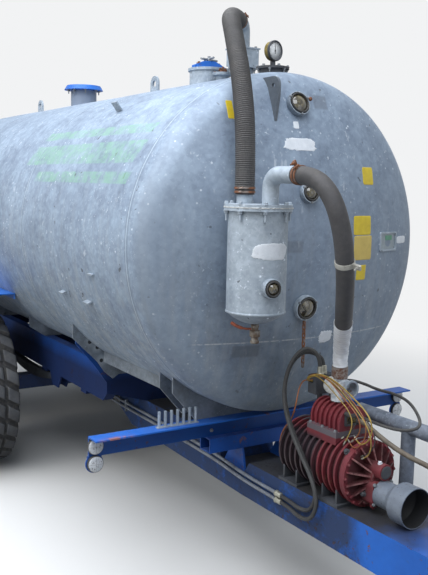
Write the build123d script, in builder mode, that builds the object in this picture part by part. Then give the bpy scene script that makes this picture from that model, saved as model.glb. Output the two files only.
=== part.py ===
from build123d import *
import math
import os

os.makedirs("parts", exist_ok=True)

# A towed vacuum slurry tanker: a galvanised tank on a painted chassis with two axles,
# and a vacuum pump on the drawbar. Millimetres. +X points to the hitch, +Y is the left
# side, +Z is up. The origin is on the ground, in the middle of the length and width.

# Lengthwise places are first given "ahead", from the tank's front seam towards the hitch.
# Heights named _Z are above the ground. Heights named _DROP are below a datum at DATUM_Z,
# which is the height of the tank's axis.

# Tank
TANK_R = 900.0
TANK_LEN = 4500.0
TANK_LOW_Z = 950.0
AXIS_Z = TANK_LOW_Z + TANK_R
DATUM_Z = 1850.0
HEAD_CROWN_R = 1950.0
HEAD_KNUCKLE_R = 155.0
HEAD_FLANGE = 35.0
SEAT = 0.3

# Ends of the whole machine
EYE_AHEAD = 2000.0
EYE_OUTER_R = 62.0
REAR_REACH = 700.0
SEAM_X = (TANK_LEN + REAR_REACH - EYE_AHEAD - EYE_OUTER_R) / 2

# Drawbar
BAR_HALF_W = 185.0
BAR_TOP_DROP = 1167.0
BAR_LOW_DROP = 1365.0
BAR_REAR_TOP_DROP = 1112.0
BAR_REAR_LOW_DROP = 1330.0
BAR_REAR_AHEAD = -1520.0
BAR_CUT_LEN = 190.0
BAR_CUT_H = 85.0
NOTCH_REAR_AHEAD = -230.0
NOTCH_FRONT_AHEAD = 10.0
NOTCH_SLOPE = 60.0
NOTCH_FLOOR_DROP = 1245.0
BAR_TAPER_AHEAD = 1520.0
BAR_FRONT_AHEAD = 1860.0
BAR_FRONT_HALF_W = 62.0
EYE_BORE_R = 25.0
EYE_H = 60.0
EYE_SHANK_R = 29.0
EYE_PLATE_T = 22.0
EYE_PLATE_H = 120.0

# Chassis rails and cross members
RAIL_IN_Y = 400.0
RAIL_OUT_Y = 470.0
RAIL_TOP_DROP = 845.0
RAIL_LOW_DROP = 1090.0
RAIL_FRONT_AHEAD = -1124.0
RAIL_REAR_AHEAD = -4880.0
RAIL_NOSE = 60.0
MEMBER_T = 90.0
MEMBER_TOP_DROP = 960.0
MEMBERS_AHEAD = [-1500.0, -2250.0, -3275.0, -4300.0]
BOLT_PLATE_T = 12.0

# Saddles, brackets and skirts under the tank
SADDLE_T = 12.0
FRONT_SADDLE_AHEAD = [-72.0, -212.0]
SADDLE_HALF_W = 590.0
SADDLE_STEP_DROP = 765.0
SADDLE_UPPER_DROP = 560.0
SADDLE_FOOT_HALF_W = 450.0
BRACKET_AHEAD = -1112.0
# columns are distance from the middle and drop
BRACKET_EDGE = [
    (712.0, 560.0),
    (712.0, 646.0),
    (544.0, 812.0),
    (496.0, 881.0),
    (440.0, 930.0),
    (400.0, 905.0),
]
PLATE_EDGE = [(682.0, 600.0), (682.0, 690.0), (560.0, 835.0), (470.0, 960.0)]
SKIRT_Y = 500.0
SKIRT_T = 10.0
SKIRT_LOW_DROP = 815.0
REAR_SADDLES_AHEAD = [-2236.0, -3261.0, -4286.0]

# Light bar and cross tube
LIGHT_HALF_W = 1057.0
LIGHT_TOP_DROP = 925.0
LIGHT_H = 106.0
LIGHT_DEPTH = 96.0
LIGHT_T = 8.0
LIGHT_FRONT_AHEAD = 22.0
TUBE_HALF_W = 380.0
TUBE_W = 100.0
TUBE_H = 80.0
TUBE_T = 6.0
TUBE_MID_AHEAD = -72.0
TUBE_GUSSET_T = 12.0
TUBE_GUSSET_Y = 165.0
LENS_R = 41.5
LENS_T = 24.0
LENS_Y = 1025.0
LENS_TOP_DROP = 976.0
LENS_LOW_DROP = 1066.0
LENS_TAB_T = 6.0

# Hose comb on the light bar
COMB_Y = -700.0
COMB_PINS = 7
COMB_PITCH = 36.0
COMB_PIN_R = 8.0
COMB_PIN_H = 85.0
COMB_STRIP_W = 26.0
COMB_STRIP_T = 6.0

# Axles, wheels and springs
AXLE_AHEAD = {"front": -2600.0, "rear": -3950.0}
WHEEL_Y = 960.0
TYRE_R = 585.0
TYRE_W = 500.0
BEAD_R = 286.0
RIM_WELL_R = 262.0
RIM_HALF_W = 218.0
RIM_T = 12.0
RIM_DISC = 30.0
TYRE_CHAMFER = 42.0
TYRE_BULGE = 40.0
TYRE_SIDE = 110.0
LUGS = 18
LUG_H = 24.0
LUG_W = 112.0
LUG_SLANT = 96.0
LUG_MID_GAP = 14.0
HUB_INNER = 250.0
HUB_CAP_R = 62.0
HUB_CAP_GAP = 8.0
HUB_R = 112.0
HUB_PROUD = 60.0
AXLE_SQ = 110.0
AXLE_BEAM_HALF = 655.0
SPINDLE_R = 45.0
HUB_BORE_CLEAR = 0.05
SPRING_Y = 435.0
SPRING_W = 48.0
SPRING_HALF_LEN = 620.0
SPRING_T = 72.0
SPRING_TIP_T = 22.0
HANGER_W = 110.0
HANGER_PLATE_T = 10.0
HANGER_GAP = 0.5
HANGER_DROP = 96.0
HANGERS_AHEAD = [-2020.0, -3275.0, -4530.0]

# Fenders
FENDER_IN_Y = 757.0
FENDER_OUT_Y = 1225.0
FENDER_TOP_DROP = 484.0
FENDER_T = 6.0
FENDER_LIP = 42.0
FENDER_END = 560.0
FENDER_FOLD = 180.0
FENDER_FOLD_DROP = 250.0
FENDER_ARM_T = 10.0
FENDER_ARM_IN = 60.0

# Pump
PUMP_Y = -35.0
PUMP_DROP = 1006.0
PUMP_REAR_AHEAD = 330.0
PUMP_FRONT_AHEAD = 800.0
PUMP_CORE_R = 132.0
PUMP_FIN_R = 154.0
PUMP_FINS = 12
PUMP_FIN_T = 11.0
COVER_R = 158.0
COVER_T = 26.0
COVER_DOME = 62.0
COVER_HUB_R = 46.0
COVER_RIBS = 14
COVER_RIB_T = 8.0
BOSS_R = 38.0
BOSS_LEN = 118.0
BOSS_RISE = 38.0
GEARBOX_W = 118.0
GEARBOX_H = 112.0
GEARBOX_LEN = 88.0
PTO_DROP = 1070.0
PTO_SHAFT_R = 17.5
PTO_SHAFT_LEN = 76.0
PTO_COLLAR_R = 27.0
PTO_CLEAR = 2.0
PTO_COLLAR_LEN = 18.0
PTO_BEARING_DEPTH = 32.0
PTO_BEARING_CLEAR = 0.05
GUARD_SMALL_R = 62.0
GUARD_MOUTH_R = 92.0
GUARD_CYL_LEN = 78.0
GUARD_CONE_LEN = 128.0
GUARD_T = 4.0
MANIFOLD_REAR_AHEAD = 486.0
MANIFOLD_LEN = 214.0
MANIFOLD_HALF_W = 84.0
MANIFOLD_TOP_DROP = 712.0
MANIFOLD_FINS = 7
MANIFOLD_FIN_H = 12.0
COLLAR_T = 22.0
COLLAR_HALF_W = 104.0
FOOT_T = 14.0
FOOT_HALF_W = 146.0
FOOT_LEN = 150.0
FEET_AHEAD = [400.0, 700.0]
FOOT_WEB_T = 12.0

# Moisture trap and its pipes
TRAP_HEAD_GAP = 35.0
TRAP_Y = -460.0
TRAP_R = 138.0
TRAP_TOP_DROP = -212.0
TRAP_SEAM_DROP = 262.0
TRAP_DISH = 60.0
TRAP_LID_R = 156.0
TRAP_LID_T = 12.0
TRAP_GASKET_T = 6.0
TRAP_ARM_H = 46.0
TRAP_ARM_W = 60.0
TRAP_ARM_DROPS = [-130.0, 150.0]
DRAIN_R = 17.0
DRAIN_LEN = 92.0
DRAIN_LEVER_LEN = 150.0
DRAIN_BALL = 9.0
STUB_R = 38.0
STUB_LEN = 52.0
RISER_R = 48.0
PUMP_HOSE_R = 41.0
RISER_OFF = -113.0
ELBOW_OFF = 90.0
ELBOW_RISE = 132.0
ELBOW_REACH = 178.0
# columns of every hose, lead and pipe route are ahead, y and height above the datum
RISER_POINTS = [
    (265.0, -430.0, 800.0),
    (100.0, -370.0, 1030.0),
]
RISER_RISE = 268.0
RISER_LEAD = 251.0
PUMP_HOSE_LEAD = 122.0
PUMP_HOSE_POINTS = [
    (965.0, -445.0, 275.0),
    (1000.0, -415.0, 130.0),
    (965.0, -360.0, -40.0),
    (860.0, -265.0, -190.0),
    (735.0, -155.0, -315.0),
    (635.0, -72.0, -415.0),
]
HYDRAULIC_R = 10.0
HYDRAULIC_A_POINTS = [
    (430.0, -197.0, -1275.4),
    (540.0, -212.0, -1290.0),
    (645.0, -226.0, -1262.0),
    (690.0, -226.0, -1165.0),
    (640.0, -222.0, -1065.0),
    (545.0, -218.0, -975.0),
    (450.0, -214.0, -870.0),
    (385.0, -212.0, -750.0),
    (375.0, -200.0, -630.0),
    (392.0, -165.0, -525.0),
    (425.0, -115.0, -470.0),
    (460.0, -70.0, -500.0),
    (470.0, -55.0, -560.0),
]
HYDRAULIC_B_POINTS = [
    (425.0, -197.0, -1241.3),
    (525.0, -202.0, -1254.0),
    (612.0, -204.0, -1232.0),
    (652.0, -204.0, -1150.0),
    (612.0, -202.0, -1065.0),
    (520.0, -198.0, -965.0),
    (425.0, -194.0, -860.0),
    (362.0, -190.0, -745.0),
    (352.0, -180.0, -635.0),
    (368.0, -145.0, -540.0),
    (405.0, -95.0, -495.0),
    (445.0, -35.0, -520.0),
    (455.0, -20.0, -565.0),
]
CABLE_R = 7.0
CABLE_POINTS = [
    (515.0, -20.0, -668.0),
    (530.0, 15.0, -635.0),
    (560.0, 65.0, -628.0),
    (612.0, 105.0, -640.0),
    (700.0, 122.0, -655.0),
    (828.0, 100.0, -640.0),
    (961.0, 60.0, -641.0),
    (1070.0, 9.0, -675.0),
    (1115.0, -29.0, -702.0),
    (1104.0, -69.0, -716.0),
    (1054.0, -89.0, -727.0),
    (983.0, -109.0, -727.0),
    (899.0, -120.0, -721.0),
    (816.0, -110.0, -722.0),
    (748.0, -84.0, -745.0),
]
CABLE_START = (515.0, -20.0)
CABLE_END = (-84.0, -745.0)
FRONT_HOSE_R = 12.0
FRONT_HOSE_START = (-10.0, -785.0)
FRONT_HOSE_POINTS = [
    (750.0, -10.0, -785.0),
    (805.0, -5.0, -810.0),
    (865.0, 6.0, -838.0),
    (930.0, 18.0, -862.0),
    (1005.0, 38.0, -886.0),
    (1085.0, 65.0, -904.0),
    (1160.0, 92.0, -934.0),
    (1225.0, 112.0, -985.0),
    (1280.0, 122.0, -1050.0),
    (1335.0, 124.0, -1110.0),
    (1395.0, 120.0, -1146.0),
    (1465.0, 108.0, -1154.5),
    (1540.0, 88.0, -1154.5),
    (1600.0, 66.0, -1154.5),
]
LEAD_R = 3.5
YELLOW_START = (452.0, -640.0)
YELLOW_POINTS = [
    (452.0, -112.0, -640.0),
    (466.0, -130.0, -617.0),
    (506.0, -128.0, -592.0),
    (565.0, -123.0, -580.0),
    (640.0, -125.0, -586.0),
    (715.0, -130.0, -604.0),
    (796.0, -140.0, -630.0),
    (872.0, -145.0, -660.0),
    (926.0, -148.0, -694.0),
    (947.0, -148.0, -738.0),
    (936.0, -145.0, -786.0),
    (900.0, -140.0, -824.0),
    (852.0, -135.0, -843.0),
    (818.0, -129.0, -818.0),
]
ORANGE_START = (-60.0, -650.0)
ORANGE_POINTS = [
    (392.0, -60.0, -650.0),
    (386.0, -96.0, -652.0),
    (418.0, -145.0, -682.0),
    (430.0, -164.0, -728.0),
    (426.0, -172.0, -780.0),
    (406.0, -172.0, -828.0),
    (372.0, -168.0, -868.0),
    (334.0, -164.0, -905.0),
    (305.0, -160.0, -952.0),
    (292.0, -156.0, -1005.0),
    (300.0, -152.0, -1058.0),
]
PORT_LEAD = 98.0
PORT_AHEAD = 590.0
PORT_H = 112.0
PORT_LEN = 92.0
PORT_WALL = 5.0

# Changeover box on the pump, with the tool chain that hangs from the low sight glass
BOX_AHEAD = 449.0
BOX_LEN = 62.0
BOX_Y = -25.0
BOX_HALF_W = 62.0
BOX_TOP_DROP = 612.0
BOX_H = 93.0
BOX_POST_R = 14.0
BOX_BASE_L = 76.0
BOX_BASE_T = 8.0
LINK_LEN = 32.0
LINK_W = 19.0
LINK_T = 5.0
LINK_SLACK = 1.2
CHAIN_LINKS = 11
CHAIN_REACH = 40.0
CHAIN_OUT = 31.0
CHAIN_DROP = 266.0

# Top fittings
MANHOLE_AHEAD = -725.0
MANHOLE_R = 114.0
MANHOLE_WALL = 8.0
MANHOLE_TOP = 78.0
MANHOLE_DEPTH = 70.0
LID_R = 124.0
LID_T = 16.0
LID_GAP = 0.3
LID_HINGE_R = 9.0
LID_PIN_R = 5.0
LID_EAR_Y = 34.0
LID_EAR_T = 8.0
LID_EAR_H = 50.0
LID_TONGUE_HALF = 29.0
YOKE_W = 36.0
YOKE_T = 16.0
YOKE_RISE = 46.0
HANDLE_R = 9.0
HANDLE_BAR_R = 6.5
HANDLE_HALF = 52.0
HANDLE_UP = 30.0
VALVE_AHEAD = -369.0
VALVE_W = 134.0
VALVE_H = 97.0
VALVE_LID_LIP = 4.0
VALVE_NECK_R = 62.0
VALVE_NECK_H = 74.0
VALVE_FLANGE_R = 80.0
VALVE_FLANGE_T = 14.0
VALVE_ELBOW_UP = 127.0
VALVE_ELBOW_OUT = 113.0
VALVE_ELBOW_TURN = -46.0
GAUGE_AHEAD = -82.0
GAUGE_NECK_R = 72.0
GAUGE_NECK_H = 26.0
GAUGE_FLANGE_R = 88.0
GAUGE_FLANGE_T = 12.0
GAUGE_STEM_R = 14.0
GAUGE_R = 54.0
GAUGE_T = 42.0
GAUGE_TURN = 10.0
GAUGE_H = 122.0
RELIEF_AHEAD = -2600.0
RELIEF_NECK_R = 100.0
RELIEF_LID_R = 152.0
RELIEF_H = 126.0
RELIEF_LID_T = 34.0
RELIEF_TAPER = 30.0

# Lugs on the shell
EYE_LUG_W = 105.0
EYE_LUG_H = 122.0
EYE_LUG_T = 14.0
EYE_LUG_HOLE_R = 24.0
EYE_LUGS_AHEAD = [-1405.0, -3560.0]
HEAD_LUG_Y = -205.0
HEAD_LUG_IN = 55.0
HEAD_LUG_LEN = 215.0
HEAD_LUG_BACK = 90.0
HEAD_LUG_R = 45.0
# columns are ahead, degrees from the top towards the right side, width along, height
SHELL_TABS = [
    (-820.0, 36.8, 70.0, 60.0),
    (-908.0, 110.9, 60.0, 30.0),
    (-559.0, 111.7, 70.0, 30.0),
    (-425.0, 100.8, 60.0, 16.0),
]
TAB_T = 8.0

# Sight glasses on the front head: column is (height above the axis, ring radius)
GLASS_Y = -61.0
GLASSES = [(716.0, 62.0), (282.0, 52.0), (-288.0, 64.0)]
GLASS_STAND = 34.0
GLASS_LIP = 16.0

# Rear door, outlet and lights
DOOR_Z_OFF = 60.0
DOOR_NECK_R = 305.0
DOOR_NECK_WALL = 10.0
DOOR_NECK_LEN = 78.0
DOOR_R = 338.0
DOOR_T = 14.0
DOOR_DISH = 46.0
DOOR_HINGE_R = 14.0
DOOR_PIN_R = 8.0
DOOR_EAR_GAP = 6.0
DOOR_HINGE_H = 260.0
DOOR_HINGE_OUT = 34.0
OUTLET_DROP = 640.0
OUTLET_R = 84.0
OUTLET_WALL = 6.0
GATE_T = 58.0
GATE_W = 250.0
GATE_H = 400.0
GATE_BACK = 470.0
OUTLET_BACK = 610.0
SPREAD_W = 420.0
SPREAD_T = 8.0
SPREAD_TILT = 40.0
SPREAD_DROP = 60.0
REAR_BAR_HALF_W = 1150.0
REAR_BAR_H = 110.0
REAR_BAR_T = 8.0
REAR_BAR_DROP = 1000.0
LAMP_W = 210.0
LAMP_H = 96.0
LAMP_T = 46.0
LAMP_Y = 1020.0

# Parking jack
JACK_AHEAD = 1330.0
JACK_SQ = 76.0
JACK_WALL = 6.0
JACK_CLEAR = 0.3
JACK_TOP_Z = 1010.0
JACK_LOW_Z = 420.0
JACK_LEG_TOP_Z = 610.0
JACK_PLATE_T = 12.0
JACK_BRACKET_T = 14.0
FOOT_PLATE = 210.0
CRANK_R = 9.0
CRANK_LEN = 150.0
CRANK_GRIP = 110.0

# Pump's exhaust pipe
EXHAUST_Y = 140.0
EXHAUST_R = 36.0
EXHAUST_BRANCH_R = 30.0
EXHAUST_DOWN_R = 34.0
EXHAUST_DROP = 790.0
EXHAUST_DOWN_AHEAD = 890.0
EXHAUST_FRONT_AHEAD = 1240.0

# Steel brake and lift pipes along the drawbar
PIPE_R = 9.0
PIPE_PITCH = 34.0
PIPE_STAND = 12.0
# columns are ahead and drop
PIPE_POINTS = [(-1850.0, 1188.0), (-620.0, 1200.0), (-230.0, 1210.0), (40.0, 1236.0), (330.0, 1240.0)]
PIPE_CLIPS_AHEAD = [-1400.0, -700.0]
PIPE_CLIP_DROP = 1212.0


def at_x(ahead):
    return ahead + SEAM_X


def at_z(drop):
    return DATUM_Z - drop


def side(y=0.0):
    # upright plane along the machine: local x is X, local y is Z, the normal is -Y
    return Plane(origin=(0, y, 0), x_dir=(1, 0, 0), z_dir=(0, -1, 0))


def cross(x):
    # upright plane across the machine: local x is Y, local y is Z, the normal is +X
    return Plane(origin=(x, 0, 0), x_dir=(0, 1, 0), z_dir=(1, 0, 0))


def save(piece, name):
    piece.part.label = name
    export_step(piece.part, "parts/" + name + ".step")


# The dished head, as a profile from its apex to the seam, and its depth at a radius
HEAD_ANGLE = math.asin((TANK_R - HEAD_KNUCKLE_R) / (HEAD_CROWN_R - HEAD_KNUCKLE_R))
CROWN_C = HEAD_FLANGE - (HEAD_CROWN_R - HEAD_KNUCKLE_R) * math.cos(HEAD_ANGLE)
HEAD_DEPTH = CROWN_C + HEAD_CROWN_R


def head_reach(radius):
    # how far the head stands ahead of its seam, at a radius inside the crown
    return CROWN_C + math.sqrt(HEAD_CROWN_R**2 - radius**2)


def tank_solid(grow):
    # tank with both heads, grown outward by a small amount
    crown = HEAD_CROWN_R + grow
    knuckle = HEAD_KNUCKLE_R + grow
    bend = math.pi / 2 - HEAD_ANGLE
    with BuildPart() as body:
        with BuildSketch(Plane(origin=(SEAM_X, 0, AXIS_Z), x_dir=(1, 0, 0), z_dir=(0, -1, 0))):
            with BuildLine():
                for sign, shift in ((1, 0.0), (-1, -TANK_LEN)):
                    apex = (shift + sign * (CROWN_C + crown), 0)
                    crown_mid = (
                        shift + sign * (CROWN_C + crown * math.cos(HEAD_ANGLE / 2)),
                        crown * math.sin(HEAD_ANGLE / 2),
                    )
                    joint = (
                        shift + sign * (CROWN_C + crown * math.cos(HEAD_ANGLE)),
                        crown * math.sin(HEAD_ANGLE),
                    )
                    knuckle_mid = (
                        shift + sign * (HEAD_FLANGE + knuckle * math.sin(bend / 2)),
                        TANK_R - HEAD_KNUCKLE_R + knuckle * math.cos(bend / 2),
                    )
                    rim = (shift + sign * HEAD_FLANGE, TANK_R + grow)
                    ThreePointArc(apex, crown_mid, joint)
                    ThreePointArc(joint, knuckle_mid, rim)
                Line((HEAD_FLANGE, TANK_R + grow), (-TANK_LEN - HEAD_FLANGE, TANK_R + grow))
                Line((-TANK_LEN - CROWN_C - crown, 0), (CROWN_C + crown, 0))
            make_face()
        revolve(axis=Axis((SEAM_X, 0, AXIS_Z), (1, 0, 0)))
    return body.part


tank_room = tank_solid(SEAT)

with BuildPart() as tank_shell:
    add(tank_solid(0.0))
save(tank_shell, "tank_shell")

# Saddles: two cross plates under the front head, a bolted bracket behind them, skirts
# between the two, and three plain saddles on the chassis rails
foot_z = at_z(LIGHT_TOP_DROP)
step_z = at_z(SADDLE_STEP_DROP)
upper_z = at_z(SADDLE_UPPER_DROP)
bar_rear_top_z = at_z(BAR_REAR_TOP_DROP)
with BuildPart() as tank_saddles:
    for ahead in FRONT_SADDLE_AHEAD:
        with BuildSketch(cross(at_x(ahead))):
            Polygon(
                (-SADDLE_HALF_W, upper_z),
                (-SADDLE_HALF_W, step_z),
                (-SADDLE_FOOT_HALF_W, foot_z),
                (SADDLE_FOOT_HALF_W, foot_z),
                (SADDLE_HALF_W, step_z),
                (SADDLE_HALF_W, upper_z),
                align=None,
            )
        extrude(amount=SADDLE_T)
    # the rear one of the two reaches down to the drawbar
    with BuildSketch(cross(at_x(FRONT_SADDLE_AHEAD[1]))):
        Polygon(
            (-BAR_HALF_W, foot_z + SADDLE_T),
            (-BAR_HALF_W, bar_rear_top_z),
            (BAR_HALF_W, bar_rear_top_z),
            (BAR_HALF_W, foot_z + SADDLE_T),
            align=None,
        )
    extrude(amount=SADDLE_T)
    # bracket with its pointed tips, bolted to the chassis
    with BuildSketch(cross(at_x(BRACKET_AHEAD))):
        Polygon(
            *[(-y, at_z(drop)) for y, drop in BRACKET_EDGE],
            *[(y, at_z(drop)) for y, drop in reversed(BRACKET_EDGE)],
            align=None,
        )
    extrude(amount=SADDLE_T)
    # skirts
    skirt_x0 = at_x(BRACKET_AHEAD)
    skirt_x1 = at_x(FRONT_SADDLE_AHEAD[0]) + SADDLE_T
    for sign in (-1, 1):
        with BuildSketch(side(sign * SKIRT_Y)):
            with Locations(((skirt_x0 + skirt_x1) / 2, at_z(SKIRT_LOW_DROP))):
                skirt_h = SKIRT_LOW_DROP - SADDLE_UPPER_DROP
                Rectangle(skirt_x1 - skirt_x0, skirt_h, align=(Align.CENTER, Align.MIN))
        extrude(amount=SKIRT_T / 2, both=True)
    # saddles on the rails
    for ahead in REAR_SADDLES_AHEAD:
        with BuildSketch(cross(at_x(ahead))):
            Polygon(
                (-SADDLE_HALF_W, upper_z),
                (-SADDLE_HALF_W, step_z),
                (-RAIL_OUT_Y, at_z(RAIL_TOP_DROP)),
                (RAIL_OUT_Y, at_z(RAIL_TOP_DROP)),
                (SADDLE_HALF_W, step_z),
                (SADDLE_HALF_W, upper_z),
                align=None,
            )
        extrude(amount=SADDLE_T)
    add(tank_room, mode=Mode.SUBTRACT)
save(tank_saddles, "tank_saddles")

# Chassis: two deep rails, cross members, and an upright plate bolted to the bracket
rail_top = at_z(RAIL_TOP_DROP)
rail_low = at_z(RAIL_LOW_DROP)
rail_x0 = at_x(RAIL_REAR_AHEAD)
rail_x1 = at_x(RAIL_FRONT_AHEAD)
rail_w = RAIL_OUT_Y - RAIL_IN_Y
with BuildPart() as chassis_frame:
    for sign in (-1, 1):
        with BuildSketch(side(sign * (RAIL_IN_Y + RAIL_OUT_Y) / 2)):
            Polygon(
                (rail_x0, rail_low + RAIL_NOSE),
                (rail_x0, rail_top),
                (rail_x1, rail_top),
                (rail_x1, rail_low + RAIL_NOSE),
                (rail_x1 - RAIL_NOSE, rail_low),
                (rail_x0 + RAIL_NOSE, rail_low),
                align=None,
            )
        extrude(amount=rail_w / 2, both=True)
    for ahead in MEMBERS_AHEAD:
        with BuildSketch(cross(at_x(ahead))):
            with Locations((0, (at_z(MEMBER_TOP_DROP) + bar_rear_top_z) / 2)):
                Rectangle(2 * RAIL_OUT_Y, at_z(MEMBER_TOP_DROP) - bar_rear_top_z)
        extrude(amount=MEMBER_T / 2, both=True)
    # upright plate behind the bracket
    with BuildSketch(cross(at_x(RAIL_FRONT_AHEAD))):
        Polygon(
            *[(-y, at_z(drop)) for y, drop in PLATE_EDGE],
            (-RAIL_OUT_Y, rail_low + RAIL_NOSE),
            (-BAR_HALF_W, bar_rear_top_z),
            (BAR_HALF_W, bar_rear_top_z),
            (RAIL_OUT_Y, rail_low + RAIL_NOSE),
            *[(y, at_z(drop)) for y, drop in reversed(PLATE_EDGE)],
            align=None,
        )
    extrude(amount=-BOLT_PLATE_T)
    # spring hangers, each a pair of cheeks under its rail
    for ahead in HANGERS_AHEAD:
        for sign in (-1, 1):
            for cheek in (-1, 1):
                y = sign * SPRING_Y + cheek * (SPRING_W / 2 + HANGER_GAP + HANGER_PLATE_T / 2)
                with BuildSketch(side(y)):
                    Polygon(
                        (at_x(ahead) - HANGER_W, rail_low),
                        (at_x(ahead) - HANGER_W / 2, rail_low - HANGER_DROP),
                        (at_x(ahead) + HANGER_W / 2, rail_low - HANGER_DROP),
                        (at_x(ahead) + HANGER_W, rail_low),
                        align=None,
                    )
                extrude(amount=HANGER_PLATE_T / 2, both=True)
    add(tank_room, mode=Mode.SUBTRACT)
save(chassis_frame, "chassis_frame")

# Drawbar: a box with a cut rear corner, a notch under the cross tube and a tapered nose
bar_top = at_z(BAR_TOP_DROP)
bar_low = at_z(BAR_LOW_DROP)
bar_rear = at_x(BAR_REAR_AHEAD)
bar_front = at_x(BAR_FRONT_AHEAD)
with BuildPart() as drawbar:
    with BuildSketch(side()):
        Polygon(
            (bar_rear, bar_rear_top_z),
            (at_x(NOTCH_REAR_AHEAD), bar_rear_top_z),
            (at_x(NOTCH_REAR_AHEAD) + NOTCH_SLOPE / 3, at_z(NOTCH_FLOOR_DROP)),
            (at_x(NOTCH_FRONT_AHEAD), at_z(NOTCH_FLOOR_DROP)),
            (at_x(NOTCH_FRONT_AHEAD) + NOTCH_SLOPE, bar_top),
            (bar_front, bar_top),
            (bar_front, bar_low + BAR_CUT_H / 2),
            (at_x(BAR_TAPER_AHEAD), bar_low),
            (at_x(NOTCH_FRONT_AHEAD), bar_low),
            (bar_rear + BAR_CUT_LEN, at_z(BAR_REAR_LOW_DROP)),
            (bar_rear, at_z(BAR_REAR_LOW_DROP) + BAR_CUT_H),
            align=None,
        )
    extrude(amount=BAR_HALF_W, both=True)
    with BuildSketch(Plane.XY):
        Polygon(
            (bar_rear, -BAR_HALF_W),
            (at_x(BAR_TAPER_AHEAD), -BAR_HALF_W),
            (bar_front, -BAR_FRONT_HALF_W),
            (bar_front, BAR_FRONT_HALF_W),
            (at_x(BAR_TAPER_AHEAD), BAR_HALF_W),
            (bar_rear, BAR_HALF_W),
            align=None,
        )
    extrude(amount=AXIS_Z, mode=Mode.INTERSECT)
save(drawbar, "drawbar")

# Towing eye with its shank and bolted plate
eye_z = (bar_top + bar_low) / 2
with BuildPart() as drawbar_eye:
    with BuildSketch(Plane.XY.offset(eye_z)):
        with Locations((at_x(EYE_AHEAD), 0)):
            Circle(EYE_OUTER_R)
    extrude(amount=EYE_H / 2, both=True)
    with BuildSketch(cross(bar_front)):
        with Locations((0, eye_z)):
            Rectangle(2 * BAR_FRONT_HALF_W, EYE_PLATE_H)
    extrude(amount=EYE_PLATE_T)
    with BuildSketch(cross(bar_front)):
        with Locations((0, eye_z)):
            Circle(EYE_SHANK_R)
    extrude(amount=EYE_AHEAD - BAR_FRONT_AHEAD)
    with BuildSketch(Plane.XY.offset(eye_z)):
        with Locations((at_x(EYE_AHEAD), 0)):
            Circle(EYE_BORE_R)
    extrude(amount=EYE_H, both=True, mode=Mode.SUBTRACT)
save(drawbar_eye, "drawbar_eye")

# Cross tube over the notch, with a pair of gussets down to the drawbar
tube_top = at_z(LIGHT_TOP_DROP + LIGHT_H)
with BuildPart() as cross_tube:
    with BuildSketch(side()):
        with Locations((at_x(TUBE_MID_AHEAD), tube_top - TUBE_H / 2)):
            Rectangle(TUBE_W, TUBE_H)
            Rectangle(TUBE_W - 2 * TUBE_T, TUBE_H - 2 * TUBE_T, mode=Mode.SUBTRACT)
    extrude(amount=TUBE_HALF_W, both=True)
    for sign in (-1, 1):
        with BuildSketch(side(sign * TUBE_GUSSET_Y)):
            Polygon(
                (at_x(TUBE_MID_AHEAD) - TUBE_W / 2, tube_top - TUBE_H),
                (at_x(NOTCH_REAR_AHEAD) + NOTCH_SLOPE / 3 + SEAT, at_z(NOTCH_FLOOR_DROP)),
                (at_x(NOTCH_FRONT_AHEAD) - SEAT, at_z(NOTCH_FLOOR_DROP)),
                (at_x(TUBE_MID_AHEAD) + TUBE_W / 2, tube_top - TUBE_H),
                align=None,
            )
        extrude(amount=TUBE_GUSSET_T / 2, both=True)
save(cross_tube, "cross_tube")

# Light bar: an angle with its upright leg at the rear, and a tab under each end for the lower lens
light_x1 = at_x(LIGHT_FRONT_AHEAD)
light_x0 = light_x1 - LIGHT_DEPTH
light_top = at_z(LIGHT_TOP_DROP)
light_low = light_top - LIGHT_H
leg_x1 = light_x0 + LIGHT_T
with BuildPart() as light_bar:
    with BuildSketch(side()):
        Polygon(
            (light_x0, light_low),
            (leg_x1, light_low),
            (leg_x1, light_top - LIGHT_T),
            (light_x1, light_top - LIGHT_T),
            (light_x1, light_top),
            (light_x0, light_top),
            align=None,
        )
    extrude(amount=LIGHT_HALF_W, both=True)
    for sign in (-1, 1):
        with BuildSketch(cross(leg_x1)):
            with Locations((sign * LENS_Y, at_z(LENS_LOW_DROP))):
                Circle(LENS_R + LENS_TAB_T)
            with Locations((sign * LENS_Y, light_low + LENS_TAB_T)):
                Rectangle(2 * LENS_R - LENS_TAB_T, LENS_R, align=(Align.CENTER, Align.MAX))
        extrude(amount=-LENS_TAB_T)
save(light_bar, "light_bar")

with BuildPart() as front_lamps:
    for drop in (LENS_TOP_DROP, LENS_LOW_DROP):
        with BuildSketch(cross(leg_x1 + SEAT)):
            with Locations((-LENS_Y, at_z(drop)), (LENS_Y, at_z(drop))):
                Circle(LENS_R)
        extrude(amount=LENS_T)
save(front_lamps, "front_lamps")

# Comb of upright pins that keeps the hoses in order
with BuildPart() as hose_comb:
    with BuildSketch(Plane.XY.offset(light_top)):
        with Locations((light_x0 + LIGHT_DEPTH / 2, COMB_Y)):
            comb_len = COMB_PITCH * (COMB_PINS - 1) + COMB_STRIP_W
            Rectangle(COMB_STRIP_W, comb_len, align=(Align.CENTER, Align.MIN))
    extrude(amount=COMB_STRIP_T)
    with BuildSketch(Plane.XY.offset(light_top)):
        for index in range(COMB_PINS):
            with Locations((light_x0 + LIGHT_DEPTH / 2, COMB_Y + COMB_STRIP_W / 2 + index * COMB_PITCH)):
                Circle(COMB_PIN_R)
    extrude(amount=COMB_PIN_H)
save(hose_comb, "hose_comb")

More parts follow.
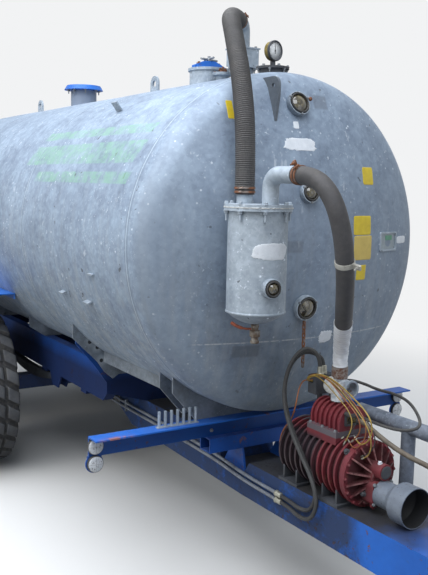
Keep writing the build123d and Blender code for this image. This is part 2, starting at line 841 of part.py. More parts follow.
# Axles: a square beam with a round spindle at each end
axle_z = TYRE_R
spindle_end = WHEEL_Y + HUB_PROUD
with BuildPart() as axles:
    for ahead in AXLE_AHEAD.values():
        with BuildSketch(side()):
            with Locations((at_x(ahead), axle_z)):
                Rectangle(AXLE_SQ, AXLE_SQ)
        extrude(amount=AXLE_BEAM_HALF, both=True)
        with BuildSketch(side()):
            with Locations((at_x(ahead), axle_z)):
                Circle(SPINDLE_R)
        extrude(amount=spindle_end, both=True)
save(axles, "axles")

# Leaf springs: each an arched stack on the axle, with its ends in the hangers
with BuildPart() as leaf_springs:
    for ahead in AXLE_AHEAD.values():
        low = axle_z + AXLE_SQ / 2
        rise = rail_low - SEAT - SPRING_TIP_T - low
        for sign in (-1, 1):
            with BuildSketch(side(sign * SPRING_Y)):
                with BuildLine():
                    x = at_x(ahead)
                    ThreePointArc(
                        (x - SPRING_HALF_LEN, low + rise),
                        (x, low),
                        (x + SPRING_HALF_LEN, low + rise),
                    )
                    Line(
                        (x + SPRING_HALF_LEN, low + rise),
                        (x + SPRING_HALF_LEN, low + rise + SPRING_TIP_T),
                    )
                    ThreePointArc(
                        (x + SPRING_HALF_LEN, low + rise + SPRING_TIP_T),
                        (x, low + SPRING_T),
                        (x - SPRING_HALF_LEN, low + rise + SPRING_TIP_T),
                    )
                    Line(
                        (x - SPRING_HALF_LEN, low + rise + SPRING_TIP_T),
                        (x - SPRING_HALF_LEN, low + rise),
                    )
                make_face()
            extrude(amount=SPRING_W / 2, both=True)
save(leaf_springs, "leaf_springs")

# Tyre about its own axis: a carcass, and slanted lugs from the middle to both shoulders
half_w = TYRE_W / 2
carcass_r = TYRE_R - LUG_H


def tyre_outline(tread_r):
    # points (distance along the spindle, radius) of a tyre whose tread is at a radius
    return [
        (-RIM_HALF_W, BEAD_R),
        (-half_w + TYRE_CHAMFER / 3, BEAD_R + TYRE_BULGE),
        (-half_w, BEAD_R + TYRE_SIDE),
        (-half_w, tread_r - TYRE_CHAMFER),
        (-half_w + TYRE_CHAMFER, tread_r),
        (half_w - TYRE_CHAMFER, tread_r),
        (half_w, tread_r - TYRE_CHAMFER),
        (half_w, BEAD_R + TYRE_SIDE),
        (half_w - TYRE_CHAMFER / 3, BEAD_R + TYRE_BULGE),
        (RIM_HALF_W, BEAD_R),
    ]


with BuildPart() as lug_pair:
    for sign in (-1, 1):
        # local x points around the tyre, local y along the spindle
        turn = math.pi / LUGS * (1 - sign) / 2
        lug_plane = Plane(
            origin=((carcass_r - LUG_H) * math.cos(turn), (carcass_r - LUG_H) * math.sin(turn), 0),
            x_dir=(-math.sin(turn), math.cos(turn), 0),
            z_dir=(math.cos(turn), math.sin(turn), 0),
        )
        with BuildSketch(lug_plane):
            Polygon(
                (-LUG_W / 2, sign * LUG_MID_GAP),
                (LUG_W / 2, sign * LUG_MID_GAP),
                (LUG_W / 2 + LUG_SLANT, sign * half_w),
                (-LUG_W / 2 + LUG_SLANT, sign * half_w),
                align=None,
            )
        extrude(amount=3 * LUG_H)
with BuildPart() as tyre_body:
    with PolarLocations(0, LUGS):
        add(lug_pair.part)
    with BuildSketch(Plane(origin=(0, 0, 0), x_dir=(0, 0, 1), z_dir=(0, -1, 0))):
        Polygon(*tyre_outline(TYRE_R), align=None)
    revolve(axis=Axis.Z, mode=Mode.INTERSECT)
    with BuildSketch(Plane(origin=(0, 0, 0), x_dir=(0, 0, 1), z_dir=(0, -1, 0))):
        Polygon(*tyre_outline(carcass_r), align=None)
    revolve(axis=Axis.Z)

# Wheels: each a tyre on a dished steel rim with a hub that runs on the spindle
for end, ahead in AXLE_AHEAD.items():
    for hand, sign in (("left", 1), ("right", -1)):
        spin = Axis((at_x(ahead), sign * WHEEL_Y, axle_z), (0, 1, 0))
        # local x points outward along the spindle, local y is the radius
        wheel_plane = Plane(
            origin=(at_x(ahead), sign * WHEEL_Y, axle_z),
            x_dir=(0, sign, 0),
            z_dir=(sign, 0, 0),
        )
        hub_plane = Plane(
            origin=(at_x(ahead), sign * WHEEL_Y, axle_z),
            x_dir=(0, 0, -1),
            z_dir=(0, sign, 0),
        )
        with BuildPart() as tyre:
            with Locations(hub_plane):
                add(tyre_body.part)
        save(tyre, "tyre_" + end + "_" + hand)
        with BuildPart() as rim:
            with BuildSketch(wheel_plane):
                with BuildLine():
                    Polyline(
                        (-RIM_HALF_W, BEAD_R - SEAT),
                        (-RIM_HALF_W, RIM_WELL_R + RIM_T),
                        (-RIM_HALF_W + RIM_T, RIM_WELL_R),
                        (RIM_DISC - RIM_T, RIM_WELL_R),
                        (RIM_DISC - RIM_T, HUB_R),
                        (-HUB_INNER, HUB_R),
                        (-HUB_INNER, SPINDLE_R + HUB_BORE_CLEAR),
                        (HUB_PROUD + HUB_CAP_GAP, SPINDLE_R + HUB_BORE_CLEAR),
                        (HUB_PROUD + HUB_CAP_GAP, 0),
                        (HUB_PROUD + HUB_CAP_GAP + RIM_T, 0),
                        (HUB_PROUD + HUB_CAP_GAP + RIM_T, HUB_CAP_R),
                        (RIM_DISC, HUB_R + RIM_T),
                        (RIM_DISC, RIM_WELL_R),
                        (RIM_HALF_W - RIM_T, RIM_WELL_R),
                        (RIM_HALF_W, RIM_WELL_R + RIM_T),
                        (RIM_HALF_W, BEAD_R - SEAT),
                        close=True,
                    )
                make_face()
            revolve(axis=spin)
        save(rim, "rim_" + end + "_" + hand)

# Fenders: a long plate over each pair of wheels, folded down at the rear, held by arms from the tank's side
fender_top = at_z(FENDER_TOP_DROP)
arm_root_y = math.sqrt(TANK_R**2 - (AXIS_Z - fender_top) ** 2) - FENDER_ARM_IN
arm_tip_y = FENDER_OUT_Y - FENDER_ARM_IN
front_x = at_x(AXLE_AHEAD["front"]) + FENDER_END
rear_x = at_x(AXLE_AHEAD["rear"]) - FENDER_END
with BuildPart() as fenders:
    for sign in (-1, 1):
        mid_y = sign * (FENDER_IN_Y + FENDER_OUT_Y) / 2
        with BuildSketch(side(mid_y)):
            with BuildLine():
                Polyline(
                    (front_x, fender_top - FENDER_T),
                    (front_x, fender_top),
                    (rear_x, fender_top),
                    (rear_x - FENDER_FOLD, fender_top - FENDER_FOLD_DROP),
                    (rear_x - FENDER_FOLD + FENDER_T, fender_top - FENDER_FOLD_DROP - FENDER_T),
                    (rear_x + FENDER_T, fender_top - FENDER_T),
                    close=True,
                )
            make_face()
        extrude(amount=(FENDER_OUT_Y - FENDER_IN_Y) / 2, both=True)
        for edge_y in (FENDER_IN_Y + FENDER_T / 2, FENDER_OUT_Y - FENDER_T / 2):
            with BuildSketch(side(sign * edge_y)):
                with Locations(((front_x + rear_x) / 2, fender_top)):
                    Rectangle(front_x - rear_x - 2 * FENDER_T, FENDER_LIP, align=(Align.CENTER, Align.MAX))
            extrude(amount=FENDER_T / 2, both=True)
        arm_in = FENDER_END - FENDER_ARM_IN
        for arm_x in (rear_x + arm_in, (front_x + rear_x) / 2, front_x - arm_in):
            with BuildSketch(cross(arm_x)):
                Polygon(
                    (sign * arm_root_y, fender_top - FENDER_T),
                    (sign * arm_tip_y, fender_top - FENDER_T),
                    (sign * arm_tip_y, fender_top - FENDER_LIP),
                    (sign * arm_root_y, fender_top - 2 * FENDER_LIP),
                    align=None,
                )
            extrude(amount=FENDER_ARM_T / 2, both=True)
    add(tank_room, mode=Mode.SUBTRACT)
save(fenders, "fenders")

# Pump body: a finned barrel lying along the machine
pump_z = at_z(PUMP_DROP)
pump_len = PUMP_FRONT_AHEAD - PUMP_REAR_AHEAD
fin_pitch = (pump_len - PUMP_FIN_T) / (PUMP_FINS - 1)
pump_axis = Axis((at_x(PUMP_REAR_AHEAD), PUMP_Y, pump_z), (1, 0, 0))
pump_plane = Plane(
    origin=(at_x(PUMP_REAR_AHEAD), PUMP_Y, pump_z),
    x_dir=(1, 0, 0),
    z_dir=(0, -1, 0),
)
with BuildPart() as pump_body:
    with BuildSketch(pump_plane):
        with BuildLine():
            outline = [(0, 0)]
            for index in range(PUMP_FINS):
                start = index * fin_pitch
                if index > 0:
                    outline.append((start, PUMP_CORE_R))
                outline.append((start, PUMP_FIN_R))
                outline.append((start + PUMP_FIN_T, PUMP_FIN_R))
                if index < PUMP_FINS - 1:
                    outline.append((start + PUMP_FIN_T, PUMP_CORE_R))
            outline.append((pump_len, 0))
            Polyline(*outline, close=True)
        make_face()
    revolve(axis=pump_axis)
save(pump_body, "pump_body")

# End cover with radial ribs, a bearing boss and the gear case of the input shaft
cover_x = at_x(PUMP_FRONT_AHEAD) + SEAT
face_x = cover_x + COVER_T
pto_z = at_z(PTO_DROP)
gearbox_x = face_x + GEARBOX_LEN
with BuildPart() as pump_end_cover:
    with BuildSketch(cross(cover_x)):
        with Locations((PUMP_Y, pump_z)):
            Circle(COVER_R)
    extrude(amount=COVER_T)
    with BuildSketch(cross(face_x)):
        with Locations((PUMP_Y, pump_z)):
            Circle(COVER_HUB_R)
    extrude(amount=COVER_DOME)
    for index in range(COVER_RIBS):
        angle = 2 * math.pi * (index + 0.5) / COVER_RIBS
        c = math.cos(angle)
        d = math.sin(angle)
        # local x points outward from the pump's axis, local y points forward
        with BuildSketch(Plane(origin=(face_x, PUMP_Y, pump_z), x_dir=(0, c, d), z_dir=(0, d, -c))):
            Polygon(
                (COVER_HUB_R / 2, -COVER_T / 2),
                (COVER_R - COVER_RIB_T, -COVER_T / 2),
                (COVER_R - COVER_RIB_T, COVER_RIB_T),
                (COVER_HUB_R, COVER_DOME - COVER_RIB_T),
                (COVER_HUB_R / 2, COVER_DOME - COVER_RIB_T),
                align=None,
            )
        extrude(amount=COVER_RIB_T / 2, both=True)
    with BuildSketch(cross(face_x - COVER_T / 2)):
        with Locations((PUMP_Y, pump_z + BOSS_RISE)):
            Circle(BOSS_R)
    extrude(amount=BOSS_LEN)
    with BuildSketch(cross(face_x - COVER_T / 2)):
        with Locations((PUMP_Y, pto_z)):
            RectangleRounded(GEARBOX_W, GEARBOX_H, COVER_T)
    extrude(amount=GEARBOX_LEN + COVER_T / 2)
    with BuildSketch(cross(gearbox_x)):
        with Locations((PUMP_Y, pto_z)):
            Circle(PTO_SHAFT_R + PTO_BEARING_CLEAR)
    extrude(amount=-PTO_BEARING_DEPTH, mode=Mode.SUBTRACT)
save(pump_end_cover, "pump_end_cover")

# Input shaft: a stub with its collar, turning in the gear case
with BuildPart() as pto_stub:
    with BuildSketch(cross(gearbox_x - PTO_BEARING_DEPTH + PTO_CLEAR)):
        with Locations((PUMP_Y, pto_z)):
            Circle(PTO_SHAFT_R)
    extrude(amount=PTO_BEARING_DEPTH + PTO_SHAFT_LEN)
    with BuildSketch(cross(gearbox_x + PTO_CLEAR)):
        with Locations((PUMP_Y, pto_z)):
            Circle(PTO_COLLAR_R)
    extrude(amount=PTO_COLLAR_LEN)
save(pto_stub, "pto_stub")

# Guard around the shaft: a short tube that flares to an open cone
with BuildPart() as pto_guard:
    with BuildSketch(Plane(origin=(gearbox_x + SEAT, PUMP_Y, pto_z), x_dir=(1, 0, 0), z_dir=(0, -1, 0))):
        with BuildLine():
            Polyline(
                (0, GUARD_SMALL_R - GUARD_T),
                (0, GUARD_SMALL_R),
                (GUARD_CYL_LEN, GUARD_SMALL_R),
                (GUARD_CYL_LEN + GUARD_CONE_LEN / 3, GUARD_MOUTH_R),
                (GUARD_CYL_LEN + GUARD_CONE_LEN, GUARD_MOUTH_R),
                (GUARD_CYL_LEN + GUARD_CONE_LEN, GUARD_MOUTH_R - GUARD_T),
                (GUARD_CYL_LEN + GUARD_CONE_LEN / 3, GUARD_MOUTH_R - GUARD_T),
                (GUARD_CYL_LEN, GUARD_SMALL_R - GUARD_T),
                close=True,
            )
        make_face()
    revolve(axis=Axis((gearbox_x, PUMP_Y, pto_z), (1, 0, 0)))
save(pto_guard, "pto_guard")

# Changeover manifold on top: a ribbed arch on a broad collar
collar_top = pump_z + PUMP_FIN_R + COLLAR_T
manifold_x = at_x(MANIFOLD_REAR_AHEAD)
manifold_top = at_z(MANIFOLD_TOP_DROP)
manifold_core = MANIFOLD_HALF_W - MANIFOLD_FIN_H
rib_pitch = (MANIFOLD_LEN - PUMP_FIN_T) / (MANIFOLD_FINS - 1)
with BuildPart() as pump_manifold:
    with BuildSketch(cross(manifold_x)):
        with Locations((PUMP_Y, collar_top)):
            Rectangle(2 * COLLAR_HALF_W, COLLAR_HALF_W, align=(Align.CENTER, Align.MAX))
    extrude(amount=MANIFOLD_LEN)
    with BuildSketch(cross(manifold_x + SEAT)):
        with Locations((PUMP_Y, manifold_top - MANIFOLD_HALF_W)):
            Circle(manifold_core)
        with Locations((PUMP_Y, collar_top - COLLAR_T)):
            Rectangle(
                2 * manifold_core,
                manifold_top - MANIFOLD_HALF_W - collar_top + COLLAR_T,
                align=(Align.CENTER, Align.MIN),
            )
    extrude(amount=MANIFOLD_LEN - 2 * SEAT)
    for index in range(MANIFOLD_FINS):
        with BuildSketch(cross(manifold_x + index * rib_pitch)):
            with Locations((PUMP_Y, manifold_top - MANIFOLD_HALF_W)):
                Circle(MANIFOLD_HALF_W)
            with Locations((PUMP_Y, collar_top - COLLAR_T)):
                Rectangle(
                    2 * MANIFOLD_HALF_W,
                    manifold_top - MANIFOLD_HALF_W - collar_top + COLLAR_T,
                    align=(Align.CENTER, Align.MIN),
                )
        extrude(amount=PUMP_FIN_T)
    with BuildSketch(cross(manifold_x - COLLAR_T)):
        with Locations((PUMP_Y, pump_z)):
            Circle(PUMP_FIN_R + SEAT)
    extrude(amount=MANIFOLD_LEN + 2 * COLLAR_T, mode=Mode.SUBTRACT)
save(pump_manifold, "pump_manifold")

# Feet: a bolted plate with two upright webs under each end of the barrel
with BuildPart() as pump_feet:
    for ahead in FEET_AHEAD:
        with BuildSketch(Plane.XY.offset(bar_top)):
            with Locations((at_x(ahead), PUMP_Y)):
                Rectangle(FOOT_LEN, 2 * FOOT_HALF_W)
        extrude(amount=FOOT_T)
        for shift in (-FOOT_LEN / 3, FOOT_LEN / 3):
            with BuildSketch(cross(at_x(ahead) + shift)):
                Polygon(
                    (PUMP_Y - FOOT_HALF_W + FOOT_T, bar_top),
                    (PUMP_Y - FOOT_HALF_W + FOOT_T, pump_z - PUMP_FIN_R / 3),
                    (PUMP_Y + FOOT_HALF_W - FOOT_T, pump_z - PUMP_FIN_R / 3),
                    (PUMP_Y + FOOT_HALF_W - FOOT_T, bar_top),
                    align=None,
                )
            extrude(amount=FOOT_WEB_T / 2, both=True)
    with BuildSketch(cross(at_x(PUMP_REAR_AHEAD) - FOOT_LEN)):
        with Locations((PUMP_Y, pump_z)):
            Circle(PUMP_FIN_R + SEAT)
    extrude(amount=pump_len + 2 * FOOT_LEN, mode=Mode.SUBTRACT)
save(pump_feet, "pump_feet")

# Exhaust pipe on the left of the pump: along, across to the manifold, and down to the deck
exhaust_z = at_z(EXHAUST_DROP)
with BuildPart() as exhaust_pipe:
    with BuildSketch(cross(at_x(MANIFOLD_REAR_AHEAD) + MANIFOLD_LEN / 2 - EXHAUST_R)):
        with Locations((EXHAUST_Y, exhaust_z)):
            Circle(EXHAUST_R)
    extrude(amount=EXHAUST_FRONT_AHEAD - MANIFOLD_REAR_AHEAD - MANIFOLD_LEN / 2)
    with BuildSketch(side(EXHAUST_Y)):
        with Locations((at_x(MANIFOLD_REAR_AHEAD) + MANIFOLD_LEN / 2, exhaust_z)):
            Circle(EXHAUST_BRANCH_R)
    extrude(amount=EXHAUST_Y - PUMP_Y - MANIFOLD_HALF_W - SEAT)
    with BuildSketch(Plane.XY.offset(exhaust_z)):
        with Locations((at_x(EXHAUST_DOWN_AHEAD), EXHAUST_Y)):
            Circle(EXHAUST_DOWN_R)
    extrude(amount=-(exhaust_z - bar_top))
save(exhaust_pipe, "exhaust_pipe")

# Moisture trap: a can with a flange and a dished bottom, on two arms from the tank's head
trap_ahead = head_reach(abs(TRAP_Y)) + TRAP_HEAD_GAP + TRAP_R
trap_x = at_x(trap_ahead)
trap_top = at_z(TRAP_TOP_DROP)
trap_seam = at_z(TRAP_SEAM_DROP)
dish_r = (TRAP_R**2 + TRAP_DISH**2) / (2 * TRAP_DISH)
dish_angle = math.asin(TRAP_R / dish_r)
with BuildPart() as trap_body:
    with BuildSketch(Plane(origin=(trap_x, TRAP_Y, 0), x_dir=(1, 0, 0), z_dir=(0, -1, 0))):
        with BuildLine():
            Polyline(
                (0, trap_top),
                (TRAP_LID_R, trap_top),
                (TRAP_LID_R, trap_top - TRAP_LID_T),
                (TRAP_R, trap_top - TRAP_LID_T),
                (TRAP_R, trap_seam),
            )
            dish_mid_z = trap_seam - TRAP_DISH + dish_r * (1 - math.cos(dish_angle / 2))
            ThreePointArc(
                (TRAP_R, trap_seam),
                (dish_r * math.sin(dish_angle / 2), dish_mid_z),
                (0, trap_seam - TRAP_DISH),
            )
            Line((0, trap_seam - TRAP_DISH), (0, trap_top))
        make_face()
    revolve(axis=Axis((trap_x, TRAP_Y, 0), (0, 0, 1)))
    for drop in TRAP_ARM_DROPS:
        with BuildSketch(Plane.XY.offset(at_z(drop))):
            with Locations((trap_x, TRAP_Y)):
                Rectangle(trap_ahead, TRAP_ARM_W, align=(Align.MAX, Align.CENTER))
        extrude(amount=TRAP_ARM_H)
    add(tank_room, mode=Mode.SUBTRACT)
save(trap_body, "trap_body")

lid_z = trap_top + TRAP_GASKET_T
with BuildPart() as trap_lid:
    with BuildSketch(Plane.XY.offset(trap_top)):
        with Locations((trap_x, TRAP_Y)):
            Circle(TRAP_R)
    extrude(amount=TRAP_GASKET_T)
    with BuildSketch(Plane.XY.offset(lid_z)):
        with Locations((trap_x, TRAP_Y)):
            Circle(TRAP_LID_R)
    extrude(amount=TRAP_LID_T)
    with BuildSketch(Plane.XY.offset(lid_z)):
        with Locations((trap_x + RISER_OFF, TRAP_Y)):
            Circle(STUB_R)
    extrude(amount=STUB_LEN)
save(trap_lid, "trap_lid")

# Drain under the trap: a pipe with a ball valve and its lever
drain_z = trap_seam - TRAP_DISH
with BuildPart() as trap_drain:
    with BuildSketch(Plane.XY.offset(drain_z - SEAT)):
        with Locations((trap_x, TRAP_Y)):
            Circle(DRAIN_R)
    extrude(amount=-DRAIN_LEN)
    with BuildSketch(Plane.XY.offset(drain_z - DRAIN_LEN / 2)):
        with Locations((trap_x, TRAP_Y)):
            Circle(DRAIN_R + DRAIN_BALL)
    extrude(amount=DRAIN_R, both=True)
    with BuildSketch(Plane.XY.offset(drain_z - DRAIN_LEN / 2)):
        with Locations((trap_x, TRAP_Y)):
            Rectangle(DRAIN_LEVER_LEN, DRAIN_R, align=(Align.MAX, Align.CENTER))
    extrude(amount=DRAIN_BALL / 2, both=True)
    add(tank_room, mode=Mode.SUBTRACT)
save(trap_drain, "trap_drain")


def bend_radii(points):
    # the largest arc that each corner of a route has room for
    radii = []
    for before, here, after in zip(points, points[1:], points[2:]):
        a = Vector(*here) - Vector(*before)
        b = Vector(*after) - Vector(*here)
        turn = math.radians(a.get_angle(b))
        radii.append(0.45 * min(a.length, b.length) / math.tan(turn / 2))
    return radii


def bent_tube(points, radius, name):
    # a round bar along straight runs joined by arcs
    radii = bend_radii(points)
    with BuildPart() as tube:
        with BuildLine() as route:
            FilletPolyline(*points, radius=radii)
        direction = Vector(*points[1]) - Vector(*points[0])
        with BuildSketch(Plane(origin=points[0], z_dir=direction)):
            Circle(radius)
        sweep(path=route.wires()[0])
    length = route.wires()[0].length
    fill = tube.part.volume / (math.pi * radius**2 * length)
    print(name, "length", round(length), "radii", [round(r) for r in radii])
    print(name, "volume over section times length", round(fill, 4))
    return tube


def routed(points):
    # turns (ahead, y, height above the datum) into places in the frame
    return [(at_x(ahead), y, DATUM_Z + up) for ahead, y, up in points]


# Riser hose from the trap's stub to the elbow of the valve on top of the tank
tank_top = AXIS_Z + TANK_R
valve_x = at_x(VALVE_AHEAD)
valve_top = tank_top + VALVE_NECK_H + VALVE_H
valve_turn = math.radians(VALVE_ELBOW_TURN)


def off_valve(distance):
    # a point on the line of the elbow's mouth, at a distance from the valve's axis
    return (
        valve_x + distance * math.cos(valve_turn),
        distance * math.sin(valve_turn),
        valve_top + VALVE_ELBOW_UP,
    )


riser_end = off_valve(VALVE_ELBOW_OUT)
riser_start = lid_z + STUB_LEN + SEAT
riser_route = [
    (trap_x + RISER_OFF, TRAP_Y, riser_start),
    (trap_x + RISER_OFF, TRAP_Y, riser_start + RISER_RISE),
]
riser_route += routed(RISER_POINTS)
riser_route += [off_valve(VALVE_ELBOW_OUT + RISER_LEAD), off_valve(VALVE_ELBOW_OUT + SEAT)]
riser_hose = bent_tube(riser_route, RISER_R, "riser_hose")
save(riser_hose, "riser_hose")

# Pump hose from the trap's elbow down to the elbow on the manifold
elbow_top = lid_z + TRAP_LID_T + ELBOW_RISE
elbow_x = trap_x + ELBOW_OFF
elbow_route = [
    (elbow_x, TRAP_Y, lid_z + TRAP_LID_T + SEAT),
    (elbow_x, TRAP_Y, elbow_top),
    (elbow_x + ELBOW_REACH, TRAP_Y, elbow_top),
]
port_top = manifold_top + SEAT + PORT_H
pump_hose_route = [
    (elbow_x + ELBOW_REACH + SEAT, TRAP_Y, elbow_top),
    (elbow_x + ELBOW_REACH + PUMP_HOSE_LEAD, TRAP_Y, elbow_top),
]
pump_hose_route += routed(PUMP_HOSE_POINTS)
pump_hose_route += [
    (at_x(PORT_AHEAD), PUMP_Y, port_top + PORT_LEAD),
    (at_x(PORT_AHEAD), PUMP_Y, port_top + SEAT),
]
pump_hose = bent_tube(pump_hose_route, PUMP_HOSE_R, "pump_hose")
save(pump_hose, "pump_hose")

# Galvanised elbows at both ends of the pump hose, the lower one with an open side port
with BuildPart() as air_elbows:
    add(bent_tube(elbow_route, STUB_R, "trap elbow").part)
    with BuildSketch(Plane.XY.offset(manifold_top + SEAT)):
        with Locations((at_x(PORT_AHEAD), PUMP_Y)):
            Circle(STUB_R)
    extrude(amount=PORT_H)
    with BuildSketch(cross(at_x(PORT_AHEAD))):
        with Locations((PUMP_Y, manifold_top + PORT_H - STUB_R)):
            Circle(STUB_R)
    extrude(amount=PORT_LEN)
    with BuildSketch(cross(at_x(PORT_AHEAD) + PORT_LEN)):
        with Locations((PUMP_Y, manifold_top + PORT_H - STUB_R)):
            Circle(STUB_R - PORT_WALL)
    extrude(amount=-PORT_LEN + STUB_R, mode=Mode.SUBTRACT)
save(air_elbows, "air_elbows")

# Changeover box on a post over the pump's barrel, where the hydraulic hoses end
box_top = at_z(BOX_TOP_DROP)
box_x0 = at_x(BOX_AHEAD) - BOX_LEN / 2
box_right = BOX_Y - BOX_HALF_W
fin_top = pump_z + PUMP_FIN_R
with BuildPart() as changeover_box:
    with BuildSketch(Plane.XY.offset(box_top)):
        with Locations((at_x(BOX_AHEAD), BOX_Y)):
            Rectangle(BOX_LEN, 2 * BOX_HALF_W)
    extrude(amount=-BOX_H)
    with BuildSketch(Plane.XY.offset(fin_top + SEAT)):
        with Locations((at_x(BOX_AHEAD), PUMP_Y)):
            Circle(BOX_POST_R)
    extrude(amount=box_top - BOX_H - fin_top)
    with BuildSketch(Plane.XY.offset(fin_top + SEAT)):
        with Locations((at_x(BOX_AHEAD), PUMP_Y)):
            Rectangle(BOX_LEN, BOX_BASE_L)
    extrude(amount=BOX_BASE_T)
save(changeover_box, "changeover_box")

# Hydraulic hoses, each from the end of a steel pipe on the drawbar to the changeover box
pipe_y = -BAR_HALF_W - PIPE_STAND
pipe_end_ahead, pipe_end_drop = PIPE_POINTS[-1]
hydraulics = (
    ("a", PIPE_PITCH, HYDRAULIC_A_POINTS),
    ("b", 0.0, HYDRAULIC_B_POINTS),
)
for hand, shift, points in hydraulics:
    last_ahead, last_y, _ = points[-1]
    hose_route = [(at_x(pipe_end_ahead) + SEAT, pipe_y, at_z(pipe_end_drop + shift))]
    hose_route += routed(points)
    hose_route.append((at_x(last_ahead), last_y, box_top + SEAT))
    hydraulic_hose = bent_tube(hose_route, HYDRAULIC_R, "hydraulic_hose_" + hand)
    save(hydraulic_hose, "hydraulic_hose_" + hand)

# Cable loop, from the manifold's top around to its front face
cable_start_ahead, cable_start_y = CABLE_START
cable_end_y, cable_end_up = CABLE_END
manifold_face_x = manifold_x + MANIFOLD_LEN
cable_route = [(at_x(cable_start_ahead), cable_start_y, manifold_top + SEAT)]
cable_route += routed(CABLE_POINTS)
cable_route.append((manifold_face_x + SEAT, cable_end_y, DATUM_Z + cable_end_up))
cable_loop = bent_tube(cable_route, CABLE_R, "cable_loop")
save(cable_loop, "cable_loop")

# Front hose, from the manifold's front face down to the drawbar's deck
front_start_y, front_start_up = FRONT_HOSE_START
front_route = [(manifold_face_x + SEAT, front_start_y, DATUM_Z + front_start_up)]
front_route += routed(FRONT_HOSE_POINTS)
front_hose = bent_tube(front_route, FRONT_HOSE_R, "front_hose")
save(front_hose, "front_hose")

# Two thin leads, out of the box's right side and out of its rear face
yellow_ahead, yellow_up = YELLOW_START
yellow_route = [(at_x(yellow_ahead), box_right - SEAT, DATUM_Z + yellow_up)]
yellow_route += routed(YELLOW_POINTS)
lead_yellow = bent_tube(yellow_route, LEAD_R, "lead_yellow")
save(lead_yellow, "lead_yellow")
orange_y, orange_up = ORANGE_START
orange_route = [(box_x0 - SEAT, orange_y, DATUM_Z + orange_up)]
orange_route += routed(ORANGE_POINTS)
lead_orange = bent_tube(orange_route, LEAD_R, "lead_orange")
save(lead_orange, "lead_orange")

# Filling neck on top, a closed cup, with its hinged lid and clamp
neck_x = at_x(MANHOLE_AHEAD)
neck_top = tank_top + MANHOLE_TOP
ear_root_x = neck_x - MANHOLE_R + 1.5 * MANHOLE_WALL
hinge_x = neck_x - LID_R - 2.4 * LID_HINGE_R
hinge_z = neck_top + LID_GAP + LID_T / 2
with BuildPart() as manhole_neck:
    with BuildSketch(Plane.XY.offset(AXIS_Z)):
        with Locations((neck_x, 0)):
            Circle(MANHOLE_R)
    extrude(amount=TANK_R + MANHOLE_TOP)
    with BuildSketch(Plane.XY.offset(neck_top)):
        with Locations((neck_x, 0)):
            Circle(MANHOLE_R - MANHOLE_WALL)
    extrude(amount=-MANHOLE_DEPTH, mode=Mode.SUBTRACT)
    # hinge ears behind the neck
    for sign in (-1, 1):
        with BuildSketch(side(sign * LID_EAR_Y)):
            Polygon(
                (ear_root_x, neck_top - LID_EAR_H),
                (ear_root_x, neck_top - MANHOLE_WALL),
                (neck_x - LID_R - 2 * LID_GAP, neck_top - MANHOLE_WALL),
                (hinge_x + LID_HINGE_R, hinge_z + LID_HINGE_R),
                (hinge_x - LID_HINGE_R, hinge_z + LID_HINGE_R),
                (hinge_x - LID_HINGE_R, hinge_z - LID_HINGE_R),
                align=None,
            )
            with Locations((hinge_x, hinge_z)):
                Circle(LID_PIN_R + PTO_BEARING_CLEAR, mode=Mode.SUBTRACT)
        extrude(amount=LID_EAR_T / 2, both=True)
    add(tank_room, mode=Mode.SUBTRACT)
save(manhole_neck, "manhole_neck")

# Lid on a hinge pin between the ears
with BuildPart() as manhole_lid:
    with BuildSketch(Plane.XY.offset(neck_top + LID_GAP)):
        with Locations((neck_x, 0)):
            Circle(LID_R)
        with Locations((neck_x, 0)):
            Rectangle(neck_x - hinge_x, 2 * LID_TONGUE_HALF, align=(Align.MAX, Align.CENTER))
    extrude(amount=LID_T)
    with BuildSketch(side()):
        with Locations((hinge_x, hinge_z)):
            Circle(LID_HINGE_R)
    extrude(amount=LID_TONGUE_HALF, both=True)
    with BuildSketch(side()):
        with Locations((hinge_x, hinge_z)):
            Circle(LID_PIN_R)
    extrude(amount=LID_EAR_Y + LID_EAR_T, both=True)
save(manhole_lid, "manhole_lid")

# Clamp bar over the lid, with a T-handle screw
lid_top = neck_top + LID_GAP + LID_T
with BuildPart() as manhole_clamp:
    with BuildSketch(Plane(origin=(neck_x, 0, 0), x_dir=(0, 1, 0), z_dir=(1, 0, 0))):
        Polygon(
            (-LID_R + YOKE_T, lid_top),
            (-LID_R + YOKE_T, lid_top + YOKE_T),
            (-YOKE_W, lid_top + YOKE_RISE),
            (YOKE_W, lid_top + YOKE_RISE),
            (LID_R - YOKE_T, lid_top + YOKE_T),
            (LID_R - YOKE_T, lid_top),
            align=None,
        )
    extrude(amount=YOKE_W / 2, both=True)
    with BuildSketch(Plane.XY.offset(lid_top)):
        with Locations((neck_x, 0)):
            Circle(HANDLE_R)
    extrude(amount=YOKE_RISE + HANDLE_UP)
    with BuildSketch(cross(neck_x - HANDLE_HALF)):
        with Locations((0, lid_top + YOKE_RISE + HANDLE_UP - 1.5 * HANDLE_R)):
            Circle(HANDLE_BAR_R)
    extrude(amount=2 * HANDLE_HALF)
save(manhole_clamp, "manhole_clamp")

